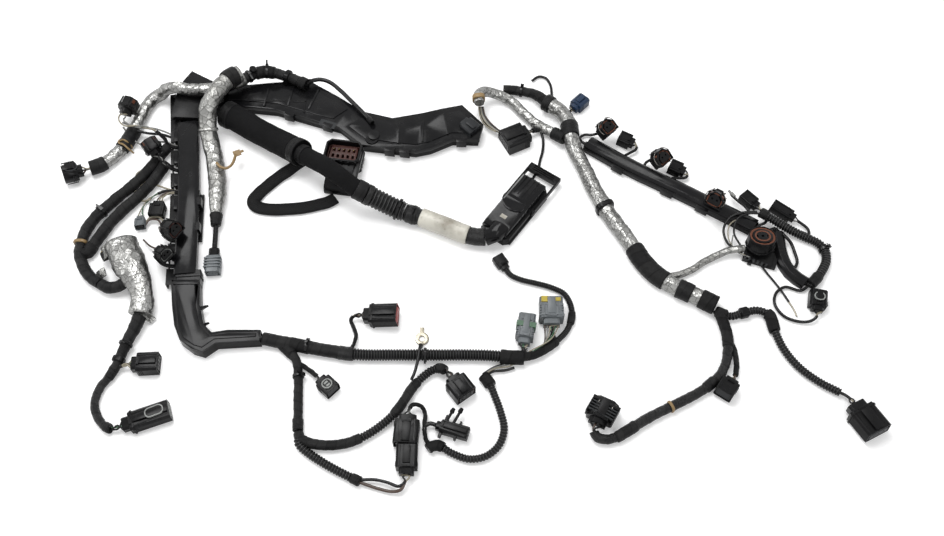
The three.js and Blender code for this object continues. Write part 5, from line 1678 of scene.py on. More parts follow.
@dataclass
class Plug:
    """A small sealed plug at the end of a lead.

    Attributes:
        name: Its name, which is the plain solid's name when it has one of its own.
        lead: The lead that it ends.
        size: Its length, width and height in millimetres.
        finish: The finish of its shell.
        block: The finish of the terminal block inside the mouth.
        seal: The finish of the seal ring round the block, or None.
        collar: How far the rear collar stands over the shell.
        corner: The radius of its long edges.
        wall: The wall round the mouth.
        moat: The width of the channel round the block.
        reach: The depth of the mouth.
        boot: The length of the rear boot.
        solid: Whether the plain model has a solid of that name.
        wires: The finishes of the wires at its boot.
        bail: Whether it has a wire bail.
        parts: The pieces made so far.
    """

    name: str
    lead: Cable
    size: Point
    finish: Finish = BLACK
    block: Finish = BLACK
    seal: Finish | None = None
    collar: float = 0.0
    corner: float = 3.0
    wall: float = 1.6
    moat: float = 2.2
    reach: float = 8.0
    boot: float = 7.0
    solid: bool = True
    wires: tuple[Finish, ...] = ()
    bail: bool = False
    parts: list[bpy.types.Object] = field(default_factory=list)

    def seat(self) -> Matrix:
        """Finds the plug's frame, with its zero at the middle of the boot's rear face."""
        matrix = seat_at_end(self.lead.full)
        if not self.solid:
            matrix.translation -= matrix.col[0].xyz * (BOOT_BITE * MM)
            matrix.translation.z += max(0.0, 0.3 * MM - self.lowest(matrix))
            return matrix
        points = [matrix.inverted() @ v.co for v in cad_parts[self.name].data.vertices]
        back = min(p.x for p in points)
        across = (min(p.y for p in points) + max(p.y for p in points)) / 2
        floor = min(p.z for p in points) + (self.size[2] / 2 + self.collar) * MM
        return matrix @ Matrix.Translation((back, across, floor))

    def lowest(self, matrix: Matrix) -> float:
        """Gives the height of the shell's lowest corner in a frame."""
        length, width, height = (value * MM for value in self.size)
        ends, edges = (self.boot * MM, length), (-width / 2, width / 2)
        return min((matrix @ Vector((x, y, -height / 2))).z for x in ends for y in edges)

    def mouth(self, depth: float, shrink: float) -> Ring:
        """Gives a ring inside the mouth.

        Args:
            depth: Its distance behind the mouth's rim.
            shrink: How far inside the shell's outline it lies.

        Returns:
            The ring.
        """
        length, width, height = self.size
        round_off = max(0.6, self.corner - shrink)
        return Ring(length - depth, width - 2 * shrink, height - 2 * shrink, round_off)

    def build(self) -> list[bpy.types.Object]:
        """Builds the plug's pieces.

        Returns:
            The pieces.
        """
        seat = self.seat()
        length, width, height = self.size
        if self.solid:
            shell = casing(self.name, self.finish, 0.4)
        else:
            rear = Ring(0.0, width * 0.7, height * 0.7, self.corner)
            rings = [rear, Ring(self.boot, width * 0.7, height * 0.7, self.corner)]
            rings += [self.mouth(length - self.boot, 0.0), self.mouth(0.0, 0.0), self.mouth(0.0, self.wall)]
            rings += [self.mouth(self.reach, self.wall), self.mouth(self.reach, self.wall + self.moat)]
            rings.append(self.mouth(0.8, self.wall + self.moat))
            shell = loft(self.name, rings, seat, self.finish)
        self.parts.append(shell)
        back = seat.inverted()
        inside = self.wall + self.moat * 0.5

        def in_block(point: Vector) -> bool:
            """Tells whether a point lies on the terminal block inside the mouth."""
            local = back @ point / MM
            return (
                local.x > length - self.reach + 0.2
                and abs(local.y) < width / 2 - inside
                and abs(local.z) < height / 2 - inside
            )

        if self.block is not self.finish:
            tint(shell, self.block, in_block)
        if self.seal:
            outer, inner = self.wall + 0.15, self.wall + self.moat - 0.15
            deep, shallow = self.reach - 0.3, min(1.6, self.reach * 0.3)
            rings = [self.mouth(deep, outer), self.mouth(shallow, outer)]
            rings += [self.mouth(shallow, inner), self.mouth(deep, inner)]
            self.parts.append(loft(f"{self.name}_seal", rings, seat, self.seal, closed=True))
        self.parts.append(self.grips(seat))
        self.parts.append(self.rails(seat))
        if self.bail:
            self.parts.append(self.wire_bail(seat))
        self.parts.extend(self.boot_wires(seat))
        LOG.info("plug %s: %d pieces", self.name, len(self.parts))
        return self.parts

    def grips(self, seat: Matrix) -> bpy.types.Object:
        """Makes the finger ribs on both sides of the shell.

        Args:
            seat: The plug's frame.

        Returns:
            The ribs, as one piece.
        """
        _, width, height = self.size
        boxes = []
        for side in (-1, 1):
            for step in range(3):
                x = self.boot + 3 + step * 2.4
                y = side * (width / 2 + 0.1)
                boxes.append((x, x + 1.1, y - 0.6, y + 0.6, -height * 0.28, height * 0.28))
        return blocks(f"{self.name}_grips", seat, boxes, self.finish, 0.2)

    def rails(self, seat: Matrix) -> bpy.types.Object:
        """Makes the guide rails above and below the shell and its latch's finger pad.

        Args:
            seat: The plug's frame.

        Returns:
            The rails, as one piece.
        """
        length, width, height = self.size
        high = height / 2
        boxes = []
        for side in (-1, 1):
            y = side * width * 0.33
            boxes.append((self.boot + 1.2, length - 1.5, y - 0.9, y + 0.9, high - 0.4, high + 0.9))
            boxes.append((self.boot + 2.0, length - 3.0, y - 0.7, y + 0.7, -high - 0.2, -high + 0.6))
        pad = width * 0.2
        boxes.append((self.boot + 1.0, self.boot + 4.6, -pad, pad, high - 0.4, high + 1.9))
        boxes.append((self.boot + 2.2, self.boot + 3.0, -pad, pad, high + 1.4, high + 2.5))
        return blocks(f"{self.name}_rails", seat, boxes, self.finish, 0.25)

    def wire_bail(self, seat: Matrix) -> bpy.types.Object:
        """Bends the steel wire bail that holds the plug on its socket.

        Args:
            seat: The plug's frame.

        Returns:
            The bail's piece.
        """
        length, width, height = self.size
        wide, high = width / 2 + 1.2, height / 2 + 1.0
        x = length - 4
        points = [
            (x - 9, -wide * 0.55, high),
            (x, -wide * 0.55, high + 0.6),
            (x + 0.5, -wide, high * 0.5),
            (x + 0.5, -wide, -high * 0.3),
            (x, -wide * 0.7, -high * 0.62),
        ]
        mirrored = [(px, -py, pz) for px, py, pz in reversed(points)]
        path = [*reversed(mirrored), *reversed(points)]
        return loop_wire(f"{self.name}_bail", seat, path, 1.3, STEEL)

    def boot_wires(self, seat: Matrix) -> list[bpy.types.Object]:
        """Runs the wires from the end of the lead's wrap into the boot.

        Args:
            seat: The plug's frame.

        Returns:
            The wires.
        """
        if not self.wires:
            return []
        tail = self.lead.bare_tail()
        frames = frames_along(tail)
        spread = self.size[1] * 0.5
        gauge = 2.6 if self.size[1] > 18 else 2.0
        stride = max(1, round(7 * MM / max(1e-6, (tail[1] - tail[0]).length)))
        made = []
        for index, finish in enumerate(self.wires):
            share = 0.0 if len(self.wires) == 1 else index / (len(self.wires) - 1) - 0.5
            points = []
            for step in range(0, len(frames) - stride // 2, stride):
                part = step / (len(frames) - 1)
                twist = index / len(self.wires) * math.tau + step * 1.1 / stride
                loose = gauge * 0.75 * math.sin(min(1.0, part * 3) * math.pi / 2)
                out = math.cos(twist) * loose * (1 - part) + share * spread * part**3
                rise = math.sin(twist) * loose * (1 - part)
                points.append(frames[step] @ (Vector((-out, rise, 0.0)) * MM))
            points.append(seat @ (Vector((1.0, share * spread, 0.0)) * MM))
            for point in points:
                point.z = max(point.z, (gauge / 2 + 0.2) * MM)
            made.append(wire(f"{self.name}_wire_{index + 1}", points, gauge, finish))
        return made


def spot(x: float, y: float, z: float, heading: float = 0.0) -> Matrix:
    """Gives a frame at a layout point, turned about the vertical.

    Args:
        x: The point's x in millimetres.
        y: Its y.
        z: Its z.
        heading: The turn in degrees.

    Returns:
        The frame.
    """
    return Matrix.Translation(place((x, y, z))) @ Matrix.Rotation(math.radians(heading), 4, "Z")


def open_face(
    name: str, seat: Matrix, size: tuple[float, float], holes: int, rim: Finish
) -> list[bpy.types.Object]:
    """Sets an oval mouth into an upper face: a rim, a dark floor and a row of terminals.

    Args:
        name: The mouth's name.
        seat: The frame on the face, with x along the mouth.
        size: The mouth's length and width in millimetres.
        holes: The number of terminals.
        rim: The rim's finish.

    Returns:
        The pieces.
    """
    turned = seat @ Matrix.Rotation(-math.pi / 2, 4, "Y")
    long, wide = size
    corner = wide * 0.45
    inner = (wide - 3.4, long - 3.4, corner - 1.7)
    rings = [
        Ring(-1.0, wide, long, corner), Ring(1.8, wide, long, corner), Ring(1.8, *inner), Ring(-1.0, *inner)
    ]
    made = [loft(f"{name}_rim", rings, turned, rim, closed=True)]
    floor = [Ring(-0.8, wide - 3, long - 3, corner - 1.5), Ring(0.7, wide - 3, long - 3, corner - 1.5)]
    made.append(loft(f"{name}_floor", floor, turned, BLACK))
    step = (long - 5) / holes
    boxes = []
    for index in range(holes):
        x = (index - (holes - 1) / 2) * step
        boxes.append((x - step * 0.3, x + step * 0.3, -wide * 0.2, wide * 0.2, 0.5, 1.2))
    made.append(blocks(f"{name}_terminals", seat, boxes, rim, 0.2))
    return made


def scrap(name: str, corners: Sequence[Point], finish: Finish, ruck: float = 2.2) -> bpy.types.Object:
    """Lays a torn, crumpled scrap of sheet between four corners.

    Args:
        name: The scrap's name.
        corners: Its corners in layout millimetres, in order round it.
        finish: Its finish.
        ruck: The height of its crumples in millimetres.

    Returns:
        The scrap.
    """
    a, b, c, d = (place(p) for p in corners)
    count = 9
    points, faces = [], []
    for row in range(count):
        for column in range(count):
            u, v = column / (count - 1), row / (count - 1)
            point = a.lerp(b, u).lerp(d.lerp(c, u), v)
            point.z += roughness_at(point, 90.0, 3.0) * ruck * MM * 0.6
            point.x += noise.noise(point * 140.0) * 1.4 * MM
            point.z = max(point.z, 0.5 * MM)
            points.append(point)
    for row in range(count - 1):
        for column in range(count - 1):
            base = row * count + column
            faces.append((base, base + 1, base + count + 1, base + count))
    data = bpy.data.meshes.new(name)
    data.from_pydata(points, [], faces)
    piece = shown(name, data, finish)
    thick = piece.modifiers.new("sheet", "SOLIDIFY")
    thick.thickness = 0.5 * MM
    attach(piece, Body.HARNESS.value)
    return piece


# Sub-assemblies


def ring_plug(name: str, lead: Cable, size: Point, seal: Finish, **more: object) -> Plug:
    """Sizes one of the rounded plugs with a seal ring in its mouth."""
    return Plug(
        name, lead, size, seal=seal, collar=1.2, corner=8.0, moat=2.4, **more
    )


def small_plug(name: str, lead: Cable, size: Point, **more: object) -> Plug:
    """Sizes one of the smallest plugs, whose solid is part of its lead's."""
    return Plug(name, lead, size, corner=2.0, wall=1.2, moat=1.6, reach=6.0, boot=6.0, solid=False, **more)


@dataclass
class LeftTrough:
    """The straight trough on the left, its elbow, the cables inside and its side plugs."""

    cable: float = 15.0
    elbow: float = 11.0
    lead: float = 6.0
    thin_lead: float = 4.5

    def build(self) -> None:
        """Builds the trough and everything that leaves it."""
        for node, finish in (
            ("left_trough_channel", BLACK),
            ("left_trough_cover", COVER),
            ("left_elbow_cover", COVER),
        ):
            casing(node, finish, 0.5)
        inner = Cable("left_trough_bundle", LEFT_CABLE_LINE, self.cable, Wrap.TAPE)
        elbow = Cable("left_elbow_bundle", ELBOW_CABLE_LINE, self.elbow, Wrap.TAPE)
        for cable in (inner, elbow):
            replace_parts(cable.build(), "left_trough_cables")
        self.side_plugs()
        self.trims()

    def side_plugs(self) -> None:
        """Builds the leads through the notches and their plugs."""
        first = Cable("left_lead_1", LEAD_TO_PLUG1, self.lead, Wrap.TAPE, trim=78).laid()
        plug = ring_plug("left_plug_1", first, (27, 26, 23), ORANGE_SEAL, wires=(CREAM_WIRE, GREY_WIRE))
        first.declare("plug", "left_trough_cables", plug.build())
        second = Cable("left_lead_2", LEAD_TO_PLUG2, self.lead, Wrap.WIRE, trim=22).laid()
        ring_plug("left_plug_2", second, (27, 26, 23), ORANGE_SEAL, wires=(BLACK_WIRE, GREY_WIRE)).build()
        third = Cable("left_lead_3", LEAD_TO_PLUG3, self.lead, Wrap.TAPE, trim=34).laid()
        small_plug(
            "left_plug_3", third, (26, 24, 15), block=SLATE, wires=(CREAM_WIRE, CREAM_WIRE, BROWN_WIRE)
        ).build()
        fourth = Cable("left_lead_4", LEAD_TO_PLUG4, self.lead, Wrap.WIRE, trim=30).laid()
        ring_plug("left_plug_4", fourth, (30, 26, 23), RED_SEAL, wires=(BROWN_WIRE, GREY_WIRE)).build()
        fifth = Cable("left_lead_5", LEAD_TO_PLUG5, self.thin_lead, Wrap.WIRE, trim=56).laid()
        grey = small_plug("left_plug_5", fifth, (22, 16, 12), finish=GREY, wires=(GREEN_WIRE, CREAM_WIRE))
        fifth.declare("plug", "left_trough_cables", grey.build())
        sixth = Cable("left_lead_6", LEAD_TO_PLUG6, self.lead, Wrap.WIRE, trim=24).laid()
        ring_plug("left_plug_6", sixth, (27, 24, 19), GREY_SEAL, wires=(BROWN_WIRE, BROWN_WIRE)).build()

    def trims(self) -> None:
        """Adds the loose wires beside the trough, its bracket and the fins at its foot."""
        for name, finish, points in LEFT_LOOSE_WIRES:
            gauge = 4.4 if finish is BLACK_WIRE else 3.0
            wire(f"left_loose_wire_{name}", [place(p) for p in points], gauge, finish)
        bracket = [
            (-3, 3, -46, 40, -9, -5.5), (-4.5, -1.5, -46, 40, -9, 7), (-6, 2, 12, 26, -9, 9),
            (-6, 2, -34, -20, -9, 9),
        ]
        blocks("left_trough_bracket", spot(-421, -28, 12, 5), bracket, BLACK, 0.4)
        sleeve = [(-20, 15, -15, 9, 2, 19.5), (-21.5, 16, -3, 1, 2, 21), (-21.5, -15, -12, 6, 1, 15)]
        blocks("left_trough_joint", spot(-419, -140, 0, 4), sleeve, COVER, 0.8)
        for index, (x, y) in enumerate(((-389, -190), (-384, -218))):
            fin = [Ring(0, 2.2, 12, 0.6), Ring(9, 2.2, 7, 0.6), Ring(15, 2.2, 1.8, 0.5)]
            loft(f"left_trough_fin_{index + 1}", fin, spot(x - 12, y - 4, 13, 24), BLACK)
        ears = [(-16.5 - 1.6 * (k % 2), -12.5, -170 + k * 31, -162 + k * 31, 4, 10) for k in range(9)]
        blocks("left_trough_clips", spot(-444, 22, 0, 8.2), ears, BLACK, 0.4)


@dataclass
class BackTrough:
    """The wide flat trough at the back, its corner box and the cable that crosses it."""

    cable: float = 13.0

    def build(self) -> None:
        """Builds the trough and the clip at its right end."""
        casing("back_trough_channel", BLACK, 0.5)
        casing("corner_box", BLACK, 0.6)
        cover = casing("back_trough_cover", COVER, 0.5)
        tint(cover, SLATE, self.in_clip)
        inner = Cable("back_trough_bundle", BACK_CABLE_LINE, self.cable, Wrap.TAPE).laid()
        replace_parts(inner.piece, "back_trough_cables")
        self.trims()

    def trims(self) -> None:
        """Adds the bare patch, the boss, the lips and the bars on the cover."""
        blocks("back_cover_patch", spot(-236, 139, 21.4, -20), [(-14, 14, -6.5, 6.5, 0.0, 0.7)], SLATE, 0.3)
        boss = [
            Ring(0, 21, 21, 10.4), Ring(2.6, 20, 20, 9.9), Ring(2.6, 12, 12, 5.9), Ring(1.2, 11, 11, 5.4)
        ]
        loft("back_cover_boss", boss, spot(-163, 108, 21.4) @ Matrix.Rotation(-math.pi / 2, 4, "Y"), COVER)
        lips = [(-64, 66, -1.2, 1.2, 0, 2.4), (-64, -61, -20, 1, 0, 2.4), (63, 66, -22, 1, 0, 2.4)]
        blocks("back_cover_lips", spot(-340, 186, 21.3, -2), lips, COVER, 0.4)
        grooves = [(-40 + k * 16, -36 + k * 16, -16, 16, 0, 1.1) for k in range(5)]
        blocks("back_cover_bars", spot(-95, 118, 21.4, 4), grooves, COVER, 0.4)

    def in_clip(self, point: Vector) -> bool:
        """Tells whether a point of the cover belongs to the grey clip on it."""
        local = point / MM - LAYOUT_ZERO
        return abs(local.x + 10) < 26 and abs(local.y - 134) < 24 and local.z > 23.4


@dataclass
class RightTrough:
    """The narrow trough on the right, its end trough and the plugs along it."""

    cable: float = 9.5
    lead: float = 4.5

    def build(self) -> None:
        """Builds both troughs, their cables and plugs."""
        casing("right_trough_channel", BLACK, 0.4)
        casing("right_trough_cover", COVER, 0.5)
        casing("right_end_trough", COVER, 0.5)
        inner = Cable("right_trough_bundle", RIGHT_CABLE_LINE, self.cable, Wrap.TAPE).laid()
        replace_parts(inner.piece, "right_trough_cables")
        leads = (
            ("right_lead_1", LEAD_OUT1, "right_plug_1", (28.0, 27.0, 24.0), True),
            ("right_lead_2", INJECTOR_LEAD2, "right_plug_2", (28.0, 27.0, 24.0), True),
            ("right_lead_3", INJECTOR_LEAD3, "right_plug_3", (24.0, 27.0, 24.0), True),
            ("right_lead_4", LEAD_OUT2, "right_plug_4", (30.0, 20.0, 15.0), False),
            ("right_lead_5", SMALL_LEAD1, "right_plug_5", (26.0, 22.0, 16.0), False),
            ("right_lead_6", SMALL_LEAD2, "right_plug_6", (26.0, 22.0, 16.0), False),
        )
        for name, route, plug_name, size, injector in leads:
            lead = Cable(name, route, self.lead, Wrap.WIRE, trim=9).laid()
            if injector:
                plug = Plug(
                    plug_name, lead, size, seal=ORANGE_SEAL, collar=1.2, corner=9.0, moat=2.4, boot=7.0,
                    wires=(CREAM_WIRE, BROWN_WIRE), bail=True,
                )
            else:
                plug = small_plug(plug_name, lead, size, block=SLATE, wires=(CREAM_WIRE, BLACK_WIRE))
            parts = plug.build()
            if name in ("right_lead_1", "right_lead_4"):
                lead.declare("plug", "right_trough_cables", parts)


@dataclass
class UnitPlug:
    """The control-unit plug: housing, wire cover and the lever that locks it.

    Attributes:
        top: The height of the cover's upper face, in millimetres.
        heading: The plug's turn about the vertical, in degrees.
    """

    top: float = 36.3
    heading: float = 54.4

    def build(self) -> None:
        """Builds the plug and the bare label on its cover."""
        casing("unit_plug_housing", BLACK, 0.5)
        casing("unit_plug_wire_cover", COVER, 0.7)
        lever = casing("unit_plug_lever", BLACK, 0.4, Body.LEVER)
        LOG.info("lever rides alone: %s", lever.name)
        self.details()

    def details(self) -> None:
        """Adds the label plate and the cover's ribs."""
        seat = spot(29, -67, 0, self.heading)
        top = self.top
        blocks("unit_plug_label", seat, [(24, 41, -5, 5, top - 5.2, top - 4.5)], LABEL, 0.1)
        ribs = [(44.0 + 9 * step, 45.4 + 9 * step, 19.2, 21.8, 17.5, 27.5) for step in range(7)]
        ribs += [(x0, x1, -y1, -y0, z0, z1) for x0, x1, y0, y1, z0, z1 in ribs]
        blocks("unit_plug_ribs", seat, ribs, COVER, 0.3)
        rails = [(70.0, 108.0, y, y + 1.6, top - 1.4, top + 0.7) for y in (-12.0, -4.8, 3.2, 10.4)]
        blocks("unit_plug_cover_rails", seat, rails, COVER, 0.35)


@dataclass
class SocketPlug:
    """The open socket plug with its terminals and the sloping wire cover."""

    def build(self) -> None:
        """Builds the plug, its seal and its terminals."""
        casing("socket_plug_housing", BLACK, 0.6)
        casing("socket_plug_terminals", RED_SEAL, 0.3)
        seat = spot(-206, 77, 0, -8)
        across = Matrix.Rotation(-math.pi / 2, 4, "Y")
        rings = [Ring(20, 50.8, 32.8, 4.5), Ring(24.5, 50.8, 32.8, 4.5)]
        rings += [Ring(24.5, 47.6, 29.6, 3.5), Ring(20, 47.6, 29.6, 3.5)]
        turned = seat @ across @ Matrix.Rotation(math.pi / 2, 4, "X")
        loft("socket_plug_seal", rings, turned, RED_SEAL, closed=True)
        for row, (y, finish) in enumerate(((-4.4, STEEL), (4.4, BRASS))):
            pins = [(x - 0.5, x + 0.5, y - 0.5, y + 0.5, 22.0, 31.0) for x in (-15.5, -7.7, 0.0, 7.7, 15.5)]
            blocks(f"socket_plug_pins_{row + 1}", seat, pins, finish, 0.15)
        ribs = [(-29.6, -28.4, -14 + k * 7, -11 + k * 7, 2, 30) for k in range(4)]
        ribs += [(28.4, 29.6, -14 + k * 7, -11 + k * 7, 2, 18) for k in range(4)]
        ribs += [(-22 + k * 11, -19 + k * 11, -21.6, -19.4, 22, 34) for k in range(5)]
        blocks("socket_plug_ribs", seat, ribs, BLACK, 0.3)


@dataclass
class Trunk:
    """The thick trunk from the left trough to the control-unit plug, and the flat braid beside it.

    Attributes:
        sleeve: The diameter of the wide cloth sleeve.
        neck: The diameter of the narrower sleeve below it.
        conduit: The conduit's diameter.
        tail: The taped tail's diameter.
        braid_width: The flat braid's width.
        braid_thickness: Its thickness.
        label_span: Where the label starts and ends, in layout x.
    """

    sleeve: float = 42.0
    neck: float = 29.0
    conduit: float = 31.0
    tail: float = 27.0
    braid_width: float = 21.0
    braid_thickness: float = 7.0
    label_span: tuple[float, float] = (-82.0, -8.0)

    def build(self) -> None:
        """Builds the sleeve, conduit, taped tail, label and braid."""
        sleeve = Cable("trunk_sleeve_cloth", TRUNK_LINE, self.sleeve, Wrap.SLEEVE).laid()
        neck = Cable("trunk_neck_cloth", NECK_LINE, self.neck, Wrap.SLEEVE)
        neck.build()
        conduit = Cable("trunk_conduit_ribbed", CONDUIT_LINE, self.conduit, Wrap.CONDUIT, pitch=6.1).laid()
        tail = Cable("trunk_tail_taped", TAIL_LINE, self.tail, Wrap.TAPE, GLOSS_TAPE)
        tail.build()
        label = self.label(tail)
        sleeve.declare(
            "object", "trunk_sleeve", [band(sleeve, 0, 16, TAPE, 0.9), band(sleeve, -14, 14, TAPE, 0.6)]
        )
        neck.declare(
            "object", "trunk_sleeve", [band(neck, 0, 14, TAPE, 1.0), band(neck, -16, 16, TAPE, 1.4)]
        )
        bands = [band(conduit, 0, 9, GLOSS_TAPE, 0.8), tie(conduit, -10, 0.2)]
        conduit.declare("object", "trunk_conduit", bands)
        tail.declare(
            "object", "trunk_tail", [label, band(tail, 2, 16, GLOSS_TAPE, 0.8), tie(tail, 12, 0.22)]
        )
        self.braid()

    def label(self, tail: Cable) -> bpy.types.Object:
        """Wraps the bare label round the taped tail.

        Args:
            tail: The taped tail.

        Returns:
            The label.
        """
        start, end = self.label_span
        part = [p for p in tail.line if start * MM < p.x - LAYOUT_ZERO.x * MM < end * MM]
        spacing = 1.8 * MM
        line = resample(part, spacing)
        radius = self.tail / 2 + 1.0

        def outline(walked: float, turn: float) -> tuple[float, float]:
            """Gives the label's dented outline, with the edge that laps over."""
            angle = turn * math.tau
            index = min(len(line) - 1, round(walked / spacing))
            out = line[index] + Vector((math.cos(angle), math.sin(angle), 0.0)) * radius * MM
            dent = noise.noise(out * 40.0) * 0.5
            lap = 0.5 if 0.05 < turn < 0.5 else 0.0
            r = (radius + dent + lap) * MM
            return r * math.cos(angle), r * math.sin(angle)

        piece = skin("trunk_label_bare", line, outline, 40, LABEL)
        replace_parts(piece, "trunk_label_sleeve")
        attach(piece, Body.HARNESS.value)
        return piece

    def braid(self) -> None:
        """Builds the flat braided sleeve."""
        line = spline([place(p) for p in BRAID_LINE], 2.0 * MM)
        wide, thick = self.braid_width / 2 * MM, self.braid_thickness / 2 * MM

        def outline(walked: float, turn: float) -> tuple[float, float]:
            """Gives the braid's flattened outline, with its rucks."""
            angle = turn * math.tau
            x = math.copysign(abs(math.cos(angle)) ** 0.7, math.cos(angle)) * wide
            y = math.copysign(abs(math.sin(angle)) ** 0.6, math.sin(angle)) * thick
            ruck = noise.noise(Vector((walked * 60.0, turn * 4.0, 3.0))) * 0.6 * MM
            return x + ruck, y + ruck * 0.5

        piece = skin("braided_loop_sleeve", line, outline, 36, BRAID)
        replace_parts(piece, "braided_loop")
        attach(piece, Body.HARNESS.value)


@dataclass
class LeftBranches:
    """The foil and taped branches at the left and their plugs."""

    foil: float = 20.0
    drop: float = 28.0
    drop_lead: float = 8.0
    pair: float = 18.0
    loop: float = 12.0
    lead: float = 6.0
    join: Route = ((-586, -92, 9.5),)

    def drop_width(self, part: float) -> float:
        """Gives the drop sleeve's diameter along it."""
        return self.drop if part < 0.8 else self.drop - (self.drop - 13) * (part - 0.8) / 0.2

    def tail_width(self, part: float) -> float:
        """Gives the left tail's diameter along it."""
        return 20 - 7 * part

    def bundle_width(self, part: float) -> float:
        """Gives the foil bundle's diameter along it."""
        return 43 - 17 * part - 3 * math.cos(9 * part)

    def build(self) -> None:
        """Builds the branches in order from the back."""
        foil = Cable("left_foil_sleeve", LEFT_FOIL_LINE, self.foil, Wrap.FOIL, trim=10).laid()
        round_plug = Plug(
            "left_round_plug", foil, (30, 29, 29), corner=14.0, moat=3.0, boot=8.0, block=GREY,
            seal=GREY_SEAL, wires=(CREAM_WIRE, BLACK_WIRE, BROWN_WIRE),
        )
        bands = [band(foil, 196, 42, TAPE, 1.7), band(foil, -26, 26, TAPE, 1.7)]
        bands.append(loop_wire("foil_clip_hook", spot(-546, 92, 20), self.clip_hook(), 3.0, OCHRE))
        parts = round_plug.build()
        lift = Vector((round_plug.size[0] * 0.55, 0.0, round_plug.size[2] / 2)) * MM
        face = round_plug.seat() @ Matrix.Translation(lift)
        parts += open_face("left_round_plug_face", face, (20, 20), 2, SLATE)
        foil.declare("plug", "left_foil_branch", [*parts, *bands, collar(foil, 226, 3, OCHRE, 1.6)])
        drop = Cable("drop_foil_wrap", DROP_LINE, self.drop_width, Wrap.FOIL, DULL_FOIL).laid()
        curl = [
            (-403, 56, 30), (-396, 48, 30), (-387, 47, 28), (-380, 54, 27), (-377, 64, 27), (-376, 74, 27)
        ]
        hook = wire("drop_foil_hook", [place(p) for p in curl], 4.6, OCHRE)
        flag = [(-3, 9, -6, 5, -1.2, 1.2), (4, 14, -2.2, 2.2, -1, 1)]
        blocks("drop_foil_hook_flag", spot(-377, 76, 27, 24), flag, OCHRE, 0.6)
        bands = [
            band(drop, 4, 22, TAPE, 1.8), band(drop, -20, 20, TAPE, 1.0), band(drop, 112, 5, DULL_FOIL, 1.6)
        ]
        drop.declare("object", "drop_foil_sleeve", [*bands, hook])
        lead = Cable("comb_lead", DROP_LEAD, self.drop_lead, Wrap.CONDUIT, pitch=2.6).laid()
        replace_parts(lead.piece, "drop_foil_sleeve")
        self.comb(lead)
        self.taped_pair()
        self.bundle()
        self.lower_tail()

    def clip_hook(self) -> list[Point]:
        """Gives the bends of the ochre wire clip on the left foil branch."""
        return [(4, -6, -6), (-4, -2, 2), (-12, 4, 5), (-19, 7, 4), (-21, 12, 3), (-16, 13, 3)]

    def comb(self, lead: Cable) -> None:
        """Builds the comb plug: a black bracket with a ribbed grey block."""
        comb = casing("comb_plug", GREY, 0.35)
        seat = seat_at_end(lead.full)
        back = seat.inverted()
        tint(comb, BLACK, lambda point: (back @ point).x < 15 * MM)

    def taped_pair(self) -> None:
        """Builds the two taped branches that join beside the foil bundle."""
        upper = Cable("taped_pair_upper", PAIR_UPPER, self.pair, Wrap.TAPE).laid()
        lower = Cable("taped_pair_lower", (*PAIR_LOWER, *self.join), self.pair, Wrap.TAPE)
        lower.build()
        upper.declare(
            "object", "left_taped_pair", [tie(upper, 150, 0.2, 10), collar(upper, 213, 5, OCHRE, 1.4)]
        )
        lower.declare("object", "left_taped_pair", [band(lower, -20, 20, WIDE_TAPE, 0.9)])

    def bundle(self) -> None:
        """Builds the crumpled foil bundle and the piece that joins it to the taped pair."""
        foil = Cable(
            "foil_bundle_wrap", FOIL_BUNDLE_LINE, self.bundle_width, Wrap.FOIL, squash=(1.22, 0.94)
        ).laid()
        joint = Cable("foil_bundle_joint", FOIL_JOINT, self.pair, Wrap.TAPE).laid()
        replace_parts(joint.piece, "foil_bundle")
        foil.declare("object", "foil_bundle", [joint.piece])
        flaps = (
            ((-562, -92, 14), (-548, -84, 26), (-536, -106, 34), (-552, -116, 18)),
            ((-522, -82, 30), (-504, -84, 20), (-496, -112, 16), (-512, -112, 36)),
            ((-566, -128, 6), (-552, -122, 12), (-545, -136, 12), (-560, -142, 2)),
            ((-478, -196, 10), (-464, -204, 3), (-470, -212, 4), (-486, -208, 14)),
        )
        for index, corners in enumerate(flaps):
            scrap(f"foil_flap_{index + 1}", corners, FOIL if index % 2 else DULL_FOIL)
        tab = [Ring(0, 9, 5, 1), Ring(4, 11, 7, 1.4), Ring(13, 11, 7, 1.4), Ring(15, 8, 5, 1)]
        loft("foil_bundle_tab", tab, spot(-549, -112, 16, 118), BLACK)
        blocks("foil_bundle_tab_pins", spot(-549, -112, 16, 118), [(14, 17, -3, 3, -1.4, 1.4)], BRASS, 0.3)

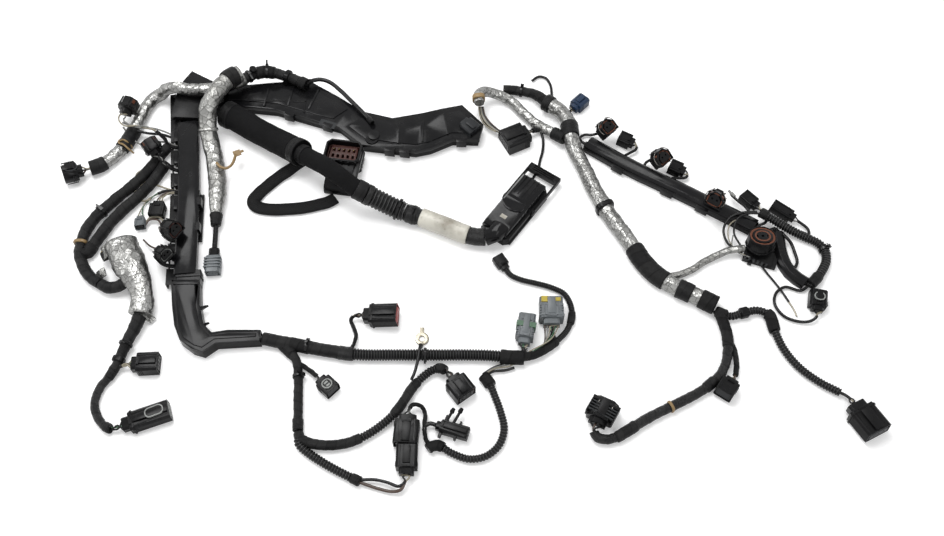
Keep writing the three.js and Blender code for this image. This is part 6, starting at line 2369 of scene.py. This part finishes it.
    def lower_tail(self) -> None:
        """Builds the lower left tail, its curved lead and the two plugs on it."""
        tail = Cable("left_tail_taped", LEFT_TAIL_LINE, self.tail_width, Wrap.TAPE).laid()
        loop = Cable("left_tail_sheath", LEFT_LOOP_LINE, self.loop, Wrap.TAPE, GLOSS_TAPE, trim=16)
        loop.build()
        lead = Cable("six_way_lead", SIX_WAY_LEAD, self.lead, Wrap.WIRE, trim=18).laid()
        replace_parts(lead.piece, "left_tail")
        six = Plug(
            "six_way_plug", lead, (38, 29, 20), boot=8.0, moat=2.0, seal=GREY_SEAL,
            wires=(CREAM_WIRE, BROWN_WIRE, GREEN_WIRE, CREAM_WIRE),
        )
        tail.declare(
            "connector", "left_tail",
            [lead.piece, *six.build(), tie(tail, 46, 0.1), collar(tail, 70, 8, BLACK, 1.4)],
        )
        flat = Plug(
            "flat_three_way_plug", loop, (66, 28, 16), boot=10.0, moat=1.8, reach=7.0, collar=1.2,
            seal=GREY_SEAL, block=GREY_SEAL, wires=(BLACK_WIRE, GREEN_WIRE, BLACK_WIRE),
        )
        parts = flat.build()
        lift = Vector((flat.size[0] - 19.0, 0.0, flat.size[2] / 2 + 1.6)) * MM
        face = flat.seat() @ Matrix.Translation(lift)
        parts += open_face("flat_three_way_mouth", face, (26, 15), 3, GREY_SEAL)
        loop.declare(
            "plug", "left_tail", [*parts, band(loop, 0, 18, TAPE, 0.7), band(loop, -12, 12, TAPE, 0.7)]
        )


@dataclass
class TopRun:
    """The taped run over the back trough and the thin lead above it."""

    run: float = 18.0
    lead: float = 7.0

    def build(self) -> None:
        """Builds the run and its lead."""
        run = Cable("back_run_taped", BACK_RUN_LINE, self.run, Wrap.TAPE).laid()
        lead = Cable("over_lead_sheath", OVER_LEAD_LINE, self.lead, Wrap.WIRE)
        lead.build()
        extras = [
            tie(run, 80, 0.05, 20), band(run, 22, 20, DULL_FOIL, 1.6), band(run, 60, 34, WIDE_TAPE, 1.4)
        ]
        extras += [
            collar(run, 118, 8, BLACK, 1.6), tie(run, 50, 0.3, 12), band(run, -14, 14, WIDE_TAPE, 1.2)
        ]
        knob = [
            Ring(0, 7, 7, 3), Ring(9, 6, 6, 3), Ring(9.2, 12, 12, 5.5), Ring(13, 12, 12, 5.5),
            Ring(15, 8, 8, 3.8),
        ]
        tipped = spot(-365, 229, 40) @ Matrix.Rotation(math.radians(-70), 4, "Y")
        extras.append(loft("back_run_knob", knob, tipped @ Matrix.Rotation(0.6, 4, "X"), BLACK))
        run.declare("object", "back_run", extras)
        lead.declare("object", "back_run", [band(lead, 0, 14, TAPE, 0.8), band(lead, -14, 14, TAPE, 0.8)])


@dataclass
class LowerBranches:
    """The lower trunk and everything that hangs from it."""

    trunk: float = 17.0
    grey_bundle: float = 9.0
    pink_lead: float = 6.0
    two_pin_lead: float = 7.0
    middle: float = 13.0
    arc: float = 12.5
    loop: float = 11.0
    lead: float = 6.0
    thin: float = 4.5

    def build(self) -> None:
        """Builds the lower branches from left to right."""
        trunk = Cable("lower_trunk_conduit", LOWER_TRUNK_LINE, self.trunk, Wrap.CONDUIT, pitch=4.0).laid()
        extras = [
            band(trunk, 0, 128, TAPE, 0.7), band(trunk, 40, 30, WIDE_TAPE, 1.3),
            band(trunk, -34, 34, WIDE_TAPE, 1.8),
        ]
        extras += [tie(trunk, 66, 0.12), tie(trunk, 236, 0.3), band(trunk, 112, 22, GLOSS_TAPE, 1.4)]
        trunk.declare("object", "lower_trunk", extras)
        self.side_leads()
        self.arcs()
        self.loop_end()
        self.grey_plugs()
        self.ground()

    def side_leads(self) -> None:
        """Builds the pink-seal plug, the two-pin plug and the middle drop."""
        pink = Cable("pink_seal_lead", PINK_LEAD, self.pink_lead, Wrap.TAPE, trim=16).laid()
        plug = Plug(
            "pink_seal_plug", pink, (50, 30, 20), boot=9.0, moat=2.4, collar=1.0, seal=PINK_SEAL,
            block=PINK_SEAL, wires=(BLACK_WIRE, CREAM_WIRE, BROWN_WIRE, BLACK_WIRE),
        )
        pink.declare("connector", "lower_trunk", plug.build())
        two = Cable("two_pin_lead_taped", TWO_PIN_LEAD, self.two_pin_lead, Wrap.TAPE, trim=10).laid()
        small = small_plug("two_pin_plug", two, (28, 24, 16), block=SLATE, wires=(BLACK_WIRE, GREY_WIRE))
        parts = small.build()
        face = small.seat() @ Matrix.Translation(Vector((17.0, 0.0, small.size[2] / 2 + 0.8)) * MM)
        parts += open_face("two_pin_mouth", face, (15, 15), 2, GREY_SEAL)
        two.declare("plug", "lower_trunk", parts)
        drop = Cable("middle_drop_taped", MIDDLE_DROP, self.middle, Wrap.TAPE).laid()
        drop.declare(
            "object", "lower_trunk",
            [band(drop, 0, 24, TAPE, 0.8), band(drop, -18, 18, TAPE, 0.9), tie(drop, 60, 0.1)],
        )

    def arcs(self) -> None:
        """Builds the upper and lower arcs with the square plug and the tall plugs."""
        upper = Cable("upper_arc_conduit", UPPER_ARC, self.arc, Wrap.CONDUIT, trim=14).laid()
        square = Plug(
            "square_plug", upper, (34, 32, 23), boot=6.0, moat=2.6, seal=RED_SEAL,
            wires=(BLACK_WIRE, BROWN_WIRE, GREY_WIRE, BLACK_WIRE),
        )
        upper.declare(
            "connector", "arc_conduits",
            [
                *square.build(), band(upper, 0, 96, TAPE, 0.6), band(upper, 150, 60, TAPE, 0.5),
                band(upper, -14, 14, TAPE, 0.8),
            ],
        )
        lower = Cable("lower_arc_conduit", LOWER_ARC, self.arc, Wrap.CONDUIT).laid()
        lead_a = Cable("tall_lead_a", TALL_LEAD_A, self.thin, Wrap.WIRE, trim=10)
        lead_b = Cable("tall_lead_b", TALL_LEAD_B, self.thin, Wrap.WIRE, BROWN_WIRE)
        for lead in (lead_a, lead_b):
            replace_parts(lead.build(), "arc_conduits")
        tall = Plug(
            "tall_plug_lower", lead_a, (40, 29, 20), boot=8.0, reach=4.0, wires=(BLACK_WIRE, CREAM_WIRE)
        )
        lower.declare(
            "connector", "arc_conduits",
            [lead_a.piece, lead_b.piece, *tall.build(), band(lower, -14, 14, TAPE, 0.8)],
        )

    def loop_end(self) -> None:
        """Builds the looped conduit, its taped knot and the plugs at its start."""
        loop = Cable("loop_conduit_ribbed", LOOP_LINE, self.loop, Wrap.CONDUIT).laid()
        tail = Cable("loop_tail_wire", LOOP_TAIL, 4.0, Wrap.WIRE)
        tail.build()
        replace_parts(tail.piece, "loop_conduit")
        upper_lead = Cable("tall_upper_lead", TALL_UPPER_LEAD, self.lead, Wrap.TAPE, trim=12).laid()
        tall = Plug(
            "tall_plug_upper", upper_lead, (42, 34, 22), boot=8.0, reach=4.0,
            wires=(BLACK_WIRE, GREY_WIRE, BLACK_WIRE),
        )
        for index, finish in enumerate((CREAM_WIRE, GREY_WIRE, BLACK_WIRE)):
            lift = 1.6 * index
            points = [
                place(p) for p in ((12, -297 + lift, 8), (28, -286 + lift, 7), (50, -281 + lift * 2, 6))
            ]
            points += [place((66, -272 + lift * 2, 8)), place((76, -262 + lift * 2, 12))]
            wire(f"loop_tail_strand_{index + 1}", points, 2.2, finish)
        clip_lead = Cable("clip_plug_lead", CLIP_LEAD, self.lead, Wrap.WIRE).laid()
        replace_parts(clip_lead.piece, "loop_conduit")
        clip = Plug("clip_plug", clip_lead, (46, 18, 14), boot=6.0, moat=1.6, wall=1.4)
        parts = clip.build()
        seat = clip.seat()
        for index, (x, high) in enumerate(((12.0, 22.0), (22.0, 26.0))):
            peg = [
                Ring(0, 4.4, 4.4, 2), Ring(high - 8, 4, 4, 1.9), Ring(high - 6, 7, 7, 3.2),
                Ring(high, 5, 5, 2.4),
            ]
            lean = seat @ Matrix.Translation(Vector((x, 6.0, 4.0)) * MM) @ Matrix.Rotation(1.45, 4, "Z")
            parts.append(loft(f"clip_plug_peg_{index + 1}", peg, lean, BLACK))
        wing = [(8, 12, -17, 17, -4, 2), (30, 33, -14, 14, -3, 4)]
        parts.append(blocks("clip_plug_wings", seat, wing, BLACK, 0.4))
        knot = band(loop, -18, 18, WIDE_TAPE, 3.0)
        parts += [tail.piece, clip_lead.piece, band(loop, 0, 24, WIDE_TAPE, 1.8), knot]
        loop.declare("object", "loop_conduit", parts)
        upper_lead.declare("connector", "loop_conduit", tall.build())

    def grey_plugs(self) -> None:
        """Builds the taped conduit to the two grey plugs."""
        bundle = Cable(
            "grey_bundle_conduit", GREY_BUNDLE_LINE, self.grey_bundle, Wrap.CONDUIT, pitch=2.8
        ).laid()
        lead_a = Cable("grey_lead_a_wrap", GREY_LEAD_A, self.lead, Wrap.WIRE, trim=5)
        lead_b = Cable("grey_lead_b_wrap", GREY_LEAD_B, self.lead, Wrap.WIRE, trim=8)
        for lead in (lead_a, lead_b):
            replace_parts(lead.build(), "lower_trunk")
        plug_a = Plug(
            "grey_plug_a", lead_a, (46, 25, 20), finish=GREY, boot=8.0, moat=2.0, seal=GREEN_WIRE,
            block=GREY, wires=(CREAM_WIRE, GREEN_WIRE, BLACK_WIRE),
        )
        plug_b = Plug(
            "grey_plug_b", lead_b, (42, 34, 24), finish=GREY, boot=8.0, moat=2.6, collar=1.2, seal=YELLOW,
            block=GREY, wires=(CREAM_WIRE, GREEN_WIRE, BLACK_WIRE, BROWN_WIRE),
        )
        parts = [*plug_a.build(), *plug_b.build()]
        jumper = small_plug("jumper_plug", bundle, (24, 18, 13), block=GREY_SEAL)
        parts += jumper.build()
        parts += [lead_a.piece, lead_b.piece]
        self.locks(plug_a.seat(), plug_b.seat())
        bands = [band(bundle, 0, 60, WIDE_TAPE, 1.8), band(bundle, 96, 20, TAPE, 1.0)]
        bundle.declare("connector", "lower_trunk", [*bands, *parts][:MOST_WITH_CORD])

    def locks(self, seat_a: Matrix, seat_b: Matrix) -> None:
        """Adds the coloured locks on the two grey plugs and the wires between them.

        Args:
            seat_a: The first plug's frame.
            seat_b: The second plug's frame.
        """
        blocks("grey_plug_a_band", seat_a, [(24, 32, -14.2, 14.2, -6, 11.6)], GREEN_WIRE, 0.4)
        blocks("grey_plug_a_lock", seat_a, [(9, 20, -7, 7, 8, 12.2), (35, 43, -8, 8, 8, 11.4)], GREY, 0.5)
        blocks(
            "grey_plug_b_lock", seat_b, [(11, 25, -10, 10, 9, 13.8), (27, 31, -17, 17, 9, 13)], GREY, 0.5
        )
        tabs = [(32, 41.5, 4, 15, 11.0, 14.2), (34, 40, -13, -5, 11.0, 13.6)]
        blocks("grey_plug_b_tabs", seat_b, tabs, YELLOW, 0.4)
        blocks("grey_plug_b_key", seat_b, [(14, 19, -3, 2, 12.6, 14.6)], BLUE, 0.3)
        ribs = [(10 + k * 4.5, 12 + k * 4.5, -17.4, 17.4, -9, 12.3) for k in range(4)]
        blocks("grey_plug_b_ribs", seat_b, ribs, GREY, 0.3)
        rows = [(10 + k * 3.6, 11.6 + k * 3.6, -12.9, 12.9, -8, 10.6) for k in range(3)]
        blocks("grey_plug_a_ribs", seat_a, rows, GREY, 0.3)
        finishes = (CREAM_WIRE, GREEN_WIRE, BLACK_WIRE, CREAM_WIRE, GREY_WIRE, BROWN_WIRE)
        for index, finish in enumerate(finishes):
            start = seat_b @ (Vector((1.5, -11 + 4.2 * index, 0.0)) * MM)
            foot = place((78 + index * 3.4, -262 - index * 0.8, 14 - index))
            middle = start.lerp(foot, 0.5) + Vector((9 - index * 1.2, -4 + index, 5 - index)) * MM
            wire(f"grey_cross_wire_{index + 1}", [start, middle, foot], 1.9, finish)

    def ground(self) -> None:
        """Builds the earth lead and its ring terminal."""
        lead = Cable("ground_lead_wire", GROUND_LEAD, self.thin, Wrap.WIRE).laid()
        ring = casing("ring_terminal", TINNED, 0.2)
        lead.declare(
            "fitting", "ground_lead", [ring, collar(lead, -9 + length_of(lead.line) / MM, 9, BLACK, 0.7)]
        )


@dataclass
class RightBranches:
    """The foil branches at the right, the drop, the tail and the loop."""

    main: float = 25.0
    short: float = 17.0
    thin_foil: float = 11.0
    top: float = 16.0
    drop: float = 14.0
    sub: float = 8.0
    tail: float = 12.0
    loop: float = 14.0
    lead: float = 9.0
    thin: float = 4.5

    def build(self) -> None:
        """Builds the right branches from the top down."""
        main = Cable("right_foil_wrap", RIGHT_FOIL_LINE, self.main, Wrap.FOIL).laid()
        extras = [
            band(main, 62, 26, TAPE, 1.9), band(main, 310, 72, WIDE_TAPE, 1.9),
            band(main, 404, 22, TAPE, 1.9),
        ]
        extras += [
            band(main, 440, 24, WIDE_TAPE, 1.9), band(main, 0, 14, TAPE, 1.6),
            collar(main, 228, 8, BLACK, 2.2),
        ]
        main.declare("object", "right_foil_branch", extras)
        short = Cable("short_foil_wrap", SHORT_FOIL_LINE, self.short, Wrap.FOIL).laid()
        short.declare(
            "object", "right_foil_branch",
            [collar(short, 9, 8, OCHRE, 1.8), band(short, -24, 24, TAPE, 1.7)],
        )
        thin = Cable("thin_foil_wrap", THIN_FOIL_LINE, self.thin_foil, Wrap.FOIL, DULL_FOIL).laid()
        thin.declare("object", "right_foil_branch", [band(thin, 0, 14, TAPE, 1.4)])
        top = Cable("top_run_taped", TOP_TAPE_LINE, self.top, Wrap.TAPE).laid()
        top.declare("object", "right_foil_branch", [band(top, -22, 22, WIDE_TAPE, 0.9), tie(top, 30, 0.1)])
        self.small_leads()
        self.drop_and_tail()
        self.end_loop()

    def small_leads(self) -> None:
        """Builds the hook wire, the lead to the control-unit plug and the two top plugs."""
        hook = Cable("hook_wire", HOOK_LINE, self.thin, Wrap.WIRE).laid()
        hook.declare("bare", "right_foil_branch", [])
        unit = Cable("unit_plug_lead", UNIT_LEAD, self.thin, Wrap.WIRE).laid()
        unit.declare("object", "right_foil_branch", [])
        fan = Cable("multiway_lead", BLACK_PLUG_LEAD, self.lead, Wrap.TAPE, trim=8).laid()
        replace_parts(fan.piece, "right_foil_branch")
        Plug(
            "black_multiway_plug", fan, (44, 40, 22), boot=6.0, moat=2.4, seal=GREY_SEAL,
            wires=(BLACK_WIRE, CREAM_WIRE, BROWN_WIRE, GREY_WIRE, BLACK_WIRE),
        ).build()
        fan_wires = (CREAM_WIRE, BLACK_WIRE, CREAM_WIRE, GREY_WIRE, BLACK_WIRE, BROWN_WIRE)
        for index, finish in enumerate(fan_wires):
            across = index * 2.4
            points = (
                (8 + across * 0.6, 176, 20), (10 + across * 0.7, 163, 14), (16 + across, 149, 11),
                (26 + across, 137, 12),
            )
            ends = (*points, (36 + across, 130 - across * 0.3, 13))
            wire(f"multiway_fan_{index + 1}", [place(p) for p in ends], 2.4, finish)
        lead = Cable("blue_plug_lead", BLUE_LEAD, self.thin, Wrap.WIRE, trim=6).laid()
        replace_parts(lead.piece, "right_foil_branch")
        Plug(
            "blue_plug", lead, (30, 22, 16), finish=BLUE, boot=6.0, moat=1.8, wires=(BLACK_WIRE, CREAM_WIRE)
        ).build()

    def drop_and_tail(self) -> None:
        """Builds the right drop, its side branch and the tail with their plugs."""
        drop = Cable("right_drop_taped", RIGHT_DROP_LINE, self.drop, Wrap.TAPE, GLOSS_TAPE, trim=12).laid()
        compact = Plug(
            "compact_plug", drop, (38, 36, 21), collar=1.2, corner=8.0, moat=2.4, boot=7.0, block=RED_SEAL,
            seal=RED_SEAL, wires=(BLACK_WIRE, BROWN_WIRE, BLACK_WIRE), bail=True,
        )
        seat = compact.seat()
        slats = [(12 + k * 4.4, 14 + k * 4.4, -18.8, 18.8, 2, 12.6) for k in range(5)]
        blocks("compact_plug_slats", seat, slats, SLATE, 0.4)
        frames = [
            (8, 34, -20.5, -18.5, -4, 12), (8, 34, 18.5, 20.5, -4, 12), (30, 34, -20.5, 20.5, 6, 13.6)
        ]
        blocks("compact_plug_frame", seat, frames, BLACK, 0.5)
        extras = [band(drop, 0, 58, WIDE_TAPE, 1.0), collar(drop, 195, 4, OCHRE, 1.2)]
        extras += [band(drop, 118, 18, TAPE, 0.9), band(drop, 252, 34, TAPE, 0.9)]
        drop.declare("plug", "right_tail_branches", [*compact.build(), *extras])
        sub = Cable("sub_branch_taped", SUB_BRANCH_LINE, self.sub, Wrap.TAPE, trim=12).laid()
        small = small_plug(
            "sub_branch_plug", sub, (30, 26, 18), block=SLATE, seal=SLATE, wires=(BROWN_WIRE, CREAM_WIRE)
        )
        sub.declare("plug", "right_tail_branches", small.build())
        tail = Cable("right_tail_conduit", RIGHT_TAIL_LINE, self.tail, Wrap.CONDUIT).laid()
        lead = Cable("tail_plug_lead", TAIL_WIRE, 4.4, Wrap.WIRE, trim=8).laid()
        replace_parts(lead.piece, "right_tail_branches")
        plug = Plug(
            "tail_plug", lead, (50, 38, 22), collar=1.2, boot=10.0, block=SLATE,
            wires=(BLACK_WIRE, CREAM_WIRE, BLACK_WIRE),
        )
        extras = [
            band(tail, 78, 32, WIDE_TAPE, 2.6), collar(tail, 44, 12, BLACK, 1.8),
            band(tail, 0, 16, WIDE_TAPE, 2.4),
        ]
        tail.declare("connector", "right_tail_branches", [lead.piece, *plug.build(), *extras])

    def end_loop(self) -> None:
        """Builds the corrugated loop at the right end, the thin loop and the last plugs."""
        casing("seal_ring_plug", BLACK, 0.5)
        self.big_seal()
        end = Cable("end_trough_cable", END_CABLE_LINE, 8.0, Wrap.CONDUIT, pitch=2.6).laid()
        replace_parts(end.piece, "right_loop")
        loop = Cable("right_loop_conduit", RIGHT_LOOP_LINE, self.loop, Wrap.CONDUIT).laid()
        loop.declare(
            "object", "right_loop",
            [band(loop, 0, 12, TAPE, 0.8), tie(loop, 112, 0.1), band(loop, -22, 22, TAPE, 1.2)],
        )
        thin = Cable("right_thin_loop", RIGHT_THIN_LINE, self.thin, Wrap.WIRE, trim=8).laid()
        plug = Plug(
            "end_plug", thin, (32, 25, 18), boot=6.0, moat=2.0, block=SLATE, wires=(CREAM_WIRE, BLACK_WIRE)
        )
        thin.declare("plug", "right_loop", plug.build())
        box_lead = Cable("flat_box_lead", BOX_LEAD, self.thin, Wrap.WIRE, trim=6).laid()
        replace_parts(box_lead.piece, "right_loop")
        small_plug(
            "flat_box_plug", box_lead, (40, 18, 15), block=SLATE, wires=(BLACK_WIRE, GREY_WIRE)
        ).build()
        face = plug.seat() @ Matrix.Translation(Vector((20.0, 0.0, 10.4)) * MM)
        open_face("end_plug_mouth", face, (14, 16), 2, GREY_SEAL)
        self.end_wires()

    def end_wires(self) -> None:
        """Adds the loose wires and pins round the large round plug."""
        for index, (finish, gauge, points) in enumerate(RIGHT_END_WIRES):
            wire(f"right_end_wire_{index + 1}", [place(p) for p in points], gauge, finish)
        pin = [Ring(0, 6, 6, 2.8), Ring(8, 6, 6, 2.8), Ring(8.2, 4, 4, 1.9), Ring(14, 4, 4, 1.9)]
        loft("right_end_pin", pin, spot(404, 1, 16, 122), GREY_WIRE)
        ears = [
            (-12, 26, 8, 13, 0, 6), (-14, -8, -20, 12, 0, 7), (20, 27, -16, 10, 0, 8),
            (-2, 14, 16, 24, 6, 11),
        ]
        blocks("seal_ring_plug_ears", spot(431, -98, 1.0, -20), ears, BLACK, 0.5)
        cage = [(-17 + k * 6.5, -14 + k * 6.5, -1.2, 1.2, 0, 7) for k in range(6)]
        blocks("seal_ring_plug_slats", spot(421, -112, 8, -25), cage, SLATE, 0.3)

    def big_seal(self) -> None:
        """Adds the orange seal rings in the mouth of the large round plug."""
        seat = seat_at_end([place((431, -88.4, 4)), place((431, -88.2, 5)), place((431, -88, 6))])
        points = [seat.inverted() @ v.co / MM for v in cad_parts["seal_ring_plug"].data.vertices]
        front = max(p.x for p in points)
        rim = sorted(p.z for p in points if p.x > front - 0.5)
        centred = seat @ Matrix.Translation(Vector((front, 0.0, sum(rim) / len(rim))) * MM)
        sizes = ((38.0, 31.5, 8.0, 1.0), (24.0, 19.0, 6.0, -0.4))
        for index, (outer, inner, deep, shallow) in enumerate(sizes):
            rings = [Ring(-deep, outer, outer - 2, outer / 2), Ring(-shallow, outer, outer - 2, outer / 2)]
            rings += [Ring(-shallow, inner, inner - 2, inner / 2), Ring(-deep, inner, inner - 2, inner / 2)]
            loft(f"seal_ring_plug_ring_{index + 1}", rings, centred, ORANGE_SEAL, closed=True)


@dataclass
class Loose:
    """The bare pigtail beside the large round plug."""

    gauge: float = 3.4

    def build(self) -> None:
        """Builds the pigtail with its bare end."""
        route = ((428, -108, 6), (436, -124, 4), (447, -142, 3), (456, -158, 2.4), (464, -176, 2.4))
        wire("pigtail_jacket", [place(p) for p in route], self.gauge, BLACK_WIRE)
        bare = [place(p) for p in ((463, -174, 2.4), (467, -183, 2.2), (470, -191, 2.0), (472, -200, 1.8))]
        wire("pigtail_bare", bare, 2.4, TINNED)


@dataclass
class Studio:
    """A pale floor, soft light and a camera at the photograph's angle.

    Attributes:
        distance: The camera's distance in metres.
        elevation: Its height above the floor, in degrees.
        lens: Its focal length in millimetres.
        sky: The strength of the light from the world.
        glow: The share of plain white that the camera sees in the floor.
        target: What the camera looks at, in metres.
        sunk: How far the floor lies under the layout's zero, in metres.
    """

    distance: float = 1.5
    elevation: float = 60.0
    lens: float = 38.0
    sky: float = 0.42
    glow: float = 0.2
    target: Point = (-0.0007, -0.107, 0.0)
    sunk: float = 0.0004

    def build(self) -> None:
        """Builds the studio."""
        self.camera()
        self.floor()
        self.lamps()
        self.world()
        bpy.context.scene.view_settings.view_transform = "Standard"

    def camera(self) -> None:
        """Places the camera in front, looking down at the middle of the layout."""
        data = bpy.data.cameras.new("camera")
        data.lens = self.lens
        data.sensor_width = 36.0
        data.clip_end = 20.0
        camera = bpy.data.objects.new("camera", data)
        angle = math.radians(self.elevation)
        camera.location = Vector(self.target) + Vector(
            (0.0, -math.cos(angle), math.sin(angle))
        ) * self.distance
        camera.rotation_euler = (math.radians(90.0 - self.elevation), 0.0, 0.0)
        bpy.context.scene.collection.objects.link(camera)
        bpy.context.scene.camera = camera

    def floor(self) -> None:
        """Lays the pale floor, whose far parts read as plain white."""
        mesh = bmesh.new()
        bmesh.ops.create_grid(mesh, x_segments=1, y_segments=1, size=4.0)
        data = bpy.data.meshes.new("floor")
        mesh.to_mesh(data)
        mesh.free()
        floor = bpy.data.objects.new("floor", data)
        bpy.context.scene.collection.objects.link(floor)
        floor.location.z = -self.sunk
        material = bpy.data.materials.new("pale_floor")
        material.use_nodes = True
        shader = material.node_tree.nodes["Principled BSDF"]
        shader.inputs["Base Color"].default_value = (0.92, 0.92, 0.92, 1.0)
        shader.inputs["Roughness"].default_value = 0.7
        shader.inputs["Emission Color"].default_value = (1.0, 1.0, 1.0, 1.0)
        path = material.node_tree.nodes.new("ShaderNodeLightPath")
        glow = material.node_tree.nodes.new("ShaderNodeMath")
        glow.operation = "MULTIPLY"
        glow.inputs[1].default_value = self.glow
        material.node_tree.links.new(path.outputs["Is Camera Ray"], glow.inputs[0])
        material.node_tree.links.new(glow.outputs[0], shader.inputs["Emission Strength"])
        floor.data.materials.append(material)

    def lamps(self) -> None:
        """Sets a broad lamp above the layout and two weaker ones beside it."""
        for name, where, turn, size, power in (
            ("lamp_above", (-0.5, 0.5, 2.2), (-12.0, -14.0, 0.0), 1.3, 42.0),
            ("lamp_front", (0.9, -1.6, 1.8), (42.0, 26.0, 0.0), 1.2, 14.0),
            ("lamp_left", (-2.2, 0.3, 1.1), (0.0, -64.0, 0.0), 0.9, 10.0),
        ):
            data = bpy.data.lights.new(name, "AREA")
            data.size = size
            data.energy = power
            lamp = bpy.data.objects.new(name, data)
            lamp.location = where
            lamp.rotation_euler = tuple(math.radians(a) for a in turn)
            bpy.context.scene.collection.objects.link(lamp)

    def world(self) -> None:
        """Surrounds the layout with light that is dim, but white to the camera and in reflections."""
        world = bpy.data.worlds.new("pale_world")
        world.use_nodes = True
        nodes, links = world.node_tree.nodes, world.node_tree.links
        background = nodes["Background"]
        path = nodes.new("ShaderNodeLightPath")
        mirrored = nodes.new("ShaderNodeMath")
        mirrored.operation = "MAXIMUM"
        links.new(path.outputs["Is Glossy Ray"], mirrored.inputs[0])
        links.new(path.outputs["Is Transmission Ray"], mirrored.inputs[1])
        seen = nodes.new("ShaderNodeMath")
        seen.operation = "MAXIMUM"
        strength = nodes.new("ShaderNodeMapRange")
        strength.inputs["To Min"].default_value = self.sky
        strength.inputs["To Max"].default_value = 1.0
        links.new(path.outputs["Is Camera Ray"], seen.inputs[0])
        links.new(mirrored.outputs[0], seen.inputs[1])
        links.new(seen.outputs[0], strength.inputs["Value"])
        links.new(strength.outputs[0], background.inputs["Strength"])
        background.inputs["Color"].default_value = (1.0, 1.0, 1.0, 1.0)
        bpy.context.scene.world = world


def main() -> None:
    """Builds the studio and every sub-assembly in turn."""
    logging.basicConfig(level=logging.INFO, format="%(message)s")
    Studio().build()
    for part in (
        LeftTrough(),
        BackTrough(),
        RightTrough(),
        UnitPlug(),
        SocketPlug(),
        Trunk(),
        LeftBranches(),
        TopRun(),
        LowerBranches(),
        RightBranches(),
        Loose(),
    ):
        LOG.info("building %s", type(part).__name__)
        part.build()
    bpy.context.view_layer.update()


if __name__ == "__main__":
    main()
